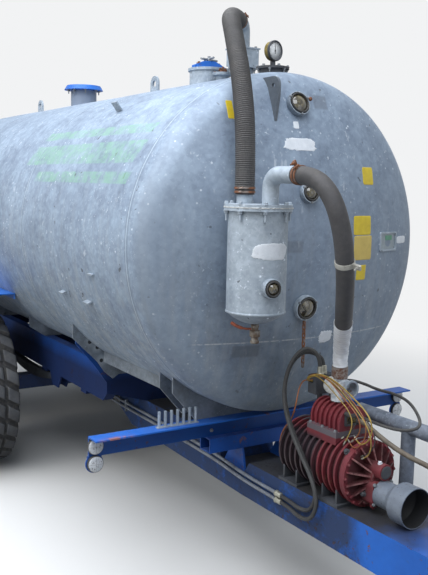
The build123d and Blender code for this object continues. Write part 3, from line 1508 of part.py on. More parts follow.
# Shut-off valve box on a flanged neck, with an elbow that turns down to it from the riser
with BuildPart() as top_valve:
    with BuildSketch(Plane.XY.offset(AXIS_Z)):
        with Locations((valve_x, 0)):
            Circle(VALVE_NECK_R)
    extrude(amount=TANK_R + VALVE_NECK_H)
    with BuildSketch(Plane.XY.offset(tank_top + VALVE_NECK_H - VALVE_FLANGE_T)):
        with Locations((valve_x, 0)):
            Circle(VALVE_FLANGE_R)
    extrude(amount=VALVE_FLANGE_T)
    with BuildSketch(Plane.XY.offset(tank_top + VALVE_NECK_H)):
        with Locations((valve_x, 0)):
            RectangleRounded(VALVE_W, VALVE_W, VALVE_FLANGE_T / 2)
    extrude(amount=VALVE_H)
    with BuildSketch(Plane.XY.offset(valve_top - 2 * VALVE_LID_LIP)):
        with Locations((valve_x, 0)):
            Rectangle(VALVE_W + 2 * VALVE_LID_LIP, VALVE_W + 2 * VALVE_LID_LIP)
    extrude(amount=2 * VALVE_LID_LIP)
    valve_route = [(valve_x, 0, valve_top), (valve_x, 0, riser_end[2]), riser_end]
    add(bent_tube(valve_route, STUB_R, "valve elbow").part)
    add(tank_room, mode=Mode.SUBTRACT)
save(top_valve, "top_valve")

# Gauge on a flanged neck, facing the hitch
gauge_x = at_x(GAUGE_AHEAD)
gauge_turn = math.radians(GAUGE_TURN)
gauge_plane = Plane(
    origin=(gauge_x, 0, tank_top + GAUGE_H),
    x_dir=(-math.sin(gauge_turn), math.cos(gauge_turn), 0),
    z_dir=(math.cos(gauge_turn), math.sin(gauge_turn), 0),
)
with BuildPart() as gauge_mount:
    with BuildSketch(Plane.XY.offset(AXIS_Z)):
        with Locations((gauge_x, 0)):
            Circle(GAUGE_NECK_R)
    extrude(amount=TANK_R + GAUGE_NECK_H)
    with BuildSketch(Plane.XY.offset(tank_top + GAUGE_NECK_H)):
        with Locations((gauge_x, 0)):
            Circle(GAUGE_FLANGE_R)
    extrude(amount=GAUGE_FLANGE_T)
    with BuildSketch(Plane.XY.offset(tank_top + GAUGE_NECK_H)):
        with Locations((gauge_x, 0)):
            Circle(GAUGE_STEM_R)
    extrude(amount=GAUGE_H - GAUGE_R - GAUGE_NECK_H + GAUGE_STEM_R / 2)
    with BuildSketch(gauge_plane):
        Circle(GAUGE_R + SEAT)
    extrude(amount=GAUGE_T, both=True, mode=Mode.SUBTRACT)
    add(tank_room, mode=Mode.SUBTRACT)
save(gauge_mount, "gauge_mount")

with BuildPart() as gauge:
    with BuildSketch(gauge_plane):
        Circle(GAUGE_R)
    extrude(amount=GAUGE_T / 2, both=True)
save(gauge, "gauge")

# Relief fitting with its wide painted cap
relief_x = at_x(RELIEF_AHEAD)
with BuildPart() as relief_valve:
    with BuildSketch(Plane.XY.offset(AXIS_Z)):
        with Locations((relief_x, 0)):
            Circle(RELIEF_NECK_R)
    extrude(amount=TANK_R + RELIEF_H)
    with BuildSketch(Plane.XY.offset(tank_top + RELIEF_H)):
        with Locations((relief_x, 0)):
            Circle(RELIEF_LID_R)
    extrude(amount=RELIEF_LID_T, taper=RELIEF_TAPER)
    add(tank_room, mode=Mode.SUBTRACT)
save(relief_valve, "relief_valve")

# Lifting eyes on the top line and on both heads, and small tabs on the right side
with BuildPart() as shell_lugs:
    for ahead in EYE_LUGS_AHEAD:
        with BuildSketch(side()):
            with BuildLine():
                x = at_x(ahead)
                half_w = EYE_LUG_W / 2
                shoulder = tank_top + EYE_LUG_H - half_w
                Line((x - half_w, AXIS_Z + TANK_R / 2), (x + half_w, AXIS_Z + TANK_R / 2))
                Line((x + half_w, AXIS_Z + TANK_R / 2), (x + half_w, shoulder))
                ThreePointArc((x + half_w, shoulder), (x, tank_top + EYE_LUG_H), (x - half_w, shoulder))
                Line((x - half_w, shoulder), (x - half_w, AXIS_Z + TANK_R / 2))
            make_face()
            with Locations((x, shoulder)):
                Circle(EYE_LUG_HOLE_R, mode=Mode.SUBTRACT)
        extrude(amount=EYE_LUG_T / 2, both=True)
    for sign, shift in ((1, 0.0), (-1, -TANK_LEN)):
        with BuildSketch(side(HEAD_LUG_Y)):
            with BuildLine():
                x = at_x(shift) + sign * (HEAD_DEPTH - HEAD_LUG_BACK)
                tip = tank_top - HEAD_LUG_IN
                foot = tip - HEAD_LUG_LEN
                root = at_x(shift) - sign * TANK_R / 4
                Line((x, tip - HEAD_LUG_R), (x, tip - HEAD_LUG_R * 2))
                Line((x, tip - HEAD_LUG_R * 2), (x - sign * HEAD_LUG_R / 2, foot))
                Line((x - sign * HEAD_LUG_R / 2, foot), (root, foot))
                Line((root, foot), (root, tip))
                Line((root, tip), (x - sign * HEAD_LUG_R, tip))
                RadiusArc((x - sign * HEAD_LUG_R, tip), (x, tip - HEAD_LUG_R), sign * HEAD_LUG_R)
            make_face()
            with Locations((x - sign * HEAD_LUG_R, tip - HEAD_LUG_R)):
                Circle(EYE_LUG_HOLE_R / 2, mode=Mode.SUBTRACT)
        extrude(amount=EYE_LUG_T / 2, both=True)
    for ahead, angle, width, height in SHELL_TABS:
        turn = math.radians(angle)
        c = math.cos(turn)
        d = math.sin(turn)
        # local x points along the machine, the normal points out of the shell
        tab_plane = Plane(
            origin=(at_x(ahead), -d * (TANK_R - TAB_T), AXIS_Z + c * (TANK_R - TAB_T)),
            x_dir=(1, 0, 0),
            z_dir=(0, -d, c),
        )
        with BuildSketch(tab_plane):
            Rectangle(width, TAB_T)
        extrude(amount=height + TAB_T)
    add(tank_room, mode=Mode.SUBTRACT)
save(shell_lugs, "shell_lugs")

# Sight glasses: rings that stand on the dished head, square to its surface
def glass_plane(up, stand):
    radius = math.hypot(GLASS_Y, up)
    lean = math.asin(radius / HEAD_CROWN_R)
    out = (math.cos(lean), math.sin(lean) * GLASS_Y / radius, math.sin(lean) * up / radius)
    reach = HEAD_CROWN_R + stand
    origin = (at_x(CROWN_C) + reach * out[0], reach * out[1], AXIS_Z + reach * out[2])
    return Plane(origin=origin, z_dir=out)


with BuildPart() as sight_glass_rings:
    for up, ring_r in GLASSES:
        with BuildSketch(glass_plane(up, SEAT)):
            Circle(ring_r)
            Circle(ring_r - GLASS_LIP, mode=Mode.SUBTRACT)
        extrude(amount=GLASS_STAND)
    add(tank_room, mode=Mode.SUBTRACT)
save(sight_glass_rings, "sight_glass_rings")

with BuildPart() as sight_glass_lenses:
    for up, ring_r in GLASSES:
        with BuildSketch(glass_plane(up, SEAT)):
            Circle(ring_r - GLASS_LIP - SEAT)
        extrude(amount=GLASS_STAND)
    add(tank_room, mode=Mode.SUBTRACT)
save(sight_glass_lenses, "sight_glass_lenses")

# Chain of slotted links from the rim of the low sight glass, each link a quarter turned
low_up, low_r = GLASSES[-1]
low_plane = glass_plane(low_up, SEAT + GLASS_STAND / 2)
hang = Vector(CHAIN_REACH, -CHAIN_OUT, -CHAIN_DROP).normalized()
chain_top = low_plane.origin - low_plane.z_dir.cross(Vector(0, 1, 0)).normalized() * (low_r + 3 * SEAT)
link_pitch = LINK_LEN - 2 * LINK_T - LINK_SLACK
with BuildPart() as hook_chain:
    for index in range(CHAIN_LINKS):
        turn = index % 2
        across = Vector(0, 1, 0) if turn else hang.cross(Vector(0, 1, 0))
        middle = chain_top + hang * (LINK_LEN / 2 + index * link_pitch)
        with BuildSketch(Plane(origin=middle, x_dir=hang, z_dir=across.cross(hang))):
            SlotOverall(LINK_LEN, LINK_W)
            SlotOverall(LINK_LEN - 2 * LINK_T, LINK_W - 2 * LINK_T, mode=Mode.SUBTRACT)
        extrude(amount=LINK_T / 2, both=True)
save(hook_chain, "hook_chain")

# Rear door: a wide flanged neck in the rear head, closed by a dished door on a side hinge
rear_seam_x = at_x(-TANK_LEN)
door_z = AXIS_Z + DOOR_Z_OFF
neck_end = rear_seam_x - HEAD_DEPTH - DOOR_NECK_LEN
hinge_y = DOOR_R + DOOR_HINGE_OUT
ear_root_y = math.sqrt((DOOR_NECK_R - DOOR_NECK_WALL) ** 2 - (DOOR_HINGE_H / 2) ** 2)
with BuildPart() as rear_neck:
    with BuildSketch(cross(neck_end)):
        with Locations((0, door_z)):
            Circle(DOOR_NECK_R)
            Circle(DOOR_NECK_R - DOOR_NECK_WALL, mode=Mode.SUBTRACT)
    extrude(amount=HEAD_DEPTH)
    # the ear that carries the hinge pin
    for sign in (-1, 1):
        with BuildSketch(Plane.XY.offset(door_z + sign * DOOR_HINGE_H / 2)):
            Polygon(
                (neck_end + DOOR_NECK_LEN / 2, ear_root_y),
                (neck_end + DOOR_EAR_GAP, ear_root_y),
                (neck_end + DOOR_EAR_GAP, DOOR_R + DOOR_EAR_GAP),
                (neck_end - SEAT - DOOR_T, DOOR_R + DOOR_EAR_GAP),
                (neck_end - SEAT - DOOR_T, hinge_y + DOOR_HINGE_R),
                (neck_end + DOOR_T, hinge_y + DOOR_HINGE_R),
                align=None,
            )
            with Locations((neck_end - SEAT - DOOR_T / 2, hinge_y)):
                Circle(DOOR_PIN_R + PTO_BEARING_CLEAR, mode=Mode.SUBTRACT)
        extrude(amount=DOOR_T / 2, both=True)
    add(tank_room, mode=Mode.SUBTRACT)
save(rear_neck, "rear_neck")

with BuildPart() as rear_door:
    with BuildSketch(Plane(origin=(neck_end - SEAT, 0, door_z), x_dir=(1, 0, 0), z_dir=(0, -1, 0))):
        with BuildLine():
            Polyline((0, 0), (0, DOOR_R), (-DOOR_T, DOOR_R), (-DOOR_T, DOOR_R - DOOR_HINGE_OUT))
            ThreePointArc(
                (-DOOR_T, DOOR_R - DOOR_HINGE_OUT),
                (-DOOR_T - DOOR_DISH * 0.78, (DOOR_R - DOOR_HINGE_OUT) / 2),
                (-DOOR_T - DOOR_DISH, 0),
            )
            Line((-DOOR_T - DOOR_DISH, 0), (0, 0))
        make_face()
    revolve(axis=Axis((0, 0, door_z), (1, 0, 0)))
    with BuildSketch(Plane.XY.offset(door_z)):
        with Locations((neck_end - SEAT - DOOR_T / 2, DOOR_R - DOOR_HINGE_OUT)):
            Rectangle(DOOR_T, hinge_y - DOOR_R + DOOR_HINGE_OUT, align=(Align.CENTER, Align.MIN))
        with Locations((neck_end - SEAT - DOOR_T / 2, hinge_y)):
            Circle(DOOR_HINGE_R)
    extrude(amount=DOOR_HINGE_H / 2 - DOOR_T, both=True)
    with BuildSketch(Plane.XY.offset(door_z)):
        with Locations((neck_end - SEAT - DOOR_T / 2, hinge_y)):
            Circle(DOOR_PIN_R)
    extrude(amount=DOOR_HINGE_H / 2 + DOOR_T, both=True)
save(rear_door, "rear_door")

# Outlet: a stub from the rear head, a gate valve in its frame and a pipe to the spreader
outlet_z = at_z(OUTLET_DROP)
gate_x = rear_seam_x - GATE_BACK
with BuildPart() as outlet_valve:
    with BuildSketch(cross(gate_x)):
        with Locations((0, outlet_z)):
            Circle(OUTLET_R)
    extrude(amount=GATE_BACK)
    with BuildSketch(cross(gate_x)):
        with Locations((0, outlet_z - GATE_W / 2)):
            RectangleRounded(GATE_W, GATE_H, OUTLET_WALL, align=(Align.CENTER, Align.MIN))
    extrude(amount=-GATE_T)
    with BuildSketch(cross(gate_x)):
        with Locations((0, outlet_z)):
            Circle(OUTLET_R)
    extrude(amount=-(OUTLET_BACK - GATE_BACK))
    with BuildSketch(cross(rear_seam_x - OUTLET_BACK)):
        with Locations((0, outlet_z)):
            Circle(OUTLET_R - OUTLET_WALL)
    extrude(amount=OUTLET_BACK - GATE_BACK - GATE_T, mode=Mode.SUBTRACT)
    add(tank_room, mode=Mode.SUBTRACT)
save(outlet_valve, "outlet_valve")

# Spreader: a tilted plate behind the outlet, hung from the pipe by two straps
reach_x = rear_seam_x - REAR_REACH
with BuildPart() as splash_plate:
    with BuildSketch(side()):
        Polygon(
            (reach_x, outlet_z - OUTLET_R - SPREAD_DROP),
            (reach_x + SPREAD_TILT, outlet_z + OUTLET_R),
            (reach_x + SPREAD_TILT + SPREAD_T, outlet_z + OUTLET_R),
            (reach_x + SPREAD_T, outlet_z - OUTLET_R - SPREAD_DROP),
            align=None,
        )
    extrude(amount=SPREAD_W / 2, both=True)
    for sign in (-1, 1):
        with BuildSketch(side(sign * (OUTLET_R + SPREAD_T / 2 + SEAT))):
            Polygon(
                (reach_x + SPREAD_TILT, outlet_z + OUTLET_R),
                (rear_seam_x - GATE_BACK - GATE_T - SEAT, outlet_z + SPREAD_TILT),
                (rear_seam_x - GATE_BACK - GATE_T - SEAT, outlet_z - SPREAD_TILT),
                (reach_x + SPREAD_TILT / 2, outlet_z - SPREAD_TILT),
                align=None,
            )
        extrude(amount=SPREAD_T / 2, both=True)
save(splash_plate, "splash_plate")

# Rear light bar across the ends of the rails, with a lamp near each end
bar_x = rail_x0 - SEAT
rear_bar_z = at_z(REAR_BAR_DROP)
with BuildPart() as rear_light_bar:
    with BuildSketch(side()):
        Polygon(
            (bar_x, rear_bar_z - REAR_BAR_H / 2),
            (bar_x, rear_bar_z + REAR_BAR_H / 2),
            (bar_x - REAR_BAR_H / 2, rear_bar_z + REAR_BAR_H / 2),
            (bar_x - REAR_BAR_H / 2, rear_bar_z + REAR_BAR_H / 2 - REAR_BAR_T),
            (bar_x - REAR_BAR_T, rear_bar_z + REAR_BAR_H / 2 - REAR_BAR_T),
            (bar_x - REAR_BAR_T, rear_bar_z - REAR_BAR_H / 2),
            align=None,
        )
    extrude(amount=REAR_BAR_HALF_W, both=True)
save(rear_light_bar, "rear_light_bar")

with BuildPart() as rear_lamps:
    with BuildSketch(cross(bar_x - REAR_BAR_T - SEAT)):
        with Locations((-LAMP_Y, rear_bar_z - REAR_BAR_T), (LAMP_Y, rear_bar_z - REAR_BAR_T)):
            RectangleRounded(LAMP_W, LAMP_H - REAR_BAR_T, REAR_BAR_T)
    extrude(amount=-LAMP_T)
save(rear_lamps, "rear_lamps")

# Parking jack on the drawbar's left side: a square sleeve, and a leg with a foot plate
jack_x = at_x(JACK_AHEAD)
jack_y = BAR_HALF_W + JACK_BRACKET_T + JACK_SQ / 2
with BuildPart() as jack_sleeve:
    with BuildSketch(Plane.XY.offset(JACK_LOW_Z)):
        with Locations((jack_x, jack_y)):
            Rectangle(JACK_SQ, JACK_SQ)
            Rectangle(JACK_SQ - 2 * JACK_WALL, JACK_SQ - 2 * JACK_WALL, mode=Mode.SUBTRACT)
    extrude(amount=JACK_TOP_Z - JACK_LOW_Z)
    with BuildSketch(Plane.XY.offset(JACK_TOP_Z)):
        with Locations((jack_x, jack_y)):
            Rectangle(JACK_SQ, JACK_SQ)
    extrude(amount=JACK_WALL)
    with BuildSketch(side(BAR_HALF_W)):
        with Locations((jack_x, (bar_top + bar_low) / 2)):
            Rectangle(2 * JACK_SQ, (bar_top - bar_low) * 0.7)
    extrude(amount=-JACK_BRACKET_T)
    # crank on top: an arm out to the left and a grip
    with BuildSketch(Plane.XY.offset(JACK_TOP_Z)):
        with Locations((jack_x, jack_y)):
            Circle(CRANK_R)
    extrude(amount=CRANK_R * 5)
    with BuildSketch(side(jack_y)):
        with Locations((jack_x, JACK_TOP_Z + CRANK_R * 4)):
            Circle(CRANK_R)
    extrude(amount=-CRANK_LEN)
    with BuildSketch(Plane.XY.offset(JACK_TOP_Z + CRANK_R * 4)):
        with Locations((jack_x, jack_y + CRANK_LEN)):
            Circle(CRANK_R)
    extrude(amount=CRANK_GRIP)
save(jack_sleeve, "jack_sleeve")

leg_sq = JACK_SQ - 2 * JACK_WALL - 2 * JACK_CLEAR
with BuildPart() as jack_leg:
    with BuildSketch(Plane.XY):
        with Locations((jack_x, jack_y)):
            RectangleRounded(FOOT_PLATE, FOOT_PLATE, JACK_PLATE_T)
    extrude(amount=JACK_PLATE_T)
    with BuildSketch(Plane.XY):
        with Locations((jack_x, jack_y)):
            Rectangle(leg_sq, leg_sq)
    extrude(amount=JACK_LEG_TOP_Z)
save(jack_leg, "jack_leg")

# Two steel pipes clipped along the drawbar's right side
with BuildPart() as drawbar_pipes:
    for shift in (0.0, PIPE_PITCH):
        points = [(at_x(ahead), pipe_y, at_z(drop + shift)) for ahead, drop in PIPE_POINTS]
        add(bent_tube(points, PIPE_R, "drawbar pipe").part)
    for ahead in PIPE_CLIPS_AHEAD:
        with BuildSketch(cross(at_x(ahead))):
            with Locations((-BAR_HALF_W - SEAT, at_z(PIPE_CLIP_DROP))):
                Rectangle(PIPE_STAND + PIPE_R, PIPE_PITCH * 2.4, align=(Align.MAX, Align.CENTER))
        extrude(amount=PIPE_R)
save(drawbar_pipes, "drawbar_pipes")
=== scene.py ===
# %% [markdown]
# # A towed vacuum slurry tanker
# The rigid model of the machine is loaded first, and nothing in it is moved. This lesson then
# dresses it: cords follow their routes, plain solids get the detail of the real piece, and every
# surface gets a finish made from noise and places on the object.

# %% Load the frame
import bmesh
import bpy
import math
import mathutils
import numpy as np
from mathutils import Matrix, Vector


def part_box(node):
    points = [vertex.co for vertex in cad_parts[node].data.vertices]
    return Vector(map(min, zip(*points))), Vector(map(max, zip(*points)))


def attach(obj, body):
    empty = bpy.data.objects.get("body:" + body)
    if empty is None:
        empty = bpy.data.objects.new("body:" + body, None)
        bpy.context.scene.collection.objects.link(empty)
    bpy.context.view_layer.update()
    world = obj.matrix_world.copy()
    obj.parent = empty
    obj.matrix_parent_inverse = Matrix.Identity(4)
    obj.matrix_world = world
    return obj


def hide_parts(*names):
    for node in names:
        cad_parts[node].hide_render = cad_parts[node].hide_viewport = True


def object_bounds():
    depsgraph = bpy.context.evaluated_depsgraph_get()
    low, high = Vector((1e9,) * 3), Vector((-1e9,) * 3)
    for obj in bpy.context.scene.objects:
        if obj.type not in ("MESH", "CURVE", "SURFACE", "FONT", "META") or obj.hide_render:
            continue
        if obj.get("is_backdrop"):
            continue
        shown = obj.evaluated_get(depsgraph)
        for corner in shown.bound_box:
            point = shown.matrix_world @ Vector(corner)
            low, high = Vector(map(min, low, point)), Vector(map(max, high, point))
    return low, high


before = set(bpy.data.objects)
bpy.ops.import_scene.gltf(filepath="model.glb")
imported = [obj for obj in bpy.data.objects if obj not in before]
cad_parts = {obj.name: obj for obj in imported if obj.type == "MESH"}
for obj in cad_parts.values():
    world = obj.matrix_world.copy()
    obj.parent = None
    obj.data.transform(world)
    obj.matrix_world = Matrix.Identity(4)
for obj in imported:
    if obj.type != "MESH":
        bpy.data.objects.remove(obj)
cad_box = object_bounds()
print("nodes", len(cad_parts), "box", cad_box)

# %% [markdown]
# ## Places that many pieces share
# The tank lies along X. What sits on it is placed from a few sizes of the rigid model: the tank's
# radius, the height of its axis, where its front seam is, and the two radii of its dished head.

# %% Sizes of the tank and its head
AXIS_Z = 1.85
TANK_R = 0.9
SEAM_X = 1.569
CROWN_R = 1.95
KNUCKLE_R = 0.155
HEAD_FLANGE = 0.035
HEAD_ANGLE = math.asin((TANK_R - KNUCKLE_R) / (CROWN_R - KNUCKLE_R))
CROWN_C = HEAD_FLANGE - (CROWN_R - KNUCKLE_R) * math.cos(HEAD_ANGLE)
TOP_Z = AXIS_Z + TANK_R
AHEAD, LEFT, UP = (1.0, 0.0, 0.0), (0.0, 1.0, 0.0), (0.0, 0.0, 1.0)
print("the crown's centre is", round(CROWN_C, 3), "m from the front seam")

# %% [markdown]
# ## Camera
# The photograph was taken from the right of the hitch, a little above the tank's middle. A camera
# is easiest to trust when it is given as real numbers: where it stands, where it looks and its
# focal length. The sensor's long side is the upright one, because the picture is taller than wide.

# %% Camera at the photograph's angle
IMAGE_H = 575
FOCAL_PX = 802.8
SENSOR_MM = 36.0
CAMERA_AT = (5.032, -2.596, 2.167)
CAMERA_YAW = 147.51
CAMERA_PITCH = -7.36
CAMERA_ROLL = 1.29


def shown(name, data):
    # a new object in the scene
    piece = bpy.data.objects.new(name, data)
    bpy.context.scene.collection.objects.link(piece)
    return piece


def camera_matrix(place, yaw, pitch, roll):
    """Turn three angles into a camera's matrix: forward comes from yaw and pitch, right is forward
    crossed with up, and the two cross axes are then turned about forward by the roll."""
    yaw, pitch, roll = (math.radians(angle) for angle in (yaw, pitch, roll))
    forward = np.array([math.cos(yaw) * math.cos(pitch), math.sin(yaw) * math.cos(pitch), math.sin(pitch)])
    right = np.cross(forward, UP)
    right /= np.linalg.norm(right)
    up = np.cross(right, forward)
    rows = np.eye(4)
    rows[:3, 0] = math.cos(roll) * right + math.sin(roll) * up
    rows[:3, 1] = math.cos(roll) * up - math.sin(roll) * right
    rows[:3, 2], rows[:3, 3] = -forward, place
    return rows


camera_data = bpy.data.cameras.new("camera")
camera_data.sensor_fit = "VERTICAL"
camera_data.sensor_height = SENSOR_MM
camera_data.lens = FOCAL_PX / IMAGE_H * SENSOR_MM
camera_data.clip_end = 100
camera = shown("camera", camera_data)
camera.matrix_world = mathutils.Matrix(
    camera_matrix(CAMERA_AT, CAMERA_YAW, CAMERA_PITCH, CAMERA_ROLL).tolist())
bpy.context.scene.camera = camera
print("lens", round(camera_data.lens, 2), "mm")

# %% [markdown]
# ## Hoses, cables and leads
# A hose is one smooth curve, so each one is a NURBS spline whose control points are the route's
# own points. They are written here as the machine's drawing has them: how far ahead of the
# tank's front seam, how far to the left, and how far above the tank's axis, in metres.

# %% Routes
RISER_ROUTE = [
    (0.3569, -0.460, 0.2703), (0.3569, -0.460, 0.530), (0.265, -0.430, 0.800), (0.100, -0.370, 1.030),
    (-0.1161, -0.2618, 1.198), (-0.2903, -0.0815, 1.198),
]
PUMP_HOSE_ROUTE = [
    (0.7383, -0.460, 0.362), (0.860, -0.460, 0.362), (0.965, -0.445, 0.275), (1.000, -0.415, 0.130),
    (0.965, -0.360, -0.040), (0.860, -0.265, -0.190), (0.735, -0.155, -0.315), (0.635, -0.072, -0.415),
    (0.590, -0.035, -0.502), (0.590, -0.035, -0.5994),
]
HYDRAULIC_A_ROUTE = [
    (0.3303, -0.197, -1.274), (0.430, -0.197, -1.2754), (0.540, -0.212, -1.290), (0.645, -0.226, -1.262),
    (0.690, -0.226, -1.165), (0.640, -0.222, -1.065), (0.545, -0.218, -0.975), (0.450, -0.214, -0.870),
    (0.385, -0.212, -0.750), (0.375, -0.200, -0.630), (0.392, -0.165, -0.525), (0.425, -0.115, -0.470),
    (0.460, -0.070, -0.500), (0.470, -0.055, -0.560), (0.470, -0.055, -0.6117),
]
HYDRAULIC_B_ROUTE = [
    (0.3303, -0.197, -1.240), (0.425, -0.197, -1.2413), (0.525, -0.202, -1.254), (0.612, -0.204, -1.232),
    (0.652, -0.204, -1.150), (0.612, -0.202, -1.065), (0.520, -0.198, -0.965), (0.425, -0.194, -0.860),
    (0.362, -0.190, -0.745), (0.352, -0.180, -0.635), (0.368, -0.145, -0.540), (0.405, -0.095, -0.495),
    (0.445, -0.035, -0.520), (0.455, -0.020, -0.565), (0.455, -0.020, -0.6117),
]
CABLE_ROUTE = [
    (0.515, -0.020, -0.7117), (0.515, -0.020, -0.668), (0.530, 0.015, -0.635), (0.560, 0.065, -0.628),
    (0.612, 0.105, -0.640), (0.700, 0.122, -0.655), (0.828, 0.100, -0.640), (0.961, 0.060, -0.641),
    (1.070, 0.009, -0.675), (1.115, -0.029, -0.702), (1.104, -0.069, -0.716), (1.054, -0.089, -0.727),
    (0.983, -0.109, -0.727), (0.899, -0.120, -0.721), (0.816, -0.110, -0.722), (0.748, -0.084, -0.745),
    (0.7003, -0.084, -0.745),
]
FRONT_HOSE_ROUTE = [
    (0.7003, -0.010, -0.785), (0.750, -0.010, -0.785), (0.805, -0.005, -0.810), (0.865, 0.006, -0.838),
    (0.930, 0.018, -0.862), (1.005, 0.038, -0.886), (1.085, 0.065, -0.904), (1.160, 0.092, -0.934),
    (1.225, 0.112, -0.985), (1.280, 0.122, -1.050), (1.335, 0.124, -1.110), (1.395, 0.120, -1.146),
    (1.465, 0.108, -1.1545), (1.540, 0.088, -1.1545), (1.600, 0.066, -1.1545),
]
YELLOW_ROUTE = [
    (0.452, -0.0873, -0.640), (0.452, -0.112, -0.640), (0.466, -0.130, -0.617), (0.506, -0.128, -0.592),
    (0.565, -0.123, -0.580), (0.640, -0.125, -0.586), (0.715, -0.130, -0.604), (0.796, -0.140, -0.630),
    (0.872, -0.145, -0.660), (0.926, -0.148, -0.694), (0.947, -0.148, -0.738), (0.936, -0.145, -0.786),
    (0.900, -0.140, -0.824), (0.852, -0.135, -0.843), (0.818, -0.129, -0.818),
]
ORANGE_ROUTE = [
    (0.4177, -0.060, -0.650), (0.392, -0.060, -0.650), (0.386, -0.096, -0.652), (0.418, -0.145, -0.682),
    (0.430, -0.164, -0.728), (0.426, -0.172, -0.780), (0.406, -0.172, -0.828), (0.372, -0.168, -0.868),
    (0.334, -0.164, -0.905), (0.305, -0.160, -0.952), (0.292, -0.156, -1.005), (0.300, -0.152, -1.058),
]


def placed(route):
    # a route's points in the frame, as one array
    return np.array(route) + np.array([SEAM_X, 0.0, AXIS_Z])


# %% Splines and their lengths
def spline_object(name, points, radius=0.0):
    """A NURBS spline of order 3 through control points: each stretch of it is a parabola pulled
    towards three neighbouring points, and the two ends lie on the first and last point."""
    curve = bpy.data.curves.new(name, "CURVE")
    curve.dimensions = "3D"
    curve.resolution_u = 10
    curve.bevel_depth = 1.0 if radius else 0.0
    curve.bevel_resolution = 5
    curve.use_fill_caps = radius > 0
    spline = curve.splines.new("NURBS")
    spline.points.add(len(points) - 1)
    spline.points.foreach_set("co", np.column_stack([points, np.ones(len(points))]).ravel())
    # the bevel is one metre thick and each point scales it to the line's own radius
    spline.points.foreach_set("radius", np.full(len(points), max(radius, 1e-4)))
    spline.order_u = 3
    spline.use_endpoint_u = True
    return shown(name, curve)


def spline_points(points):
    # the points of the smooth line itself, read from a spline that has no thickness
    guide = spline_object("guide", points)
    mesh = bpy.data.meshes.new_from_object(guide)
    line = np.zeros(len(mesh.vertices) * 3)
    mesh.vertices.foreach_get("co", line)
    bpy.data.meshes.remove(mesh)
    bpy.data.objects.remove(guide)
    return line.reshape(-1, 3)


def length_of(line):
    return float(np.linalg.norm(np.diff(line, axis=0), axis=1).sum())


ROUTES = {
    "riser_hose": RISER_ROUTE, "pump_hose": PUMP_HOSE_ROUTE, "hydraulic_hose_a": HYDRAULIC_A_ROUTE,
    "hydraulic_hose_b": HYDRAULIC_B_ROUTE, "cable_loop": CABLE_ROUTE, "front_hose": FRONT_HOSE_ROUTE,
    "lead_yellow": YELLOW_ROUTE, "lead_orange": ORANGE_ROUTE,
}
lines = {name: spline_points(placed(route)) for name, route in ROUTES.items()}
for name, line in lines.items():
    print(name, "length", round(length_of(line), 3), "m,", len(line), "points")

# %% [markdown]
# ## Surfaces as functions of two numbers
# Almost every made piece here is a grid: one number runs along it and one runs round it. numpy
# works out all the points at once, and one helper turns the grid into a mesh whose faces point
# outwards, with its ends closed.

# %% Grid to mesh
def mesh_piece(name, points, faces, uv=None, smooth=True):
    # a mesh object from arrays of points and faces, with an optional UV pair for each point
    mesh = bpy.data.meshes.new(name)
    mesh.from_pydata(points.reshape(-1, 3).tolist(), [], sum((group.tolist() for group in faces), []))
    if uv is not None:
        corners = np.zeros(len(mesh.loops), int)
        mesh.loops.foreach_get("vertex_index", corners)
        layer = mesh.uv_layers.new(name="along")
        layer.data.foreach_set("uv", uv.reshape(-1, 2)[corners].astype(np.float32).ravel())
    mesh.polygons.foreach_set("use_smooth", np.full(len(mesh.polygons), smooth))
    mesh.update()
    return shown(name, mesh)


def grid_faces(rows, columns, wrap_rows=False, wrap_columns=True):
    """Squares between neighbours on a grid. The corners go along a row, then up a column, so a face
    looks to the side where row direction crossed with column direction points."""
    row = np.arange(rows if wrap_rows else rows - 1)[:, None]
    column = np.arange(columns if wrap_columns else columns - 1)[None, :]
    next_row, next_column = (row + 1) % rows, (column + 1) % columns
    corners = [row * columns + column, row * columns + next_column, next_row * columns + next_column,
               next_row * columns + column]
    return np.stack(np.broadcast_arrays(*corners), axis=-1).reshape(-1, 4)


def end_caps(rows, columns):
    # one many-sided face at each end of a closed grid
    return [np.arange(columns)[::-1][None, :], ((rows - 1) * columns + np.arange(columns))[None, :]]


def grid_piece(name, grid, caps=True, wrap_rows=False, wrap_columns=True, uv=None, smooth=True, flip=False):
    # a piece from a grid of points, whose columns run round it
    rows, columns = grid.shape[:2]
    groups = [grid_faces(rows, columns, wrap_rows, wrap_columns)]
    if caps and wrap_columns and not wrap_rows:
        groups += end_caps(rows, columns)
    if flip:
        groups = [group[:, ::-1] for group in groups]
    return mesh_piece(name, grid, groups, uv, smooth)


# %% Turned pieces
# a profile that ends on its axis keeps this small radius there
TIP = 0.0006


def axes_for(direction):
    # three unit axes, the last along the direction, for one direction or many
    w = np.atleast_2d(np.asarray(direction, float))
    w = w / np.linalg.norm(w, axis=1, keepdims=True)
    helper = np.where(np.abs(w[:, 2:]) < 0.9, np.array([UP]), np.array([AHEAD]))
    u = np.cross(helper, w)
    u /= np.linalg.norm(u, axis=1, keepdims=True)
    return np.stack([u, np.cross(w, u), w], axis=1)


def turned(name, profile, centre, direction, sides=64, swell=None, caps=True):
    """Turn a profile of (height, radius) pairs about an axis: a point is the centre plus height along
    the axis plus radius times (cosine, sine) of the angle. swell may change radius by height and angle."""
    profile = np.array(profile, float)
    angle = np.linspace(0, 2 * np.pi, sides, endpoint=False)
    radius = np.repeat(profile[:, 1:], sides, axis=1)
    if swell is not None:
        radius = radius + swell(profile[:, :1], angle[None, :])
    u, v, w = axes_for(direction)[0]
    out = np.cos(angle)[None, :, None] * u + np.sin(angle)[None, :, None] * v
    grid = np.array(centre, float) + profile[:, :1, None] * w + radius[..., None] * out
    return grid_piece(name, grid, caps=caps)


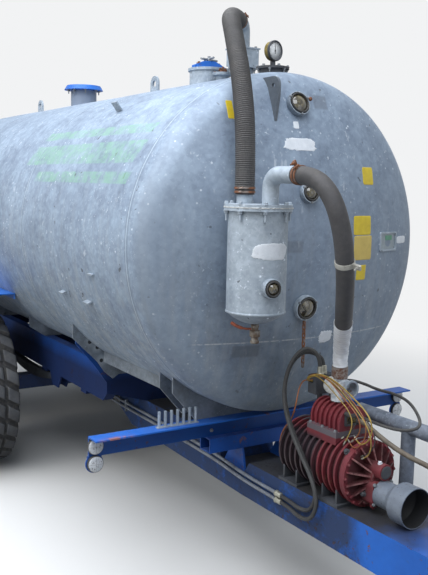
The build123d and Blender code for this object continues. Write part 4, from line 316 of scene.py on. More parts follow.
def rounded(profile, radius=0.002, steps=3):
    """Round the corners of a profile: each corner is swapped for a short curve that starts and ends
    at a small distance from it, bent towards the corner."""
    profile = np.array(profile, float)
    out = [profile[:1]]
    t = np.linspace(0, 1, steps + 1)[:, None]
    for before, corner, after in zip(profile[:-2], profile[1:-1], profile[2:]):
        ends = [corner + side * min(radius / max(np.linalg.norm(side), 1e-9), 0.45)
                for side in (before - corner, after - corner)]
        out.append((1 - t) ** 2 * ends[0] + 2 * t * (1 - t) * corner + t ** 2 * ends[1])
    out.append(profile[-1:])
    return np.concatenate(out)


# %% Tubes along a line
def distances(line):
    # how far along a line each of its points is
    return np.concatenate([[0], np.cumsum(np.linalg.norm(np.diff(line, axis=0), axis=1))])


def points_at(line, spots):
    # the points of a line at some distances along it
    length = distances(line)
    return np.stack([np.interp(spots, length, line[:, axis]) for axis in range(3)], axis=-1)


def carried_axes(line):
    """Axes that travel along a line without twisting: each step turns the last sideways axis just
    enough to stay square to the line."""
    along = np.gradient(line, axis=0)
    along /= np.linalg.norm(along, axis=1, keepdims=True)
    side = np.zeros_like(line)
    side[0] = axes_for(along[0])[0][0]
    for index in range(1, len(line)):
        moved = side[index - 1] - along[index] * (side[index - 1] @ along[index])
        side[index] = moved / np.linalg.norm(moved)
    return side, np.cross(along, side)


def tube(name, line, radius, sides, step):
    """Carry a circle along a line. radius is a function of the distance along the line and the angle
    round it. The UV map keeps both, in metres and in turns, so its seam has two columns of points,
    which are joined at the end."""
    whole = distances(line)[-1]
    spots = np.linspace(0, whole, max(2, int(round(whole / step)) + 1))
    line = points_at(line, spots)
    side, up = carried_axes(line)
    angle = np.linspace(0, 2 * np.pi, sides + 1)
    reach = radius(spots[:, None], angle[None, :])
    out = np.cos(angle)[None, :, None] * side[:, None, :] + np.sin(angle)[None, :, None] * up[:, None, :]
    grid = line[:, None, :] + reach[..., None] * out
    grid[:, -1] = grid[:, 0]
    uv = np.stack(np.broadcast_arrays(spots[:, None], angle[None, :] / (2 * np.pi)), axis=-1)
    piece = grid_piece(name, grid, caps=False, wrap_columns=False, uv=uv)
    mesh = bmesh.new()
    mesh.from_mesh(piece.data)
    mesh.verts.ensure_lookup_table()
    for start, way in ((0, -1), ((len(line) - 1) * (sides + 1), 1)):
        mesh.faces.new([mesh.verts[start + index] for index in range(sides)][::way])
    bmesh.ops.remove_doubles(mesh, verts=mesh.verts, dist=1e-7)
    mesh.to_mesh(piece.data)
    mesh.free()
    return piece


# %% One small shape in many places
def copies(name, shape, places, directions, turns=0.0, smooth=False):
    """Copy one small shape: its points are turned so that their height follows each direction, and
    moved to each place. All copies are one mesh."""
    base, faces = shape
    places = np.atleast_2d(np.asarray(places, float))
    axes = axes_for(np.broadcast_to(directions, places.shape))
    spin = np.broadcast_to(np.asarray(turns, float), (len(places),))
    cos, sin = np.cos(spin)[:, None], np.sin(spin)[:, None]
    u, v = cos * axes[:, 0] + sin * axes[:, 1], -sin * axes[:, 0] + cos * axes[:, 1]
    axes = np.stack([u, v, axes[:, 2]], axis=1)
    points = places[:, None, :] + np.einsum("pk,nkc->npc", base, axes)
    shift = np.arange(len(places))[:, None, None] * len(base)
    groups = [(np.asarray(group)[None] + shift).reshape(-1, np.shape(group)[1]) for group in faces]
    return mesh_piece(name, points, groups, smooth=smooth)


def turned_shape(profile, sides, hexed=None):
    """Points and faces of a small turned shape, for copies. Where hexed is set for a ring, the ring is
    a hexagon: its radius is the flat's distance over the cosine of the angle from the flat's middle."""
    profile = np.array(profile, float)
    angle = np.linspace(0, 2 * np.pi, sides, endpoint=False)
    radius = np.repeat(profile[:, 1:], sides, axis=1)
    if hexed is not None:
        from_flat = (angle + np.pi / 6) % (np.pi / 3) - np.pi / 6
        radius = np.where(np.array(hexed)[:, None], radius / np.cos(from_flat)[None, :], radius)
    height = np.repeat(profile[:, :1], sides, axis=1)
    grid = np.stack([radius * np.cos(angle), radius * np.sin(angle), height], axis=-1)
    return grid.reshape(-1, 3), [grid_faces(len(profile), sides), *end_caps(len(profile), sides)]


WASHER_TOP = 0.0024


def bolt_shape(size, stud, sunk):
    """A hexagon bolt: a round washer, a head with a small chamfer and, if asked, a stud end. size is
    half the distance across the flats, and sunk is how deep the washer goes under the surface."""
    profile = [(-sunk, size * 1.5), (0.0022, size * 1.5), (WASHER_TOP, size),
               (WASHER_TOP + size * 0.95, size), (WASHER_TOP + size * 1.15, size * 0.82)]
    hexed = [False, False, True, True, False]
    if stud:
        profile += [(WASHER_TOP + size * 1.17, size * 0.55), (stud, size * 0.55)]
        hexed += [False, False]
    return turned_shape(profile, 12, hexed)


# %% [markdown]
# ## Dressing a piece
# Every piece rides on a body, has a finish, and may stand in for solids of the frame.
# The two commonest kinds, turned pieces and sets of bolts, have a helper that does all of it.

# %% Wear, lathe and bolts
def wear(piece, material, slot, body="tanker", replaced=()):
    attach(piece, body)
    piece.data.materials.clear()
    piece.data.materials.append(material)
    if replaced:
        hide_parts(*replaced)
    return piece


def lathe(name, corners, bend, place, way, sides, material, slot, body="tanker", replaced=(), **more):
    # turn a profile whose corners are rounded by bend, and dress it
    profile = rounded(corners, bend) if bend else corners
    return wear(turned(name, profile, place, way, sides, **more), material, slot, body, replaced)


def bolts(name, places, ways, size, material, slot="bare_steel", body="tanker", stud=0.0, sunk=0.002):
    # hexagon bolts at places, each turned a little further than the last
    turns = np.arange(len(np.atleast_2d(places))) * 0.7
    return wear(copies(name, bolt_shape(size, stud, sunk), places, ways, turns), material, slot, body)


def bolt_ring(centre, radius, count, way=UP, start=0.0):
    # places on a circle about a direction
    u, v, _ = axes_for(way)[0]
    angle = start + np.arange(count) * 2 * np.pi / count
    return np.array(centre, float) + radius * (np.cos(angle)[:, None] * u + np.sin(angle)[:, None] * v)


print("helpers ready: grid, turned, tube, copies, lathe and bolts")

# %% [markdown]
# ## Writing shader maths as plain expressions
# A finish is mostly arithmetic on masks: dust where a surface looks up, rust near a bolt, a streak
# under a fitting. One small class wraps a node's output socket, so such arithmetic can be written
# as it would be on paper. Colours go through Mix nodes, because a Math node would turn them grey.

# %% A socket that can be added, multiplied and compared
class Value:
    def __init__(self, finish, socket):
        self.finish = finish
        self.socket = socket

    def maths(self, operation, *others, clamp=False):
        inputs = dict(enumerate((self, *others)))
        return self.finish.node("ShaderNodeMath", inputs, operation=operation, use_clamp=clamp)

    def __add__(self, other):
        return self.maths("ADD", other)

    def __sub__(self, other):
        return self.maths("SUBTRACT", other)

    def __mul__(self, other):
        return self.maths("MULTIPLY", other)

    def __rsub__(self, other):
        return (self * -1.0).maths("ADD", other)

    __radd__ = __add__

    def abs(self):
        return self.maths("ABSOLUTE")

    def sqrt(self):
        return self.maths("SQRT")

    def most(self, other):
        return self.maths("MAXIMUM", other)

    def clamped(self):
        return self.maths("ADD", 0.0, clamp=True)

    def rises(self, low, high):
        # 0 below low, 1 above high, straight between, and the other way round when low is larger
        return ((self - low) * (1.0 / (high - low))).clamped()

    def between(self, low, high, soft):
        # 1 inside a band, with soft edges
        return self.rises(low - soft, low + soft) * self.rises(high + soft, high - soft)


# %% One material under construction
CONSTANTS = {"coat_weight": "Coat Weight", "specular": "Specular IOR Level"}


class Finish:
    def __init__(self, name):
        self.material = bpy.data.materials.new(name)
        self.material.use_nodes = True
        self.tree = self.material.node_tree
        self.tree.nodes.clear()
        self.bsdf = self.tree.nodes.new("ShaderNodeBsdfPrincipled")
        self.out = self.tree.nodes.new("ShaderNodeOutputMaterial")
        self.tree.links.new(self.bsdf.outputs["BSDF"], self.out.inputs["Surface"])
        coordinates = self.tree.nodes.new("ShaderNodeTexCoord")
        geometry = self.tree.nodes.new("ShaderNodeNewGeometry")
        self.place = Value(self, coordinates.outputs["Object"])
        self.uv = Value(self, coordinates.outputs["UV"])
        self.x, self.y, self.z = self.parts(self.place)
        self.facing_x, self.facing_y, self.facing_up = self.parts(Value(self, geometry.outputs["Normal"]))

    def give(self, socket, value):
        # link a value to a socket, or set the socket to a number, a vector or a colour
        if isinstance(value, Value):
            self.tree.links.new(value.socket, socket)
        elif isinstance(value, tuple) and socket.type == "RGBA":
            socket.default_value = (*value, 1.0)
        else:
            socket.default_value = value

    def node(self, kind, inputs, out=0, **settings):
        # a node of a kind: its settings are set first, then its inputs are linked or set
        node = self.tree.nodes.new(kind)
        for name, value in settings.items():
            setattr(node, name, value)
        for name, value in inputs.items():
            self.give(node.inputs[name], value)
        return node if out is None else Value(self, node.outputs[out])

    def parts(self, vector):
        # the three numbers of a vector
        split = self.node("ShaderNodeSeparateXYZ", {0: vector}, out=None)
        return [Value(self, split.outputs[axis]) for axis in "XYZ"]

    def noise(self, scale, detail=3.0, roughness=0.55, stretch=(1, 1, 1), lift=0.0, warp=0.0):
        # cloudy noise from 0 to 1, with its grain stretched along the axes if asked
        placing = {"Scale": tuple(scale / part for part in stretch), "Location": (lift, 0, 0)}
        spot = self.node("ShaderNodeMapping", {"Vector": self.place, **placing})
        inputs = {"Vector": spot, "Scale": 1.0, "Detail": detail, "Roughness": roughness, "Distortion": warp}
        return self.node("ShaderNodeTexNoise", inputs)

    def cells(self, scale, out="Distance"):
        # distance to the nearest of many scattered points, or that point's own random colour
        spot = self.node("ShaderNodeMapping", {"Vector": self.place, "Scale": (scale,) * 3})
        return self.node("ShaderNodeTexVoronoi", {"Vector": spot, "Scale": 1.0}, out=out)

    def chance(self, scale):
        # a random number that each cell has
        return self.node("ShaderNodeSeparateColor", {0: self.cells(scale, out="Color")})

    def mix(self, amount, first, second):
        # a colour between two colours
        return self.node("ShaderNodeMix", {0: amount, 6: first, 7: second}, out=2, data_type="RGBA")

    def near(self, centre, radius, soft, squash=(1, 1, 1), ragged=0.0, grain=40.0):
        """1 within a radius of a place and 0 outside, with a soft and ragged edge: the distance is
        the length of the offset, each axis divided by its squash, plus some noise."""
        kind = "ShaderNodeVectorMath"
        offset = self.node(kind, {0: self.place, 1: tuple(centre)}, operation="SUBTRACT")
        scaled = self.node(kind, {0: offset, 1: tuple(squash)}, operation="DIVIDE")
        distance = self.node(kind, {0: scaled}, out="Value", operation="LENGTH")
        if ragged:
            distance = distance + (self.noise(grain, 3.0) - 0.5) * ragged
        return distance.rises(radius + soft, radius - soft)

    def bump(self, height, distance, strength=1.0):
        return self.node("ShaderNodeBump", {"Height": height, "Distance": distance, "Strength": strength})

    def finish(self, colour, roughness, normal=None, metallic=0.0, **constants):
        # link or set the shader's inputs, and give the material back
        inputs = {"Base Color": colour, "Roughness": roughness, "Metallic": metallic}
        if normal is not None:
            inputs["Normal"] = normal
        inputs.update({CONSTANTS[name]: value for name, value in constants.items()})
        for name, value in inputs.items():
            self.give(self.bsdf.inputs[name], value)
        return self.material


def rgb(code):
    # a colour picked as it looks on a screen, turned into the linear numbers that light uses
    parts = np.array([int(code[i:i + 2], 16) / 255 for i in (0, 2, 4)])
    linear = np.where(parts <= 0.04045, parts / 12.92, ((parts + 0.055) / 1.055) ** 2.4)
    return tuple(float(part) for part in linear)


print("a mid grey of 808080 is", [round(part, 3) for part in rgb("808080")], "in linear light")

# %% [markdown]
# ## Galvanised steel
# Hot zinc cools into patches of slightly different grey, called spangle. Years outdoors add pale
# specks, darker clouds and streaks that rain draws down the sides. The cells of a Voronoi pattern
# give the spangle, thresholded noise gives the specks, and noise squeezed sideways gives streaks.

# %% Zinc
def zinc(name, dark, light, spangle=60.0, specks=1.0, streaks=0.0, grime=0.0, rough=0.58, extra=None):
    f = Finish(name)
    cloud = f.noise(1.7, 4.0, 0.6)
    mottle = f.noise(9.5, 5.0, 0.7, lift=3.0)
    fine = f.noise(27.0, 4.0, 0.65)
    grain = f.chance(spangle)
    amount = (cloud * 1.3 + mottle * 1.3 + fine * 0.7 + grain * 0.25 - 1.27).clamped()
    colour = f.mix(amount, rgb(dark), rgb(light))
    # white salts in small round spots, more of them in some places than in others
    spot = f.cells(30.0).rises(0.20, 0.10) * f.chance(30.0).rises(0.60, 0.72)
    spot = spot * f.noise(3.6, 3.0, 0.6).rises(0.44, 0.60)
    speck = f.noise(58.0, 5.0, 0.75, warp=0.3).rises(0.60, 0.68) * f.noise(5.5, 3.0, 0.6).rises(0.42, 0.60)
    colour = f.mix((spot + speck).clamped() * (0.85 * specks), colour, rgb("e3ecf6"))
    drip = f.noise(26.0, 3.0, 0.6, stretch=(1.4, 1, 2.4)).rises(0.64, 0.71)
    drip = drip * f.noise(3.1, 2.0).rises(0.46, 0.62)
    colour = f.mix(drip * (0.55 * specks), colour, rgb("d3dce6"))
    if streaks:
        line = f.noise(16.0, 4.0, 0.7, stretch=(1, 1, 16)).rises(0.46, 0.66)
        low = f.z.rises(AXIS_Z + 0.45, AXIS_Z - 0.75)
        colour = f.mix(line * low * streaks, colour, rgb("c3c4bd"))
        line = f.noise(11.0, 4.0, 0.7, stretch=(1, 1, 14), lift=4.0).rises(0.50, 0.68)
        colour = f.mix(line * low * (streaks * 0.8), colour, rgb("6c726f"))
    pits = f.noise(21.0, 2.0, 0.5, lift=9.0).rises(0.725, 0.75)
    colour = f.mix(pits * 0.75, colour, rgb("3c4044"))
    if grime:
        soil = f.noise(9.0, 5.0, 0.7, lift=2.0).rises(0.5 - grime * 0.25, 0.78)
        colour = f.mix(soil * grime, colour, rgb("5d5a53"))
    normal = f.bump(fine * 0.5 + grain * 0.5 + speck, 0.0006, 0.55)
    roughness = fine * 0.2 + speck * 0.2 + (rough - 0.08)
    if extra:
        colour, roughness = extra(f, colour, roughness)
    return f.finish(colour, roughness, normal, metallic=0.2)


# %% [markdown]
# ## Paint on steel
# Machine paint fades and gathers dust where it looks up, soil where the wheels throw it, and rust
# where it has chipped. The upward part of the surface's direction finds the dusty places, and
# the chips are islands in noise with a dark rim of rust.

# %% Paint
def paint(name, colour, shade, dust="8d8f8e", dusty=0.5, chips=0.5, soil=0.35, rough=0.42, extra=None):
    f = Finish(name)
    patchy = f.noise(3.2, 4.0, 0.6)
    fine = f.noise(38.0, 5.0, 0.7)
    base = f.mix(patchy.rises(0.3, 0.72), rgb(shade), rgb(colour))
    base = f.mix(fine * 0.05, base, rgb("9fb0c8"))
    lying = (f.facing_up.rises(0.2, 0.95) * f.noise(7.0, 5.0, 0.7).rises(0.32, 0.72) * dusty).clamped()
    base = f.mix(lying, base, rgb(dust))
    spots = f.noise(24.0, 5.0, 0.75, lift=5.0).rises(0.58, 0.72) * soil
    base = f.mix(spots, base, rgb("4c4840"))
    island = f.noise(31.0, 4.0, 0.65, lift=3.0) + f.noise(4.0, 2.0, 0.5, lift=7.0) * 0.5
    rim = island.rises(0.905, 0.925) * chips
    heart = island.rises(0.935, 0.95) * chips
    base = f.mix(rim.clamped(), base, rgb("5b3a2a"))
    base = f.mix(heart.clamped(), base, rgb("7c5c49"))
    normal = f.bump(fine * 0.35 - rim * 0.8, 0.0008, 0.5)
    roughness = rough + lying * 0.35 + spots * 0.3 + rim * 0.3 + fine * 0.1
    if extra:
        base, roughness = extra(f, base, roughness)
    return f.finish(base, roughness, normal, specular=0.3)


# %% [markdown]
# ## Rubber, rust, cast metal and plastic
# Rubber is nearly black but never looks it outdoors: dust gathers in its grooves. Rust is two
# browns in clouds with a coarse bump. Each is a few lines from the same noises.

# %% Rubber
def rubber(name, dark, light, dust="77736a", dusty=0.4, grain=90.0, rough=0.68, extra=None):
    f = Finish(name)
    fine = f.noise(grain, 4.0, 0.7)
    colour = f.mix(f.noise(8.0, 4.0, 0.6).rises(0.3, 0.7), rgb(dark), rgb(light))
    soil = f.noise(17.0, 5.0, 0.7, lift=3.0).rises(0.45, 0.75) * dusty
    soil = soil + f.facing_up.rises(0.2, 1.0) * (dusty * 0.4)
    colour = f.mix(soil.clamped(), colour, rgb(dust))
    normal = f.bump(fine, 0.0008, 0.4)
    roughness = rough + soil * 0.2 - fine * 0.1
    if extra:
        colour, roughness = extra(f, colour, roughness)
    return f.finish(colour, roughness, normal)


# %% Rust and worn steel
def rusty(name, dark="4a2f22", light="8a5a3c", steel=0.0, rough=0.75):
    f = Finish(name)
    cloud = f.noise(34.0, 5.0, 0.7)
    colour = f.mix(cloud.rises(0.3, 0.7), rgb(dark), rgb(light))
    bare = f.noise(18.0, 4.0, 0.65, lift=6.0).rises(0.62 - steel * 0.3, 0.7 - steel * 0.2)
    colour = f.mix(bare * min(1.0, steel + 0.3), colour, rgb("8b8a86"))
    normal = f.bump(cloud + f.noise(150.0, 3.0) * 0.5, 0.0009, 0.7)
    return f.finish(colour, rough - bare * 0.3, normal, metallic=bare * 0.6)


# %% Cast and machined metal
def metal(name, dark, light, metallic=0.5, rough=0.5, soil=0.3, grain=60.0):
    f = Finish(name)
    fine = f.noise(grain, 5.0, 0.7)
    colour = f.mix(f.noise(12.0, 4.0, 0.6).rises(0.3, 0.7), rgb(dark), rgb(light))
    spots = f.noise(22.0, 5.0, 0.7, lift=8.0).rises(0.52, 0.72) * soil
    colour = f.mix(spots, colour, rgb("45403a"))
    return f.finish(colour, rough + fine * 0.15 + spots * 0.3, f.bump(fine, 0.0006, 0.5), metallic=metallic)


# %% A plain coloured plastic, lens or label
def plastic(name, colour, shade, rough=0.4, soil=0.25, grain=30.0, coat=0.0, extra=None):
    f = Finish(name)
    base = f.mix(f.noise(grain, 4.0, 0.65).rises(0.3, 0.75), rgb(colour), rgb(shade))
    spots = f.noise(grain * 1.7, 5.0, 0.75, lift=2.0).rises(0.55, 0.7) * soil
    base = f.mix(spots, base, rgb("5a564e"))
    roughness = rough + spots * 0.4
    normal = f.bump(f.noise(grain * 3.0, 3.0), 0.0004, 0.3)
    if extra:
        base, roughness = extra(f, base, roughness)
    return f.finish(base, roughness, normal, coat_weight=coat)


print("finish makers ready: zinc, paint, rubber, rusty, metal, plastic")

# %% [markdown]
# ## The machine's own paints
# The blue, red and grey parts share a few finishes. Each call names its two shades and how much dust,
# soil and chipping it has, and some add a function of their own for dirt, painted shade or painted
# light in a known place. The places come first: a pair is where a mark starts and where it is full,
# and a band also has its softness.

# %% Places of marks, in metres in the frame
UNDER_TANK_X, UNDER_TANK_Z = (1.30, 0.75), (0.99, 0.90)
BAR_EDGE_X, BAR_END_Y, BAR_LEG_X = (1.555, 1.585), (-1.02, -0.86, 0.03), (1.56, 1.54)
FINS_REACH, FINS_X, FINS_Z = (0.158, 0.140), (2.50, 2.42), (1.01, 0.99)
BARREL_X, COLLAR_Z, COVER_RIBS_X = (2.375, 2.365), (0.992, 1.021, 0.002), (2.401, 2.47, 0.002)
BEHIND_PUMP_X, BEHIND_PUMP_Z, OILY_Z = (2.225, 2.170), (0.985, 0.955), (0.90, 0.72)
DECK_WORN_X, DECK_GREASY_X, SPILL_AT = (2.70, 2.56), (2.95, 2.75), (2.35, -0.05, 0.68)
LUG_PLATE_X, LUG_PLATE_Z = (SEAM_X + 0.12, SEAM_X + 0.14), (2.30, 2.32)
CLAMP_BARE_Z, RELIEF_NECK_Z = (2.8915, 2.8925), (2.874, 2.872)
LOW_ELBOW_Z, WHITE_PAINT_X, STAIN_X = (1.45, 1.40), (2.235, 2.20), (2.16, 2.20)
BRACKET_X = SEAM_X - 1.100
BRACKET_HOLES = [(-0.600, AXIS_Z - 0.679), (-0.548, AXIS_Z - 0.717), (-0.520, AXIS_Z - 0.804)]
# across and height of a line that runs ahead
SHAFT_LINE, PUMP_LINE = (-0.035, 0.780), (-0.035, 0.844)
print("bracket holes", len(BRACKET_HOLES))

# %% Simple finishes
def in_shade(f, colour, roughness):
    # painted shade: the frame under the tank is painted dark navy, standing in for the tank's shadow
    under = (f.x + f.noise(3.0, 4.0, 0.6) * 0.5).rises(*UNDER_TANK_X) * f.z.rises(*UNDER_TANK_Z)
    colour = f.mix(under * 0.82, colour, rgb("081230"))
    return colour, roughness + under * 0.3


def bar_wear_and_shade(f, colour, roughness):
    # rust shows through along the front edge near the right end, and the upright leg's forward face is
    # painted dark navy, painted shade under the overhanging top
    edge = f.x.rises(*BAR_EDGE_X) * f.y.between(*BAR_END_Y)
    edge = edge * f.noise(30.0, 5.0, 0.75).rises(0.46, 0.54)
    colour = f.mix(edge * 0.85, colour, rgb("a06a4d"))
    leg = f.facing_x.rises(0.5, 0.9) * f.x.rises(*BAR_LEG_X)
    colour = f.mix(leg * 0.55, colour, rgb("0a2450"))
    return colour, roughness


chassis_paint = paint("chassis blue", "0f52ac", "0a3a80", dusty=0.25, chips=0.4, extra=in_shade)
dark_paint = paint("dark blue", "123266", "0a1f44", dusty=0.4, chips=0.4, soil=0.5)
# the bar's blue is brighter than the chassis's blue: painted light on the bar's top
bar_paint = paint("light bar blue", "1566c8", "0f55ac", dusty=0.10, chips=0.5, soil=0.15, extra=bar_wear_and_shade)
fender_paint = paint("fender blue", "2877d4", "1c62bb", dusty=0.12, chips=0.3, soil=0.1)
rim_paint = paint("rim paint", "c9c6b6", "a9a796", dust="8a8474", dusty=0.3, chips=0.3, soil=0.4)
lamp_red = plastic("red lamp", "a3161b", "7d1014", rough=0.22, soil=0.15, coat=0.6)
pipe_zinc = zinc("pipe zinc", "4f5763", "8b95a4", spangle=46.0, specks=0.5, grime=0.35, rough=0.62)
steel_pipes = metal("small pipes", "6c727b", "8e959e", metallic=0.3, rough=0.55, soil=0.6)



def guard_inside_shade(f, colour, roughness):
    # painted shade: the inside of the guard, found where the surface looks at the shaft's line, is painted
    # nearly black
    look = (f.y - SHAFT_LINE[0]) * f.facing_y + (f.z - SHAFT_LINE[1]) * f.facing_up
    inside = look.rises(0.0, -0.02)
    colour = f.mix(inside * 0.97, colour, rgb("0c0c0e"))
    scrape = f.noise(60.0, 4.0, 0.7, lift=3.0).rises(0.60, 0.66) * (1.0 - inside)
    colour = f.mix(scrape * 0.7, colour, rgb("2a2c30"))
    return colour, roughness + inside * 0.2


guard_grey = plastic("guard plastic", "6e7783", "59616d", rough=0.5, soil=0.4, grain=16.0, extra=guard_inside_shade)


def pump_grime_and_shade(f, colour, roughness):
    # painted shade deep between the lower fins, found by the distance from the pump's axis and the height
    across, up = f.y - PUMP_LINE[0], f.z - PUMP_LINE[1]
    reach = (across * across + up * up).sqrt()
    cloud = f.noise(26.0, 5.0, 0.7, lift=1.0) * 0.02
    barrel = f.x.rises(*BARREL_X)
    deep = (reach + cloud).rises(*FINS_REACH) * f.x.rises(*FINS_X) * f.z.rises(*FINS_Z)
    colour = f.mix(deep * 0.70, colour, rgb("241b1b"))
    behind = (f.x + f.noise(9.0, 4.0) * 0.05).rises(*BEHIND_PUMP_X) * f.z.rises(*BEHIND_PUMP_Z)
    colour = f.mix(behind * 0.88, colour, rgb("2e3035"))
    oily = f.noise(13.0, 5.0, 0.7, lift=4.0).rises(0.50, 0.70) * f.z.rises(*OILY_Z)
    colour = f.mix(oily * 0.5, colour, rgb("3f2423"))
    collar = f.z.between(*COLLAR_Z) * barrel
    colour = f.mix(collar * 0.85, colour, rgb("5d6066"))
    # the ribs of the end cover are rubbed pale along their front edges
    rubbed = f.facing_x.rises(0.75, 0.95) * f.x.between(*COVER_RIBS_X)
    rubbed = rubbed * f.noise(35.0, 4.0, 0.7).rises(0.35, 0.6)
    colour = f.mix(rubbed * 0.55, colour, rgb("b98a88"))
    return colour, roughness - oily * 0.1


pump_paint = paint("pump red", "80282f", "5e1d23", dust="85615e", dusty=0.22, chips=0.35, soil=0.4, rough=0.5,
                   extra=pump_grime_and_shade)


def deck_dirt(f, colour, roughness):
    # the drawbar: soil and oil on top and behind, clean bright paint only near the eye
    edge = f.noise(4.5, 5.0, 0.65) * 0.3
    top = f.facing_up.rises(0.5, 0.9)
    worn = (f.x + edge).rises(*DECK_WORN_X)
    colour = f.mix(worn * f.noise(8.0, 6.0, 0.75).rises(0.22, 0.50) * 0.85, colour, rgb("29303d"))
    greasy = (f.x + edge).rises(*DECK_GREASY_X) * f.noise(5.0, 5.0, 0.7, lift=3.0).rises(0.20, 0.48)
    colour = f.mix(top * greasy * 0.95, colour, rgb("37393d"))
    spill = f.near(SPILL_AT, 0.42, 0.16, squash=(1.4, 0.7, 1.0), ragged=0.3, grain=9.0)
    colour = f.mix(spill * top * 0.7, colour, rgb("2b2928"))
    return colour, roughness + worn * 0.25


drawbar_paint = paint("drawbar blue", "1263c4", "0c4fa4", dusty=0.15, chips=0.7, soil=0.3, extra=deck_dirt)


def lug_dark(f, colour, roughness):
    # the drop-shaped plate on the head is older, darker steel than the zinc round it
    plate = f.x.rises(*LUG_PLATE_X) * f.z.rises(*LUG_PLATE_Z)
    return f.mix(plate * 0.72, colour, rgb("3d434b")), roughness


def bracket_marks_and_shade(f, colour, roughness):
    # three bolt holes painted as dark discs, painted shade where the holes are, with pale zinc runs round
    # them on the bracket, and soil on the low plates
    for y, z in BRACKET_HOLES:
        ring = f.near((BRACKET_X, y, z), 0.030, 0.012, ragged=0.01, grain=60.0)
        colour = f.mix(ring * 0.5, colour, rgb("b9c3cd"))
        colour = f.mix(f.near((BRACKET_X, y, z), 0.0125, 0.002), colour, rgb("101113"))
    colour = f.mix(f.noise(12.0, 5.0, 0.7, lift=5.0).rises(0.42, 0.7) * 0.45, colour, rgb("565c63"))
    return colour, roughness


def clamp_steel(f, colour, roughness):
    # the lid's clamp is blue, but its screw and handle are bare
    bare = f.z.rises(*CLAMP_BARE_Z)
    return f.mix(bare, colour, rgb("858a90")), roughness


def relief_neck(f, colour, roughness):
    # only the cap is painted, and its neck is as grey as the tank
    neck = f.z.rises(*RELIEF_NECK_Z)
    return f.mix(neck * 0.95, colour, rgb("7d8896")), roughness


def port_marks(f, colour, roughness):
    # the lower elbow by the pump has white paint and rust on it, the upper one is plain
    low = f.z.rises(*LOW_ELBOW_Z)
    white = f.noise(18.0, 4.0, 0.7, lift=2.0).rises(0.36, 0.50) * f.x.rises(*WHITE_PAINT_X)
    colour = f.mix(low * white * 0.8, colour, rgb("dfe4e9"))
    stain = f.noise(24.0, 5.0, 0.7, lift=6.0).rises(0.50, 0.60) * f.x.rises(*STAIN_X)
    colour = f.mix(low * stain * 0.8, colour, rgb("7a4a30"))
    return colour, roughness


lug_zinc = zinc("lug zinc", "7c8894", "adb9c4", grime=0.2, extra=lug_dark)
saddle_zinc = zinc("saddle zinc", "66707b", "95a0ac", spangle=50.0, specks=0.8, grime=0.35,
                   extra=bracket_marks_and_shade)
elbow_zinc = zinc("elbow zinc", "7c8894", "adb9c4", grime=0.2, extra=port_marks)
clamp_paint = paint("clamp blue", "2470cc", "1a56a8", dusty=0.1, chips=0.3, soil=0.1, extra=clamp_steel)
cap_paint = paint("relief blue", "2470cc", "1a56a8", dusty=0.1, chips=0.3, soil=0.1, extra=relief_neck)


def tread_dust_and_shade(f, colour, roughness):
    # painted shade: the grooves between the lugs are nearly black, the lugs' tops keep the rubber's grey, and
    # dust lies over both in clouds
    lug = f.parts(f.uv)[0]
    colour = f.mix(lug.rises(0.75, 0.98), f.mix(0.75, colour, rgb("0d0d0e")), colour)
    colour = f.mix(f.noise(30.0, 5.0, 0.7, lift=2.0).rises(0.5, 0.75) * 0.3, colour, rgb("6f6a60"))
    return colour, roughness


tyre_rubber = rubber("tyre rubber", "3a3c40", "55585d", dust="75736d", dusty=0.25, grain=45.0, rough=0.75,
                     extra=tread_dust_and_shade)

# %% [markdown]
# ## The tank
# The tank is three rolled rings of plate with a dished head welded on each end. It could be a
# cylinder with scaled spheres, but a real dished head is a shallow crown that turns into a tight
# knuckle. So the profile is worked out as arcs, and turned once about the axis. The welds are a
# low ridge in the radius, with the fine ripple that a welder's beads leave.

# %% Profile of a dished head and the shell
SHELL_LEN = 4.5
STRAKE_LEN = 1.5
WELD_H = 0.0035
WELD_HALF_W = 0.007
TANK_SIDES = 336


def head_profile(count_knuckle=18, count_crown=60):
    """From the seam outwards: a short flange, the knuckle as an arc about its own centre, then the
    crown as an arc about a centre on the axis. Pairs of (distance ahead of the seam, radius)."""
    turn = np.linspace(0, np.pi / 2 - HEAD_ANGLE, count_knuckle)
    knuckle = np.stack([HEAD_FLANGE + KNUCKLE_R * np.sin(turn), TANK_R - KNUCKLE_R * (1 - np.cos(turn))],
                       axis=1)
    fall = np.linspace(HEAD_ANGLE, 0, count_crown)[1:]
    crown = np.stack([CROWN_C + CROWN_R * np.cos(fall), CROWN_R * np.sin(fall)], axis=1)
    crown[-1, 1] = TIP
    return np.concatenate([knuckle, crown])


def crown_x(y, up):
    # how far ahead the front head's crown is, at a place across and above the axis
    return SEAM_X + CROWN_C + np.sqrt(CROWN_R ** 2 - np.square(y) - np.square(up))


head = head_profile()
seams = np.array([0.0, -STRAKE_LEN, -2 * STRAKE_LEN, -SHELL_LEN])
bead = np.linspace(-WELD_HALF_W * 1.6, WELD_HALF_W * 1.6, 13)
plain = np.linspace(0, -SHELL_LEN, 91)
along = np.sort(np.unique(np.round(np.concatenate([plain, (seams[:, None] + bead).ravel()]), 5)))
along = along[(along > -SHELL_LEN - 0.03) & (along < 0.03)]
front = head[head[:, 0] > along.max() + 0.002]
rear = head[::-1] * [-1, 1] - [SHELL_LEN, 0]
rear = rear[rear[:, 0] < along.min() - 0.002]
profile = np.concatenate([rear, np.stack([along, np.full(len(along), TANK_R)], axis=1), front])


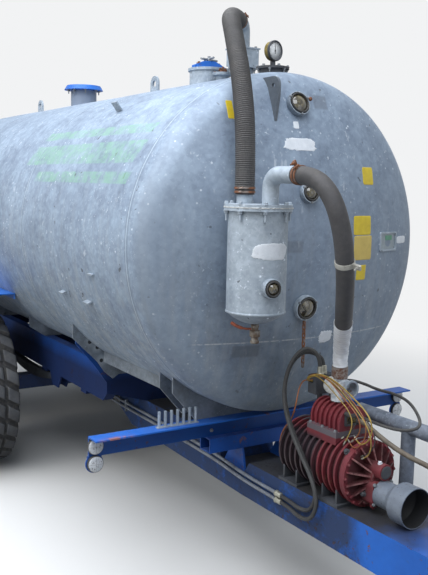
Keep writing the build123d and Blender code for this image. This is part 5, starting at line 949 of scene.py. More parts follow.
def weld_ridge(ahead, angle):
    """Extra radius on the welds: a bell that falls off over half the bead's width, times a ripple
    round the tank. Each plate also dips a little beside its weld, where the heat drew it in."""
    off = np.abs(ahead[..., None] - seams).min(axis=-1)
    ripple = 0.8 + 0.2 * np.sin(angle * 900.0 + 3.0 * np.sin(angle * 37.0))
    ridge = WELD_H * np.exp(-np.square(off / WELD_HALF_W)) * ripple
    dip = -0.004 * np.exp(-np.square(off / 0.07))
    return ridge + dip + 0.0008 * np.sin(angle * 7.0 + ahead * 5.0)


tank = turned("tank_skin", profile, (SEAM_X, 0, AXIS_Z), AHEAD, sides=TANK_SIDES, swell=weld_ridge)
print("tank", len(tank.data.polygons), "faces")

# %% [markdown]
# ## What the weather did to the tank, and the light and shade painted on its head
# The skin is one piece, so its finish has to change by place: pale streaks run down the lower
# shell, a grey scuffed line crosses the head, and where labels once were the zinc is darker. Each
# is a mask made from a place and a reach.

# %% Tank finish
def head_marks_and_shade(f, colour, roughness):
    head_only = f.x.rises(SEAM_X + 0.06, SEAM_X + 0.10)
    # painted shade: the head darkens downwards from near its top, as light falls from above
    low_head_shade = head_only * f.z.rises(AXIS_Z + 0.80, AXIS_Z + 0.20)
    shaded = f.mix(low_head_shade * 0.42, colour, rgb("5f6a78"))
    # a painted lighter band just inside the knuckle and down the sides, where the knuckle catches more light
    reach = (f.y * f.y + (f.z - AXIS_Z) * (f.z - AXIS_Z)).sqrt()
    shaded = f.mix(reach.rises(0.70, 0.86) * head_only * 0.25, shaded, rgb("93a0ae"))
    # one long scuffed line across the lower head
    line_z = f.z - (AXIS_Z - 0.459)
    scuff = line_z.abs().rises(0.0045, 0.0015) * head_only * f.y.between(-0.62, 0.60, 0.03)
    worn = f.noise(40.0, 3.0, 0.7).rises(0.36, 0.56)
    shaded = f.mix(scuff * worn * 0.85, shaded, rgb("b7bcc0"))
    # darker places where something has been taken off
    for y, up, half_w, half_h, deep in HEAD_STAINS:
        patch_mask = (f.y - y).abs().rises(half_w + 0.006, half_w - 0.006)
        patch_mask = patch_mask * (f.z - AXIS_Z - up).abs().rises(half_h + 0.006, half_h - 0.006) * head_only
        shaded = f.mix(patch_mask * deep, shaded, rgb("59606a"))
    # the heat of each weld has left a dark line on both sides of it
    for seam in SEAM_LINES:
        off = (f.x - seam).abs()
        shaded = f.mix(off.between(0.007, 0.016, 0.004) * 0.45, shaded, rgb("57636f"))
        shaded = f.mix(off.rises(0.006, 0.003) * 0.30, shaded, rgb("c9d4de"))
    return painted_stripes(f, shaded), roughness


def painted_stripes(f, colour):
    """Three faded green stripes along the shell. The distance round the tank is its radius times the
    angle from the top, and each stripe's ends slant because that distance is added to x."""
    up = f.z - AXIS_Z
    round_it = (f.y * -1.0).maths("ARCTAN2", up) * TANK_R
    worn = f.noise(11.0, 5.0, 0.75, lift=1.0).rises(0.36, 0.56) * f.noise(60.0, 3.0, 0.6).rises(0.30, 0.46)
    for low, high, start, stop in STRIPES:
        inside = round_it.between(low, high, 0.003) * (f.x + round_it * 0.35).between(start, stop, 0.004)
        colour = f.mix(inside * worn * 0.62, colour, rgb("7fae93"))
    return colour


SEAM_LINES = (SEAM_X, SEAM_X - STRAKE_LEN, SEAM_X - 2 * STRAKE_LEN, SEAM_X - SHELL_LEN)
# columns are distance round the tank from its top, low and high, then where it starts and stops
STRIPES = [(0.735, 0.800, 0.25, 1.72), (0.850, 0.985, 0.25, 1.78), (1.035, 1.100, 0.55, 1.84)]
# columns are place across, place above the axis, half width, half height, how dark
HEAD_STAINS = [
    (0.098, 0.742, 0.046, 0.036, 0.5),
    (-0.144, 0.017, 0.050, 0.028, 0.45),
    (-0.356, -0.505, 0.072, 0.030, 0.6),
]
# the blue of the tank's greys is partly the zinc's own tone and partly painted sky reflection
tank_zinc = zinc("galvanised tank", "67768a", "9dafc2", spangle=46.0, streaks=0.34, extra=head_marks_and_shade)
wear(tank, tank_zinc, "tank_galvanised", replaced=["tank_shell"])
print("marks on the head:", len(HEAD_STAINS), "stripes:", len(STRIPES))

# %% [markdown]
# ## The two big hoses
# The riser hose is suction hose: a rubber tube over a spring, so it has fine rings all along it.
# The rings are in the radius: a small cosine of the distance along the hose. The pump hose is
# smooth, and its lower end is wound with white tape. The lines are read from their splines.

# %% Riser hose
RISER_R = 0.048
RING_PITCH = 0.0095


def ribbed(spot, angle):
    # a ring every pitch, and a slow out-of-round that old hoses have
    rings = 0.0020 * np.cos(2 * np.pi * spot / RING_PITCH)
    return RISER_R - 0.0022 + rings + 0.0006 * np.cos(2 * angle + spot * 6)


def hose_dust(f, colour, roughness):
    # the rings' tops are worn paler than the grooves
    crest = (f.parts(f.uv)[0] * (2 * math.pi / RING_PITCH)).maths("COSINE") * 0.5 + 0.5
    return f.mix(crest * 0.35, colour, rgb("5c5b5a")), roughness


riser_rubber = rubber("ribbed hose", "2b2b2d", "414143", dust="6a6762", dusty=0.3, extra=hose_dust)
riser = tube("riser_hose_ribbed", lines["riser_hose"], ribbed, 32, RING_PITCH / 5)
wear(riser, riser_rubber, "hose_black", replaced=["riser_hose"])
print("riser hose", len(riser.data.polygons), "faces")

# %% Pump hose, with its taped end
PUMP_HOSE_R = 0.041
pump_line = lines["pump_hose"]
pump_length = length_of(pump_line)
TAPE_FROM = pump_length - 0.400
TAPE_TO = pump_length - 0.060
TAPE_THICK, TAPE_STEP = 0.0022, 0.0016
WRAP_PITCH = 0.023


def taped(spot, angle):
    """The bare hose has a constant radius. Where it is taped the radius grows by the tape's thickness
    and steps at each overlap, which winds round as a slanted line: spot plus a share of the angle."""
    on_tape = np.clip((spot - TAPE_FROM) / 0.004, 0, 1) * np.clip((TAPE_TO - spot) / 0.004, 0, 1)
    turn = ((spot - TAPE_FROM) / WRAP_PITCH + angle / (2 * np.pi)) % 1.0
    taper = 1.04 - 0.20 * np.clip((spot - TAPE_FROM) / (TAPE_TO - TAPE_FROM), 0, 1)
    bare = (PUMP_HOSE_R - 0.0015) * np.where(on_tape > 0, taper, 1.0)
    loose = 0.0012 * np.sin(5 * angle + spot * 90)
    return bare + on_tape * (TAPE_THICK - TAPE_STEP * turn + loose)


def tape_colours(f, colour, roughness):
    spot, turn, _ = f.parts(f.uv)
    white = spot.rises(TAPE_FROM, TAPE_FROM + 0.003) * spot.rises(TAPE_TO, TAPE_TO - 0.003)
    lap = ((spot - TAPE_FROM) * (1.0 / WRAP_PITCH) + turn).maths("FRACT")
    edge = lap.rises(0.10, 0.0) + lap.rises(0.93, 1.0) * 0.4
    tape = f.mix(edge.clamped() * 0.45, rgb("f0f4f9"), rgb("a3aab3"))
    tape = f.mix(f.noise(30.0, 4.0, 0.7).rises(0.56, 0.78) * 0.3, tape, rgb("a09d96"))
    colour = f.mix(white, colour, tape)
    rust_end = spot.rises(TAPE_TO - 0.002, TAPE_TO + 0.004)
    rusted = f.mix(f.noise(60.0, 4.0, 0.7).rises(0.4, 0.6), rgb("5d3a29"), rgb("8b8580"))
    return f.mix(rust_end, colour, rusted), roughness - white * 0.15


pump_rubber = rubber("smooth hose", "29292b", "39393c", dust="63605c", dusty=0.3, extra=tape_colours)
pump_hose = tube("pump_hose_taped", pump_line, taped, 40, 0.0035)
wear(pump_hose, pump_rubber, "hose_black", replaced=["pump_hose"])
print("pump hose", len(pump_hose.data.polygons), "faces, tape", round(TAPE_FROM, 3), "to", round(TAPE_TO, 3))

# %% [markdown]
# ## Hydraulic hoses, cable and leads
# The thin lines are curves with a round bevel, because a curve keeps its own centreline and stays
# light. Each has its end pieces: ferrules on the hoses, strain reliefs on the cable, a coupling on
# the brown hose, and small sleeves on the leads' bare ends. An end piece is turned about the line's
# own direction, with its heights measured from the line's end.

# %% End pieces and thin lines
FERRULE = [(-0.046, 0.0104), (-0.044, 0.0138), (-0.014, 0.0150), (-0.012, 0.01725), (-0.001, 0.01725),
           (0.0, 0.0004)]
RELIEF = [(-0.042, 0.0072), (-0.040, 0.0080), (-0.004, 0.0105), (-0.001, 0.0120), (0.0, 0.0004)]
COUPLING = [(-0.050, 0.0125), (-0.050, 0.0165), (-0.030, 0.0165), (-0.028, 0.0145), (-0.012, 0.0145),
            (-0.010, 0.0185), (0.004, 0.0185), (0.006, 0.0130), (0.018, 0.0130), (0.018, 0.008),
            (0.004, 0.008), (0.004, 0.0005)]
SLEEVE = [(-0.016, 0.0034), (-0.016, 0.0048), (0.002, 0.0048), (0.003, 0.0016), (0.010, 0.0016),
          (0.010, 0.0003)]
SMALL_SLEEVE = [(-0.016, 0.0026), (-0.016, 0.0038), (0.002, 0.0038), (0.003, 0.0012), (0.010, 0.0012),
                (0.010, 0.0003)]


def end_piece(name, line, profile, sides, material, slot, last=True):
    place, inner = (line[-1], line[-3]) if last else (line[0], line[2])
    return lathe(name, profile, 0.0008, place, place - inner, sides, material, slot)


cable_rubber = rubber("black cable", "1e1e20", "2e2f31", dusty=0.2, grain=110.0)
zinc_ends = metal("plated ends", "8a8a80", "a8a79a", metallic=0.7, rough=0.4, soil=0.35)
hydraulic_rubber = rubber("hydraulic hose", "1f2022", "303234", dust="5d5b56", dusty=0.25, grain=120.0)
brown_rubber = rubber("brown hose", "4b443b", "6a6055", dust="8c8474", dusty=0.4)
yellow_sheath = plastic("yellow lead", "a58a3a", "7f6a33", rough=0.5, soil=0.4)
orange_sheath = plastic("orange lead", "9b5f33", "7c4a2b", rough=0.5, soil=0.4)
black_sheath = plastic("black lead", "1d1d1f", "2c2c2e", rough=0.5, soil=0.2)
STEEL_ENDS, RUBBER_ENDS = (zinc_ends, "bare_steel"), (cable_rubber, "hose_black")
HOSE_ENDS = [("_ferrule_low", False), ("_ferrule_top", True)]
# columns are node, radius, slot, material, far end, stiffness and lay, then for the end pieces their
# profile, sides, finish and slot, and names
THIN_LINES = [
    ("hydraulic_hose_a", 0.010, "hose_black", hydraulic_rubber, "object", "stiff", "hanging",
     FERRULE, 20, STEEL_ENDS, HOSE_ENDS),
    ("hydraulic_hose_b", 0.010, "hose_black", hydraulic_rubber, "object", "stiff", "hanging",
     FERRULE, 20, STEEL_ENDS, HOSE_ENDS),
    ("cable_loop", 0.007, "hose_black", cable_rubber, "object", "medium", "loose",
     RELIEF, 20, RUBBER_ENDS, [("cable_relief_rear", False), ("cable_relief_front", True)]),
    ("front_hose", 0.012, "hose_brown", brown_rubber, "connector", "stiff", "loose",
     COUPLING, 24, STEEL_ENDS, [("_coupling", True)]),
    ("lead_yellow", 0.0035, "lead_yellow", yellow_sheath, "bare", "medium", "loose",
     SLEEVE, 14, STEEL_ENDS, [("_sleeve", True)]),
    ("lead_orange", 0.0035, "lead_orange", orange_sheath, "bare", "medium", "hanging",
     SLEEVE, 14, STEEL_ENDS, [("_sleeve", True)]),
]
for name, radius, slot, material, far_end, stiffness, lay, profile, sides, look, ends in THIN_LINES:
    piece = wear(spline_object(name + "_line", placed(ROUTES[name]), radius), material, slot, replaced=[name])
    end_pieces = [end_piece(name + tag if tag[0] == "_" else tag, lines[name], profile, sides, *look, last)
                  for tag, last in ends]
    2 * radius
print("thin lines", len(THIN_LINES))

# %% [markdown]
# ## The bundle of loose leads
# More leads spill out of the box beside the yellow one. Each follows the yellow lead's route, and
# drifts away from it by a smooth amount that grows towards its end, so no two lie alike.

# %% Leads of the bundle
BUNDLE_R = 0.0026
# columns are name, finish, slot, how much of the route it has, drift ahead, left and up at its end, sway
BUNDLE = [
    ("lead_bundle_a", orange_sheath, "lead_orange", 15, (-0.060, 0.016, -0.035), 0.010),
    ("lead_bundle_b", yellow_sheath, "lead_yellow", 14, (0.030, -0.020, -0.060), 0.014),
    ("lead_bundle_c", orange_sheath, "lead_orange", 13, (-0.090, -0.016, -0.020), 0.012),
    ("lead_bundle_d", black_sheath, "hose_black", 14, (-0.020, 0.030, -0.070), 0.016),
    ("lead_bundle_e", yellow_sheath, "lead_yellow", 12, (-0.130, -0.030, -0.055), 0.010),
    ("lead_bundle_f", black_sheath, "hose_black", 13, (-0.150, 0.012, -0.010), 0.013),
]
for turn, (name, finish, slot, kept, drift, sway) in enumerate(BUNDLE):
    route = placed(YELLOW_ROUTE[:kept])
    share = np.linspace(0, 1, kept)[:, None]
    wave = np.sin(share * np.pi * (2.0 + 0.3 * turn)) * sway
    route = route + share ** 1.5 * np.array(drift) + wave * np.array([0.4, 1.0, 0.6]) * share
    route[0, 2] += 0.008 * (turn % 3 - 1)
    lines[name] = spline_points(route)
    piece = wear(spline_object(name, route, BUNDLE_R), finish, slot)
    sleeve = end_piece(name + "_sleeve", lines[name], SMALL_SLEEVE, 12, *STEEL_ENDS)
    print(name, "length", round(length_of(lines[name]), 3))

# %% [markdown]
# ## Finishes that come first
# Small parts share a few finishes, so these are made before the parts that wear them.

# %% Shared finishes
fitting_zinc = zinc("galvanised fittings", "7c8894", "adb9c4", specks=1.2, grime=0.22)
cast_iron = metal("dark castings", "33363b", "4c5057", metallic=0.2, rough=0.6, soil=0.4)
bare_steel = metal("worn steel", "70757b", "979ca1", metallic=0.75, rough=0.4, soil=0.35)
brass = metal("dull brass", "6f6238", "93834c", metallic=0.7, rough=0.38, soil=0.3)
rust = rusty("rust")
clamp_rust = rusty("rusty clamps", steel=0.35)
black_rubber = rubber("black rubber", "1d1e20", "303133", dusty=0.25, grain=70.0)
white_film = plastic("white film", "e3e8ee", "cdd4db", rough=0.45, soil=0.18, grain=22.0)
gasket_white = plastic("gasket", "dfe2e2", "a5a7a4", rough=0.7, soil=0.4, grain=60.0)
ZINC = (fitting_zinc, "fitting_galvanised")
STEEL = (bare_steel, "bare_steel")
CAST = (cast_iron, "dark_cast")

# %% [markdown]
# ## Sight glasses
# A sight glass shows how full the tank is: a short collar welded to the head, a rubber seal, and a
# thick glass dome that has gone brown. Each is turned about the head's own outward direction, so
# it stands square to the dished surface.

# %% Sight glass parts
GLASS_Y = -0.061
# columns are name, height above the axis, collar radius, and the solids that collar and dome stand for
GLASSES = [
    ("top", 0.716, 0.062, ["sight_glass_rings"], ["sight_glass_lenses"]),
    ("middle", 0.282, 0.052, [], []),
    ("low", -0.288, 0.064, [], []),
]
TRAP_X, TRAP_Y, TRAP_R = SEAM_X + 0.470, -0.460, 0.138
TRAP_TOP, TRAP_SEAM = AXIS_Z + 0.212, AXIS_Z - 0.262
TRAP_GLASS_TURN, TRAP_GLASS_Z, TRAP_GLASS_R = math.radians(-8.1), AXIS_Z - 0.140, 0.045


def head_point(y, up, proud=0.0):
    # a point on the dished head, moved out by proud, and the outward direction there
    centre = np.array([SEAM_X + CROWN_C, 0.0, AXIS_Z])
    on = np.array([float(crown_x(y, up)), y, AXIS_Z + up])
    out = (on - centre) / np.linalg.norm(on - centre)
    return on + out * proud, out


def glass_look(f, colour, roughness):
    # paler swirls painted deep in the glass: painted light standing in for the far rim seen through it
    swirl = f.noise(28.0, 4.0, 0.7, warp=1.5).rises(0.45, 0.68)
    return f.mix(swirl * 0.6, colour, rgb("857a55")), roughness


brown_glass = plastic("brown glass", "1d1b12", "3b3522", rough=0.08, soil=0.15, coat=0.9, extra=glass_look)


def sight_glass(tag, place, out, radius, rings=(), lenses=()):
    """Collar, seal and dome, each a profile of (height, radius). The dome's height falls with the
    square of the radius, as a shallow bowl does."""
    collar = [(-0.012, radius), (0.030, radius), (0.030, radius - 0.005), (0.004, radius - 0.005),
              (0.004, radius * 0.5)]
    seal = [(0.004, radius - 0.0055), (0.034, radius - 0.0085), (0.037, radius - 0.012),
            (0.034, radius - 0.017), (0.020, radius - 0.018), (0.006, radius * 0.4)]
    bowl = np.linspace(1, 0.02, 14)
    bowl = np.column_stack([0.026 + 0.016 * (1 - bowl ** 2), (radius - 0.0165) * bowl])
    dome = [(0.022, radius - 0.016), *bowl]
    lathe(f"glass_collar_{tag}", collar, 0.0015, place, out, 56, *ZINC, replaced=rings)
    lathe(f"glass_seal_{tag}", seal, 0.002, place, out, 56, black_rubber, "dark_cast")
    lathe(f"glass_dome_{tag}", dome, 0, place, out, 56, brown_glass, "glass_dark", replaced=lenses)


glass_nuts, glass_ways = [], []
for tag, up, radius, rings, lenses in GLASSES:
    place, out = head_point(GLASS_Y, up)
    sight_glass(tag, place, out, radius, rings, lenses)
    u, v, _ = axes_for(out)[0]
    for turn in (0.5, 2.6, 4.7):
        glass_nuts.append(place + out * 0.028 + (radius - 0.0028) * (math.cos(turn) * u + math.sin(turn) * v))
        glass_ways.append(out)
trap_out = np.array([math.cos(TRAP_GLASS_TURN), math.sin(TRAP_GLASS_TURN), 0.0])
sight_glass("trap", np.array([TRAP_X, TRAP_Y, TRAP_GLASS_Z]) + trap_out * TRAP_R, trap_out, TRAP_GLASS_R)
bolts("glass_nuts", glass_nuts, glass_ways, 0.0046, *STEEL, sunk=0.001)
knob = [(-0.01, 0.006), (0.026, 0.006), (0.028, 0.010), (0.036, 0.010), (0.040, 0.006), (0.041, 0.0004)]
lathe("glass_knob", knob, 0.001, *head_point(GLASS_Y + 0.068, GLASSES[0][1] + 0.022), 18, rust, "bare_steel")
print("sight glasses", len(GLASSES) + 1, "nuts", len(glass_nuts))

# %% [markdown]
# ## Film patches
# Where the machine had stickers, this one has plain film: yellow and white patches with no words or
# signs, some torn. A patch is an outline filled by rings that shrink to its middle, laid on the
# surface it sticks to, so it curves with the head or the trap.

# %% Patches that follow a surface
def outline_box(middle, half, corner=0.2, torn=0.0, seed=1, count=72):
    """Points round a box with soft corners: a circle's cosine and sine raised to a small power, which
    squares it. A torn edge adds seeded noise to the distance from the middle."""
    angle = np.linspace(0, 2 * np.pi, count, endpoint=False)
    shape = np.stack([np.cos(angle), np.sin(angle)], axis=1)
    shape = np.sign(shape) * np.abs(shape) ** corner
    rng = np.random.default_rng(seed)
    rough = rng.normal(0, 1, count)
    rough = np.convolve(np.concatenate([rough[-3:], rough, rough[:3]]), np.ones(7) / 7, "valid")
    rough = rough + rng.normal(0, 0.25, count)
    return np.array(middle) + shape * np.array(half) * (1 + torn * rough[:, None])


def patch(name, outline, surface, material, thick=0.0009, rings=8):
    """Rings from the outline to its middle. Each ring is the outline shrunk by a share, and surface
    gives the 3-D place of a flat point at a height. The edge starts just under the surface."""
    middle = outline.mean(axis=0)
    shares = np.concatenate([[1.0, 1.0], np.linspace(0.985, 0.002, rings)])
    heights = np.concatenate([[-0.0015, thick * 0.6], np.full(rings, thick)])
    flat = middle + shares[:, None, None] * (outline - middle)
    points = surface(flat[..., 0], flat[..., 1], heights[:, None])
    return wear(grid_piece(name, points), material, "fitting_galvanised")


def on_head(y, up, proud):
    # the dished head, with the two flat numbers across and above the axis
    out = np.stack([crown_x(y, up) - SEAM_X - CROWN_C, y, up], axis=-1) / CROWN_R
    return out * (CROWN_R + proud[..., None]) + np.array([SEAM_X + CROWN_C, 0, AXIS_Z])


def on_trap(across, z, proud):
    # the trap's side, with the first number the distance round it from straight ahead
    turn, reach = across / TRAP_R, TRAP_R + proud
    places = np.broadcast_arrays(TRAP_X + reach * np.cos(turn), TRAP_Y + reach * np.sin(turn), z)
    return np.stack(places, axis=-1)


def film_fade(f, colour, roughness):
    # sun has bleached the film in clouds
    return f.mix(f.noise(14.0, 3.0, 0.6).rises(0.35, 0.7) * 0.5, colour, rgb("d3bd6a")), roughness


yellow_film = plastic("yellow film", "d9c22a", "c3a824", rough=0.4, soil=0.15, grain=18.0)
faded_film = plastic("faded film", "cdb563", "bba456", rough=0.5, soil=0.2, grain=18.0, extra=film_fade)
# columns are name, surface, middle, half size, corner power, torn, seed, material
PATCHES = [
    ("film_upper_left", on_head, (-0.436, 0.672), (0.016, 0.044), 0.18, 0.01, 3, yellow_film),
    ("film_upper_right", on_head, (0.380, 0.376), (0.044, 0.046), 0.22, 0.03, 4, yellow_film),
    ("film_sign_top", on_head, (0.318, 0.118), (0.070, 0.050), 0.16, 0.01, 5, yellow_film),
    ("film_sign_body", on_head, (0.325, 0.000), (0.072, 0.064), 0.14, 0.01, 6, faded_film),
    ("film_sign_tail", on_head, (0.322, -0.130), (0.038, 0.040), 0.16, 0.02, 7, yellow_film),
    ("film_white_small", on_head, (-0.088, 0.615), (0.016, 0.018), 0.35, 0.02, 8, white_film),
    ("film_white_torn", on_head, (-0.080, 0.518), (0.096, 0.030), 0.5, 0.16, 9, white_film),
    ("film_white_low", on_head, (0.120, -0.462), (0.044, 0.036), 0.6, 0.18, 10, white_film),
    ("film_white_right", on_head, (0.705, 0.030), (0.050, 0.020), 0.35, 0.05, 11, white_film),
    ("film_white_trap", on_trap, (-0.012, AXIS_Z + 0.024), (0.094, 0.034), 0.45, 0.13, 12, white_film),
]
for name, surface, middle, half, corner, torn, seed, material in PATCHES:
    patch(name, outline_box(middle, half, corner, torn, seed), surface, material)
print("patches", len(PATCHES))

# %% [markdown]
# ## Plate and frame on the head
# A maker's plate sits in a small frame on the right of the head. Here it is blank: a thin aluminium
# sheet, a raised rim and four rivets. A plate with a rim is one strip of squares that goes out, up,
# in and back down again, so it closes on itself.

# %% Flat plates with a rim
def ring_plate(name, outer, inner, thick, origin, across, up, out):
    """A flat ring of any outline: four loops, outer low, outer high, inner high and inner low, with a
    grid between each loop and the next."""
    across, up, out = (np.array(axis, float) for axis in (across, up, out))
    low, bore = (np.array(origin) + loop[:, :1] * across + loop[:, 1:] * up for loop in (outer, inner))
    grid = np.stack([low, low + thick * out, bore + thick * out, bore])
    return grid_piece(name, grid, wrap_rows=True, smooth=False)


def solid_plate(name, outline, thick, origin, across, up, out, bevel=0.001):
    # a flat plate of any outline, with small rounded edges
    across, up, out = (np.array(axis, float) for axis in (across, up, out))
    flat = np.array(origin) + outline[:, :1] * across + outline[:, 1:] * up
    piece = grid_piece(name, np.stack([flat, flat + thick * out]), smooth=False)
    edge = piece.modifiers.new("edge", "BEVEL")
    edge.width = bevel
    edge.segments = 2
    edge.limit_method = "ANGLE"
    return piece


PLATE_Y, PLATE_UP, PLATE_SUNK = 0.555, 0.026, 0.012
place, out = head_point(PLATE_Y, PLATE_UP, 0.002)
across = np.cross(UP, out)
across /= np.linalg.norm(across)
upright = np.cross(out, across)
on_plate = (place - out * PLATE_SUNK, across, upright, out)
plate_sheet = plastic("plate sheet", "8f9ba3", "7d8a90", rough=0.35, soil=0.3, grain=40.0)
frame_outer = outline_box((0, 0), (0.088, 0.052), 0.10)
frame_inner = outline_box((0, 0), (0.078, 0.043), 0.10)
wear(solid_plate("blank_plate", frame_outer * 0.97, 0.010, *on_plate), plate_sheet, "fitting_galvanised")
wear(ring_plate("blank_plate_rim", frame_outer, frame_inner, 0.016, *on_plate), *ZINC)
rivets = [place - out * 0.002 + a * across + b * upright for a in (-0.068, 0.068) for b in (-0.034, 0.034)]
rivet = turned_shape([(-0.001, 0.004), (0.001, 0.004), (0.0026, 0.002), (0.003, 0.0004)], 12)
wear(copies("plate_rivets", rivet, rivets, out, smooth=True), *STEEL)
green_film = plastic("green film", "4f8f72", "3f7a60", rough=0.4, soil=0.2)
patch("film_plate", outline_box((0.562, 0.046), (0.034, 0.013), 0.12),
      lambda y, up, proud: on_head(y, up, proud + 0.0006), green_film)
print("plate, rim and", len(rivets), "rivets")

# %% [markdown]
# ## Moisture trap
# The trap keeps slurry out of the pump. Its lid is held on a flange by eight bolts with long studs
# hanging down, and a torn white gasket shows between the two plates. A bead of weld goes round
# where the dished bottom starts.

# %% Gasket, weld and bolts
FLANGE_R = 0.156
TRAP_BOLT_R = 0.1475


def torn_edge(height, angle):
    # the gasket's outer rim comes and goes: three sines round it
    edge = 0.0016 * np.sin(angle * 23) + 0.0018 * np.sin(angle * 41 + 1) + 0.0010 * np.sin(angle * 67)
    return edge + 0 * height


def weld_ripple(height, angle):
    return 0.0009 * np.sin(angle * 150 + 2 * np.sin(angle * 11)) * np.cos(height * 250)


gasket = [(0.0004, 0.120), (0.0004, FLANGE_R + 0.001), (0.0062, FLANGE_R + 0.0015), (0.0062, 0.120)]
lathe("trap_gasket", gasket, 0.001, (TRAP_X, TRAP_Y, TRAP_TOP), UP, 160, gasket_white, "fitting_galvanised",
      swell=torn_edge)
bead_angle = np.linspace(0, np.pi, 9)
weld = np.stack([0.0055 * np.cos(bead_angle)[::-1], TRAP_R + 0.0026 * np.sin(bead_angle)[::-1]], axis=1)
weld = np.concatenate([[[-0.006, TRAP_R - 0.004]], weld, [[0.006, TRAP_R - 0.004]]])
lathe("trap_weld", weld, 0, (TRAP_X, TRAP_Y, TRAP_SEAM), UP, 360, *ZINC, swell=weld_ripple)
bolt_turns = np.radians(np.arange(8) * 45.0 - 23.0)
ring = np.stack([TRAP_X + TRAP_BOLT_R * np.cos(bolt_turns), TRAP_Y + TRAP_BOLT_R * np.sin(bolt_turns),
                 np.full(8, TRAP_TOP)], axis=1)
bolts("trap_bolts_top", ring + [0, 0, 0.018], UP, 0.0085, *ZINC)
bolts("trap_bolts_low", ring - [0, 0, 0.012], (0, 0, -1), 0.0095, *ZINC, stud=0.046)
print("trap bolts", 2 * len(ring))

# %% Drain valve with its bent lever
drain_top = TRAP_SEAM - 0.060
valve = [(-0.070, 0.0004), (-0.070, 0.013), (-0.092, 0.014), (-0.092, 0.021), (-0.080, 0.021),
         (-0.078, 0.0175), (-0.062, 0.0175), (-0.060, 0.025), (-0.032, 0.025), (-0.030, 0.0165),
         (-0.018, 0.0165), (-0.016, 0.019), (0.004, 0.019)]
lathe("drain_valve", valve, 0.002, (TRAP_X, TRAP_Y, drain_top), UP, 28,
      rusty("rusty valve", "43352d", "74624f", steel=0.5), "bare_steel", replaced=["trap_drain"])
lever_line = np.array([
    (0.0, 0.0, -0.028), (-0.016, -0.010, -0.026), (-0.046, -0.022, -0.030), (-0.090, -0.026, -0.030),
    (-0.128, -0.028, -0.024), (-0.150, -0.029, -0.018),
]) + [TRAP_X, TRAP_Y, drain_top]


def lever_radius(spot, angle):
    # a thin rod with a thicker grip
    return 0.0052 + 0.0028 * np.clip((spot - 0.07) / 0.01, 0, 1) + 0 * angle


wear(tube("drain_lever", spline_points(lever_line), lever_radius, 14, 0.004),
     rusty("rusty lever", "6b3322", "9a5238"), "bare_steel")
print("drain valve and lever")

# %% [markdown]
# ## Hose clamps
# A worm-drive clamp is a thin band with a small screw housing. The band is turned about the hose's
# own direction at that place, and the housing is a little plate with bevelled edges on its rim.

# %% Clamps on the two big hoses
def clamp(name, line, distance, radius, width, screw, material, ear):
    """A band with soft edges round a hose. screw is the angle round the hose where the housing sits,
    and ear is how far a bolted lug sticks out instead of a housing."""
    place, ahead, behind = points_at(line, np.array([distance, distance + 0.01, distance - 0.01]))
    half = width / 2
    low, high = radius - 0.004, radius + 0.0020
    band = [(-half, low), (-half, high), (half, high), (half, low)]
    lathe(name, band, 0.0006, place, ahead - behind, 56, material, "bare_steel")
    u, v, w = axes_for(ahead - behind)[0]
    out = math.cos(screw) * u + math.sin(screw) * v
    round_it = np.cross(w, out)
    seat = place + out * (radius + 0.0005)
    if ear:
        shape = outline_box((0, ear / 2), (0.006, ear / 2 + 0.004), 0.3, count=32)
        plate = solid_plate(name + "_ear", shape, width, seat - w * half, round_it, out, w, 0.0012)
        bolt_at = seat + out * ear * 0.7 + round_it * 0.006
        bolts(name + "_bolt", bolt_at, round_it, 0.0065, material, stud=0.020)
    else:
        shape = outline_box((0, 0), (0.011, half * 0.82), 0.25, count=32)
        plate = solid_plate(name + "_housing", shape, 0.0085, seat, round_it, w, out, 0.0015)
        bolt_at = seat + out * 0.0055 + round_it * 0.0115
        bolts(name + "_screw", bolt_at, round_it, 0.0042, material, stud=0.012)
    wear(plate, material, "bare_steel")


riser_line = lines["riser_hose"]
riser_end = length_of(riser_line) - 0.020
strap_steel = metal("strap steel", "8f8f89", "adaca5", metallic=0.5, rough=0.5, soil=0.4)
strap_spot = float(distances(pump_line)[np.argmin(np.abs(pump_line[:, 2] - (AXIS_Z + 0.010)))])
# columns are name, line, distance along it, radius, width, screw's angle, material, ear
CLAMPS = [
    ("clamp_riser_low", riser_line, 0.012, RISER_R, 0.010, 0.4, clamp_rust, 0.0),
    ("clamp_riser_second", riser_line, 0.030, RISER_R, 0.010, 0.55, clamp_rust, 0.0),
    ("clamp_riser_top", riser_line, riser_end, RISER_R - 0.002, 0.012, 2.5, clamp_rust, 0.0),
    ("clamp_pump_hose", pump_line, 0.018, PUMP_HOSE_R, 0.011, 2.0, clamp_rust, 0.022),
    ("clamp_pump_second", pump_line, 0.036, PUMP_HOSE_R, 0.009, 2.2, clamp_rust, 0.0),
    ("hose_strap", pump_line, strap_spot, PUMP_HOSE_R, 0.022, 3.6, strap_steel, 0.034),
]
for row in CLAMPS:
    clamp(*row)
print("clamps", len(CLAMPS), "with the strap at", round(strap_spot, 3))

# %% [markdown]
# ## Pressure gauge
# The gauge is a thin brass drum with a dark rolled rim, a white dial, short ticks and one needle.
# Dials may have ticks, so it has them, but no maker's words. It sits on the flanged neck by its stem.

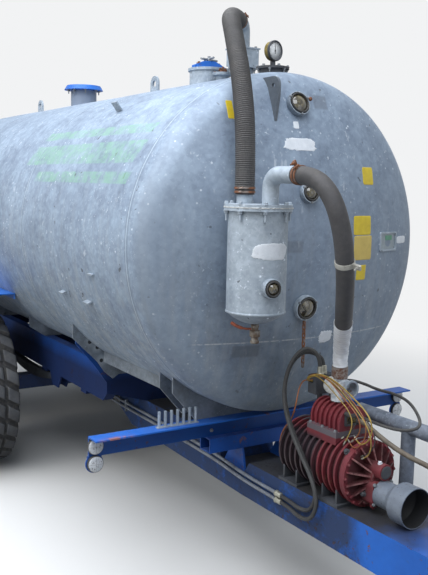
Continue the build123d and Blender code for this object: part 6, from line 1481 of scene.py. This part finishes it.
# %% Gauge
GAUGE_AT = np.array([SEAM_X - 0.082, 0.0, TOP_Z + 0.122])
GAUGE_WAY = np.array([math.cos(math.radians(10)), math.sin(math.radians(10)), 0.0])
GAUGE_R, GAUGE_HALF = 0.054, 0.021
DIAL, TICKS_R = 0.0146, 0.0405
dial_white = plastic("dial", "e9ebea", "d9dcdc", rough=0.28, soil=0.06, coat=0.5)
dial_ink = plastic("dial ink", "202124", "2c2d30", rough=0.5, soil=0.0)
drum = [(-GAUGE_HALF, TIP), (-GAUGE_HALF, 0.046), (-GAUGE_HALF + 0.004, 0.0505), (0.012, 0.0505),
        (0.012, 0.048), (0.012, TIP)]
rim = [(0.008, 0.050), (0.008, GAUGE_R), (0.019, GAUGE_R), (GAUGE_HALF, 0.0515), (GAUGE_HALF, 0.0475),
       (0.0135, 0.0465), (0.0135, 0.040)]
dial = [(0.012, TIP), (0.012, 0.0468), (DIAL, 0.0468), (0.0148, TIP)]
hub = [(0.0148, 0.0045), (0.0180, 0.0040), (0.0186, TIP)]
lathe("gauge_drum", drum, 0.002, GAUGE_AT, GAUGE_WAY, 72, brass, "gauge_face", replaced=["gauge"])
lathe("gauge_rim", rim, 0.0012, GAUGE_AT, GAUGE_WAY, 72, *CAST)
lathe("gauge_dial", dial, 0, GAUGE_AT, GAUGE_WAY, 72, dial_white, "gauge_face")
lathe("gauge_hub", hub, 0, GAUGE_AT, GAUGE_WAY, 20, dial_ink, "dark_cast")
dial_across = np.cross(UP, GAUGE_WAY)
tick_angle = np.radians(np.linspace(-135, 135, 28))
tick_out = np.sin(tick_angle)[:, None] * dial_across + np.cos(tick_angle)[:, None] * np.array(UP)
u, v, _ = axes_for(GAUGE_WAY)[0]
tick_turns = np.arctan2(-(tick_out @ u), tick_out @ v)
flat = np.array([(-1, -1), (1, -1), (1, 1), (-1, 1)]) * [0.0006, 0.0035]
tick_points = np.concatenate([np.column_stack([flat, np.full(4, height)]) for height in (0.0, 0.0006)])
tick_faces = [np.array([(0, 3, 2, 1), (4, 5, 6, 7), (0, 1, 5, 4), (1, 2, 6, 5), (2, 3, 7, 6), (3, 0, 4, 7)])]
tick_places = GAUGE_AT + GAUGE_WAY * DIAL + tick_out * TICKS_R
ticks = copies("gauge_ticks", (tick_points, tick_faces), tick_places, GAUGE_WAY, tick_turns)
wear(ticks, dial_ink, "dark_cast")
pointer = np.array([(-0.0018, -0.016), (0.0018, -0.016), (0.0012, 0.010), (0.0004, 0.036), (-0.0004, 0.036),
                    (-0.0012, 0.010)])
needle = solid_plate("gauge_needle", pointer, 0.0008, GAUGE_AT + GAUGE_WAY * (DIAL + 0.001), dial_across, UP,
                     GAUGE_WAY, 0.0002)
wear(needle, dial_ink, "dark_cast")
print("gauge with", len(tick_angle), "ticks")

# %% [markdown]
# ## Bolts on the top fittings
# Each flange on the tank's top has its ring of bolts. One list of rings gives them all: a centre, a
# radius, how many, and which way they point.

# %% Rings of bolts
DOWN = (0.0, 0.0, -1.0)
GAUGE_X, VALVE_X, NECK_X, RELIEF_X = GAUGE_AT[0], SEAM_X - 0.369, SEAM_X - 0.725, SEAM_X - 2.600
# columns are name, centre, circle, how many, way, size, stud
TOP_RINGS = [
    ("gauge_flange_bolts", (GAUGE_X, 0, TOP_Z + 0.038), 0.080, 6, UP, 0.0065, 0.0),
    ("gauge_flange_studs", (GAUGE_X, 0, TOP_Z + 0.026), 0.080, 6, DOWN, 0.0060, 0.020),
    ("valve_flange_bolts", (VALVE_X, 0, TOP_Z + 0.060), 0.0705, 8, DOWN, 0.0065, 0.022),
    ("relief_neck_bolts", (RELIEF_X, 0, TOP_Z + 0.126), 0.118, 8, DOWN, 0.0080, 0.030),
]
for name, centre, radius, count, way, size, stud in TOP_RINGS:
    bolts(name, bolt_ring(centre, radius, count, way, 0.3), way, size, bare_steel, stud=stud)
corner = 0.052
lid_bolts = [(VALVE_X + a, b, TOP_Z + 0.171) for a in (-corner, corner) for b in (-corner, corner)]
bolts("valve_lid_bolts", lid_bolts, UP, 0.0065, bare_steel)
print("rings", len(TOP_RINGS))

# %% Second small flange between the neck and the valve, with its wing nut
SMALL_AT = np.array([SEAM_X - 0.540, -0.02, TOP_Z])
small = [(-0.02, 0.040), (0.034, 0.040), (0.036, 0.058), (0.044, 0.058), (0.045, 0.058), (0.053, 0.058),
         (0.053, 0.012), (0.053, TIP)]
lathe("small_flange", small, 0.0015, SMALL_AT, UP, 48, *ZINC)
small_ring = bolt_ring(SMALL_AT + [0, 0, 0.053], 0.047, 4, start=0.8)
bolts("small_flange_bolts", small_ring, UP, 0.0055, clamp_rust)
wing = np.array([(-0.030, 0.004), (-0.024, 0.018), (-0.012, 0.022), (-0.006, 0.008), (0.006, 0.008),
                 (0.012, 0.022), (0.024, 0.018), (0.030, 0.004), (0.010, -0.004), (-0.010, -0.004)])[::-1]
wear(solid_plate("wing_nut", wing, 0.005, SMALL_AT + [0.0025, 0, 0.060], (0, -1, 0), UP, (-1, 0, 0), 0.001),
     rust, "bare_steel")
wing_screw = [(0.05, 0.006), (0.088, 0.006), (0.090, TIP)]
lathe("wing_screw", wing_screw, 0.001, SMALL_AT, UP, 16, rust, "bare_steel")
print("small flange and wing nut")

# %% [markdown]
# ## The manhole's clamp
# The clamp is a blue channel across the lid. It has a rusty nut near each end, and a steel screw
# with a T-shaped handle in the middle. All of it lifts with the lid, so it rides on the lid's body.

# %% Channel, nuts and handle
LID = "manhole_lid"
CLAMP_TOP = TOP_Z + 0.078 + 0.0003 + 0.016
CHANNEL_HALF, CHANNEL_HIGH = 0.094, 0.020
NUT_TOP = CLAMP_TOP + CHANNEL_HIGH - 0.004
channel = outline_box((0, 0), (0.024, CHANNEL_HALF), 0.12, count=48)
channel_at = (NECK_X, 0, CLAMP_TOP - 0.004)
wear(solid_plate("clamp_channel", channel, CHANNEL_HIGH, channel_at, AHEAD, LEFT, UP, 0.002),
     fender_paint, "fender_light_blue", body=LID)
clamp_nuts = [(NECK_X, side, NUT_TOP) for side in (-0.070, 0.070)]
bolts("clamp_nuts", clamp_nuts, UP, 0.0135, clamp_rust, body=LID, stud=0.024)


def handle_radius(spot, angle):
    return 0.0065 + 0 * spot * angle


handle_line = np.array([(-0.016, 0.066, 0.040), (0, 0, 0.040), (0.016, -0.066, 0.040)]) + [NECK_X, 0, NUT_TOP]
wear(tube("clamp_handle", handle_line, handle_radius, 16, 0.012), *STEEL, body=LID)
post = [(-0.01, 0.010), (0.030, 0.010), (0.032, 0.013), (0.046, 0.013), (0.048, TIP)]
lathe("clamp_post", post, 0.001, (NECK_X, 0, NUT_TOP), UP, 20, *STEEL, body=LID)
print("clamp nuts", len(clamp_nuts))

# %% [markdown]
# ## Pump fittings
# The cast solids of the pump are right as they are. What they lack is what a mechanic would touch:
# cover bolts, a lifting eye, oil plugs, and a nut and a cap on the boss.

# %% Bolts, plugs and caps on the pump
PUMP_Y, PUMP_Z = -0.035, 0.844
PTO_Z = AXIS_Z - 1.070
BOSS_Z = PUMP_Z + 0.038
COVER_FACE = SEAM_X + 0.8003 + 0.026
GEAR_FACE = COVER_FACE + 0.088
BOSS_FACE = COVER_FACE - 0.013 + 0.118
RED = (pump_paint, "pump_red")
cover_ring = bolt_ring((COVER_FACE, PUMP_Y, PUMP_Z), 0.152, 14, AHEAD)
clear_of_gearcase = ~((cover_ring[:, 2] < PTO_Z + 0.062) & (np.abs(cover_ring[:, 1] - PUMP_Y) < 0.066))
bolts("cover_bolts", cover_ring[clear_of_gearcase], AHEAD, 0.0062, *RED)
gear_bolts = [(GEAR_FACE, PUMP_Y + a, PTO_Z + b) for a in (-0.050, 0.050) for b in (-0.046, 0.046)]
bolts("gear_case_bolts", gear_bolts, AHEAD, 0.0065, bare_steel, "pump_red")
boss_cap = [(-0.004, 0.031), (0.003, 0.031), (0.005, 0.024), (0.0055, 0.010), (0.006, TIP)]
lathe("boss_cap", boss_cap, 0.001, (BOSS_FACE, PUMP_Y, BOSS_Z), AHEAD, 40, *CAST)
bolts("boss_nut", (BOSS_FACE - 0.030, PUMP_Y - 0.010, BOSS_Z + 0.036), (0.0, -0.25, 0.97), 0.0075, white_film,
      "fitting_galvanised")
plug_places = [(COVER_FACE - 0.040, PUMP_Y - 0.110, PUMP_Z + 0.112),
               (COVER_FACE + 0.030, PUMP_Y - 0.0595, PTO_Z - 0.010),
               (COVER_FACE + 0.052, PUMP_Y + 0.0595, PTO_Z + 0.010)]
plug_ways = [(0.0, -0.7, 0.71), (0, -1, 0), LEFT]
bolts("oil_plugs", plug_places, plug_ways, 0.010, *CAST, sunk=0.006)
drain_places = [(COVER_FACE + a, PUMP_Y - 0.036, PTO_Z - 0.056) for a in (0.018, 0.070)]
drain_lug = turned_shape([(-0.004, 0.016), (0.008, 0.015), (0.012, 0.011), (0.014, 0.006), (0.020, 0.005),
                          (0.021, 0.0005)], 14)
wear(copies("drain_lugs", drain_lug, drain_places, DOWN, smooth=True), *RED)
print("pump bolts", int(clear_of_gearcase.sum()), "and", len(gear_bolts))

# %% Lifting eye on the cover, a ring whose section is a circle
def torus(name, centre, way, ring_r, wire_r, around=40, across=12):
    """A ring: a point is the centre, plus the ring's radius and the wire's cosine outwards, plus the
    wire's sine along the axis."""
    u, v, w = axes_for(way)[0]
    turn = np.linspace(0, 2 * np.pi, around, endpoint=False)[:, None, None]
    bend = np.linspace(0, 2 * np.pi, across, endpoint=False)[None, :, None]
    out = np.cos(turn) * u + np.sin(turn) * v
    grid = np.array(centre, float) + out * (ring_r + wire_r * np.cos(bend)) + w * wire_r * np.sin(bend)
    return grid_piece(name, grid, wrap_rows=True, flip=True)


EYE_AT = np.array([COVER_FACE - 0.014, PUMP_Y + 0.012, PUMP_Z + 0.158])
wear(torus("pump_eye", EYE_AT + [0, 0, 0.024], (0.3, 1, 0), 0.017, 0.0048), *RED)
eye_foot = [(-0.006, 0.013), (0.004, 0.013), (0.008, 0.008), (0.010, TIP)]
lathe("pump_eye_foot", eye_foot, 0.001, EYE_AT, UP, 24, *RED)
print("lifting eye at", np.round(EYE_AT, 3).tolist())

# %% White cap and the open port's rim
PORT_Z = AXIS_Z - 0.712 + 0.112 - 0.038
CAP_AT = np.array([SEAM_X + 0.590 - 0.008, PUMP_Y - 0.037, PORT_Z + 0.004])
white_cap = [(-0.010, 0.042), (0.006, 0.042), (0.010, 0.038), (0.010, 0.012), (0.007, 0.008), (0.007, TIP)]
lathe("port_cap", white_cap, 0.0015, CAP_AT, (0.72, -0.69, 0.05), 48, gasket_white, "fitting_galvanised")
lip = [(-0.012, 0.0385), (-0.012, 0.043), (0.0008, 0.043), (0.0008, 0.0335), (-0.003, 0.0335)]
lathe("port_lip", lip, 0.001, (SEAM_X + 0.682, PUMP_Y, PORT_Z), AHEAD, 48, *ZINC, caps=False)
print("port cap at", np.round(CAP_AT, 3).tolist())

# %% [markdown]
# ## Manifold collar
# The ribbed arch stands on a broad grey collar that is bolted down, with a small sight window in its
# front. Both are plates on the solid's own faces.

# %% Collar bolts and window
low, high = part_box("pump_manifold")
COLLAR_UP = PUMP_Z + 0.154 + 0.022
collar_bolts = [(low[0] + a, PUMP_Y + b, COLLAR_UP) for a in (0.016, 0.107, 0.198) for b in (-0.0965, 0.0965)]
bolts("collar_bolts", collar_bolts, UP, 0.0062, *STEEL)
on_front = ((high[0], PUMP_Y - 0.010, COLLAR_UP + 0.052), LEFT, UP, AHEAD)
pane = outline_box((0, 0), (0.036, 0.019), 0.2, count=40)
window_edge = outline_box((0, 0), (0.046, 0.028), 0.2, count=40)
wear(ring_plate("window_rim", window_edge, pane, 0.007, *on_front), *CAST)
wear(solid_plate("window_pane", pane * 1.02, 0.003, *on_front, 0.0005), brown_glass, "glass_dark")
print("collar bolts", len(collar_bolts))

# %% [markdown]
# ## Shaft end
# Inside the guard the splined stub ends in a plain collar, greasy and dark. The splines are a radius
# that rises and falls with the cosine of six times the angle.

# %% Splined stub
def splines(height, angle):
    return 0.0013 * np.clip(np.cos(angle * 6) * 4, -1, 1) * ((height > 0.022) & (height < 0.078))


stub = [(-0.026, 0.0170), (0.0015, 0.0170), (0.002, 0.0270), (0.020, 0.0270), (0.021, 0.0160),
        (0.024, 0.0160), (0.025, 0.0160), (0.056, 0.0160), (0.057, 0.0135), (0.062, 0.0135), (0.063, 0.0160),
        (0.073, 0.0160), (0.076, 0.0130), (0.076, TIP)]
greasy = metal("greasy steel", "4a4b4c", "6d6e6e", metallic=0.7, rough=0.35, soil=0.6)
lathe("pto_splines", stub, 0, (GEAR_FACE, PUMP_Y, PTO_Z), AHEAD, 96, greasy, "bare_steel", body="pto_stub",
      replaced=["pto_stub"], swell=splines)
print("stub ends at", round(GEAR_FACE + stub[-1][0], 3))

# %% [markdown]
# ## Front lamps
# Each front lamp is a round lens in a rubber ring on the bar's upright leg, or on the tab below it.
# The lens has fine moulded ribs, which are a small swell of its radius, and specks of mud.

# %% Lamps
LENS_PLACES = {"upper": 0.874, "lower": 0.784}
LEG_FACE, LENS_Y = SEAM_X + 0.022 - 0.096 + 0.008, 1.025


def lens_marks(f, colour, roughness):
    # specks of mud, and a faint moulded cross in every lens
    speck = f.noise(95.0, 4.0, 0.7, lift=2.0).rises(0.575, 0.605)
    colour = f.mix(speck * 0.9, colour, rgb("34373b"))
    for sign in (-1, 1):
        for height in LENS_PLACES.values():
            up = (f.z - height).abs()
            across = (f.y - sign * LENS_Y).abs()
            cross = (up.rises(0.0020, 0.0008) + across.rises(0.0020, 0.0008)).clamped()
            cross = cross * f.near((LEG_FACE + 0.02, sign * LENS_Y, height), 0.040, 0.001)
            colour = f.mix(cross * 0.4, colour, rgb("5b6068"))
    return colour, roughness + speck * 0.3


def lens_ribs(height, angle):
    # fine ribs round the lens's face
    return 0.0004 * np.cos(angle * 24)


lens_finish = plastic("clear lens", "d6dade", "b2b8c0", rough=0.22, soil=0.35, coat=0.5, extra=lens_marks)
lens = [(-0.002, 0.0408), (0.014, 0.0408), (0.019, 0.0385), (0.0222, 0.030), (0.0238, 0.014), (0.0240, TIP)]
lamp_ring = [(-0.002, 0.0395), (-0.002, 0.0412), (0.004, 0.0415), (0.016, 0.0415), (0.0178, 0.0400),
             (0.017, 0.0380)]
for sign, hand in ((-1, "right"), (1, "left")):
    for which, height in LENS_PLACES.items():
        spot = (LEG_FACE, sign * LENS_Y, height)
        stands_for = ["front_lamps"] if (hand, which) == ("right", "upper") else []
        lathe(f"lamp_{hand}_{which}", lens, 0.002, spot, AHEAD, 96, lens_finish, "lens_clear",
              replaced=stands_for, swell=lens_ribs)
        lathe(f"lamp_ring_{hand}_{which}", lamp_ring, 0.0012, spot, AHEAD, 72, black_rubber, "dark_cast",
              caps=False)
bolts("light_bar_bolts", [(LEG_FACE, sign * 0.345, 0.852) for sign in (-1, 1)], AHEAD, 0.0070, bare_steel)
print("front lamps at", round(LEG_FACE, 4), LENS_Y)

# %% [markdown]
# ## Tyres
# The tread is a farm trailer's block tread: rows of slanted blocks with deep grooves between them.
# One closed grid gives a whole tyre. Rows run round the axle and columns run from one bead across
# the tread to the other. The radius is the carcass's profile plus the lug height where a mask says
# block. The rows shear with the distance across, so the blocks slant one way over the whole tread.

# %% Tyre grid
TYRE_R, TYRE_HALF, LUG = 0.585, 0.250, 0.021
INNER_HALF, INNER_R = 0.26, 0.300
PITCHES, STEPS = 26, 16
SLANT = 1.15
# columns are distance across and radius, from the bead to the shoulder
CARCASS = np.array([
    (0.196, 0.282), (0.214, 0.284), (0.221, 0.294), (0.224, 0.306), (0.232, 0.326), (0.241, 0.356),
    (0.2465, 0.392), (0.248, 0.425), (0.2465, 0.458), (0.242, 0.486), (0.236, 0.508), (0.2290, 0.526),
])
# where the tread's columns are, as parts of the half width: close together at the narrow groove
TREAD = np.concatenate([np.linspace(0.905, 0.60, 7), [0.565, 0.545, 0.525, 0.5125, 0.500, 0.480, 0.460],
                        np.linspace(0.40, 0.03, 6)])
INNER = np.array([-0.74, -0.4, 0.0, 0.4, 0.74])
# the blocks run on a little way down the sidewall: how many columns from the shoulder, and how much
SHOULDER_SHARES = ((1, 0.95), (2, 0.70), (3, 0.35))


def soft_step(value, low, high):
    part = np.clip((value - low) / (high - low), 0.0, 1.0)
    return part * part * (3.0 - 2.0 * part)


def block_mask(along, across):
    """1 on a block and 0 in a groove. along counts pitches and wraps at whole numbers, and across is
    the distance from the tyre's middle as a part of the half width. Narrow grooves part the two
    shoulder rows from the broad middle row, and the shoulder blocks sit a little on from it."""
    reach = np.abs(across)
    middle = soft_step(reach, 0.500, 0.460)
    shoulder = soft_step(reach, 0.525, 0.565)
    local = np.abs(((along + 0.12 * np.sign(across) * (reach > 0.51)) % 1.0) - 0.5)
    return (middle + shoulder) * soft_step(local, 0.385, 0.335)


def tyre_grid(facing):
    """The tyre about the Y axis, at the origin, and how much of a lug each point is. facing is 1 or
    -1, the side that its blocks lean to."""
    tread = np.concatenate([TREAD, -TREAD[::-1]])
    crown = TYRE_R - LUG - 0.010 * np.abs(tread) ** 2.2 - 0.018 * soft_step(np.abs(tread), 0.84, 1.06)
    sides = [CARCASS[:, 0], tread * TYRE_HALF, -CARCASS[::-1, 0]]
    across = np.concatenate([*sides, INNER * INNER_HALF])
    radius = np.concatenate([CARCASS[:, 1], crown, CARCASS[::-1, 1], np.full(len(INNER), INNER_R)])
    v = np.concatenate([np.concatenate(sides) / TYRE_HALF, INNER])
    count = len(CARCASS)
    lift = np.zeros(len(v))
    lift[count:count + len(tread)] = 1.0
    outward = np.zeros(len(v))
    for back, share in SHOULDER_SHARES:
        place, mirror = count - back, count + len(tread) - 1 + back
        lift[place] = lift[mirror] = share
        outward[place], outward[mirror] = 0.30, -0.30
    along = np.arange(PITCHES * STEPS)[:, None] / STEPS
    slant = facing * SLANT * v * (radius > 0.35)
    mask = block_mask(along, np.clip(v, -0.9, 0.9)[None, :]) * lift
    angle = 2 * np.pi * (along + slant[None, :]) / PITCHES
    reach = radius[None, :] + mask * LUG
    side = across[None, :] + outward * mask * LUG + 0 * angle
    grid = np.stack([reach * np.sin(angle), side, reach * np.cos(angle)], axis=2)
    tops = np.where((lift > 0)[None, :], mask, 1.0)
    return grid, np.stack([tops, 0 * tops], axis=2)


grid, tops = tyre_grid(1)
print("tyre grid", grid.shape, "widest", round(float(np.abs(grid[..., 1]).max()), 4),
      "tallest", round(float(np.hypot(grid[..., 0], grid[..., 2]).max()), 4))

# %% [markdown]
# ## Fit the tyres and the wheel nuts
# Every wheel rides on its own body, so its tyre, nuts and valve do too. Tyres on the two sides lean
# opposite ways, as a pair does.

# %% Four tyres, forty nuts
WHEEL_Z, WHEEL_Y = 0.585, 0.960
WHEEL_X = {"front": SEAM_X - 2.600, "rear": SEAM_X - 3.950}
NUT_RING, NUT_OUT = 0.1675, 0.030
stem = [(-0.006, 0.0055), (0.018, 0.0052), (0.020, 0.0042), (0.034, 0.0042), (0.036, TIP)]
for end, wheel_x in WHEEL_X.items():
    for hand, sign in (("right", -1), ("left", 1)):
        place = np.array([wheel_x, sign * WHEEL_Y, WHEEL_Z])
        body = f"wheel_{end}_{hand}"
        grid, tops = tyre_grid(-sign)
        made = grid_piece(f"tread_{end}_{hand}", grid + place, wrap_rows=True, uv=tops)
        wear(made, tyre_rubber, "tyre_rubber", body, [f"tyre_{end}_{hand}"])
        turn = np.arange(10) * 2 * np.pi / 10
        out = np.full(10, sign * NUT_OUT)
        nuts = np.column_stack([NUT_RING * np.cos(turn), out, NUT_RING * np.sin(turn)])
        bolts(f"nuts_{end}_{hand}", place + nuts, (0, sign, 0), 0.0165, clamp_rust, body=body, stud=0.028)
        lathe(f"valve_{end}_{hand}", stem, 0.0008, place + [0.232, sign * 0.026, 0.0], (0, sign, 0), 16,
              black_rubber, "bare_steel", body)
print("tyre triangles each", 2 * grid.shape[0] * grid.shape[1])

# %% [markdown]
# ## Finishes for the carried-over solids
# Many solids already have the real shape, so they stay and only get a finish. A short table says
# which solids each finish covers. A solid that a made piece stands in for needs none.

# %% Who wears what
WORN_BY = [
    (fitting_zinc, "hose_comb trap_body trap_lid manhole_neck manhole_lid top_valve rear_neck rear_door "
                   "splash_plate"),
    (cast_iron, "leaf_springs pump_feet changeover_box gauge_mount outlet_valve"),
    (rim_paint, "rim_front_left rim_front_right rim_rear_left rim_rear_right"),
    (pump_paint, "pump_body pump_end_cover pump_manifold"), (fender_paint, "fenders rear_light_bar"),
    (chassis_paint, "chassis_frame cross_tube jack_sleeve"), (bare_steel, "drawbar_eye jack_leg"),
    (drawbar_paint, "drawbar"), (dark_paint, "axles"), (bar_paint, "light_bar"),
    (clamp_paint, "manhole_clamp"), (cap_paint, "relief_valve"), (saddle_zinc, "tank_saddles"),
    (lug_zinc, "shell_lugs"),
    (elbow_zinc, "air_elbows"), (pipe_zinc, "exhaust_pipe"), (steel_pipes, "drawbar_pipes"),
    (guard_grey, "pto_guard"), (lamp_red, "rear_lamps"), (clamp_rust, "hook_chain"),
]
FINISHES = {name: finish for finish, names in WORN_BY for name in names.split()}
for name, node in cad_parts.items():
    if name in FINISHES:
        node.data.materials.clear()
        node.data.materials.append(FINISHES[name])
    elif not node.hide_render:
        print("no finish for", name)
print("solids with a finish:", len(FINISHES))

# %% [markdown]
# ## Floor, light and the last measurements
# The machine stands on a plain pale floor that turns into the backdrop's white far from it. The
# light is a large soft lamp overhead, a second one in front, one from the left of the picture and a
# weak one to lift the shadows. The background is white because the floor and the world are white to
# the camera, not because there is more light.

# %% Floor
FLOOR_HALF = 60.0
BACKDROP = "f2f3f4"
SEEN_BY = ("Is Camera Ray", "Is Glossy Ray", "Is Transmission Ray")


def floor_material():
    """Pale where the camera, a mirror or a glass looks at it, and mid grey to the soft light that
    bounces off it, so the machine's underside stays as dark as over gravel. Farther from the
    machine it turns into the backdrop's own white, so no horizon shows."""
    f = Finish("studio floor")
    paths = f.node("ShaderNodeLightPath", {}, out=None)
    camera_ray, glossy, through = (Value(f, paths.outputs[ray]) for ray in SEEN_BY)
    seen = camera_ray.most(glossy).most(through)
    material = f.finish(f.mix(seen, rgb("6c6b68"), rgb("d9d9d7")), 0.9)
    glow = f.node("ShaderNodeEmission", {"Color": rgb(BACKDROP)})
    far = (f.x * f.x * 0.36 + f.y * f.y).sqrt().rises(2.6, 6.6)
    share = far * far * (3.0 - far * 2.0) * seen
    blend = f.node("ShaderNodeMixShader", {0: share, 1: Value(f, f.bsdf.outputs[0]), 2: glow})
    f.give(f.out.inputs["Surface"], blend)
    return material


corners = np.array([[-1, -1, 0], [1, -1, 0], [1, 1, 0], [-1, 1, 0]])
floor = mesh_piece("floor", corners * FLOOR_HALF, [np.array([[0, 1, 2, 3]])])
floor.data.materials.append(floor_material())
floor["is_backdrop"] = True

# %% World and lamps
world = bpy.data.worlds.new("studio")
world.use_nodes = True
tree = world.node_tree
tree.nodes.clear()
light_path = tree.nodes.new("ShaderNodeLightPath")
backdrop = tree.nodes.new("ShaderNodeBackground")
backdrop.inputs["Color"].default_value = (*rgb(BACKDROP), 1)
sky_light = tree.nodes.new("ShaderNodeBackground")
sky_light.inputs["Color"].default_value = (*rgb("dbe3ec"), 1)
sky_light.inputs["Strength"].default_value = 0.42
chosen = tree.nodes.new("ShaderNodeMixShader")
world_out = tree.nodes.new("ShaderNodeOutputWorld")
looked_at = light_path.outputs[SEEN_BY[0]]
for ray in SEEN_BY[1:]:
    either = tree.nodes.new("ShaderNodeMath")
    either.operation = "MAXIMUM"
    tree.links.new(looked_at, either.inputs[0])
    tree.links.new(light_path.outputs[ray], either.inputs[1])
    looked_at = either.outputs[0]
for index, socket in enumerate((looked_at, sky_light.outputs[0], backdrop.outputs[0])):
    tree.links.new(socket, chosen.inputs[index])
tree.links.new(chosen.outputs[0], world_out.inputs["Surface"])
bpy.context.scene.world = world
bpy.context.scene.view_settings.view_transform = "Standard"


def lamp(name, place, aim, size, watts, colour):
    # a square soft lamp that looks at a point
    data = bpy.data.lights.new(name, "AREA")
    data.size = size
    data.energy = watts
    data.color = rgb(colour)
    piece = shown(name, data)
    away = mathutils.Vector(place) - mathutils.Vector(aim)
    piece.rotation_euler = away.to_track_quat("Z", "Y").to_euler()
    piece.location = place


lamp("sky", (0.5, -3.0, 8.0), (0, 0, 1.6), 7.5, 860, "f6f9ff")
lamp("front sky", (6.5, -2.5, 8.0), (1.8, 0, 2.2), 4.5, 330, "f4f8ff")
lamp("key", (1.0, -9.0, 5.0), (-0.5, 0, 1.5), 4.5, 220, "fffaf2")
lamp("fill", (9.0, 2.0, 3.0), (1.0, 0, 1.2), 4.0, 45, "f2f6ff")
print("lamps and world set")

# %% Sizes, and the end
size = {"cad": [list(map(float, corner)) for corner in cad_box],
        "visual": [list(map(float, corner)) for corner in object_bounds()]}
print("cad", np.round(size["cad"], 3).tolist(), "visual", np.round(size["visual"], 3).tolist())
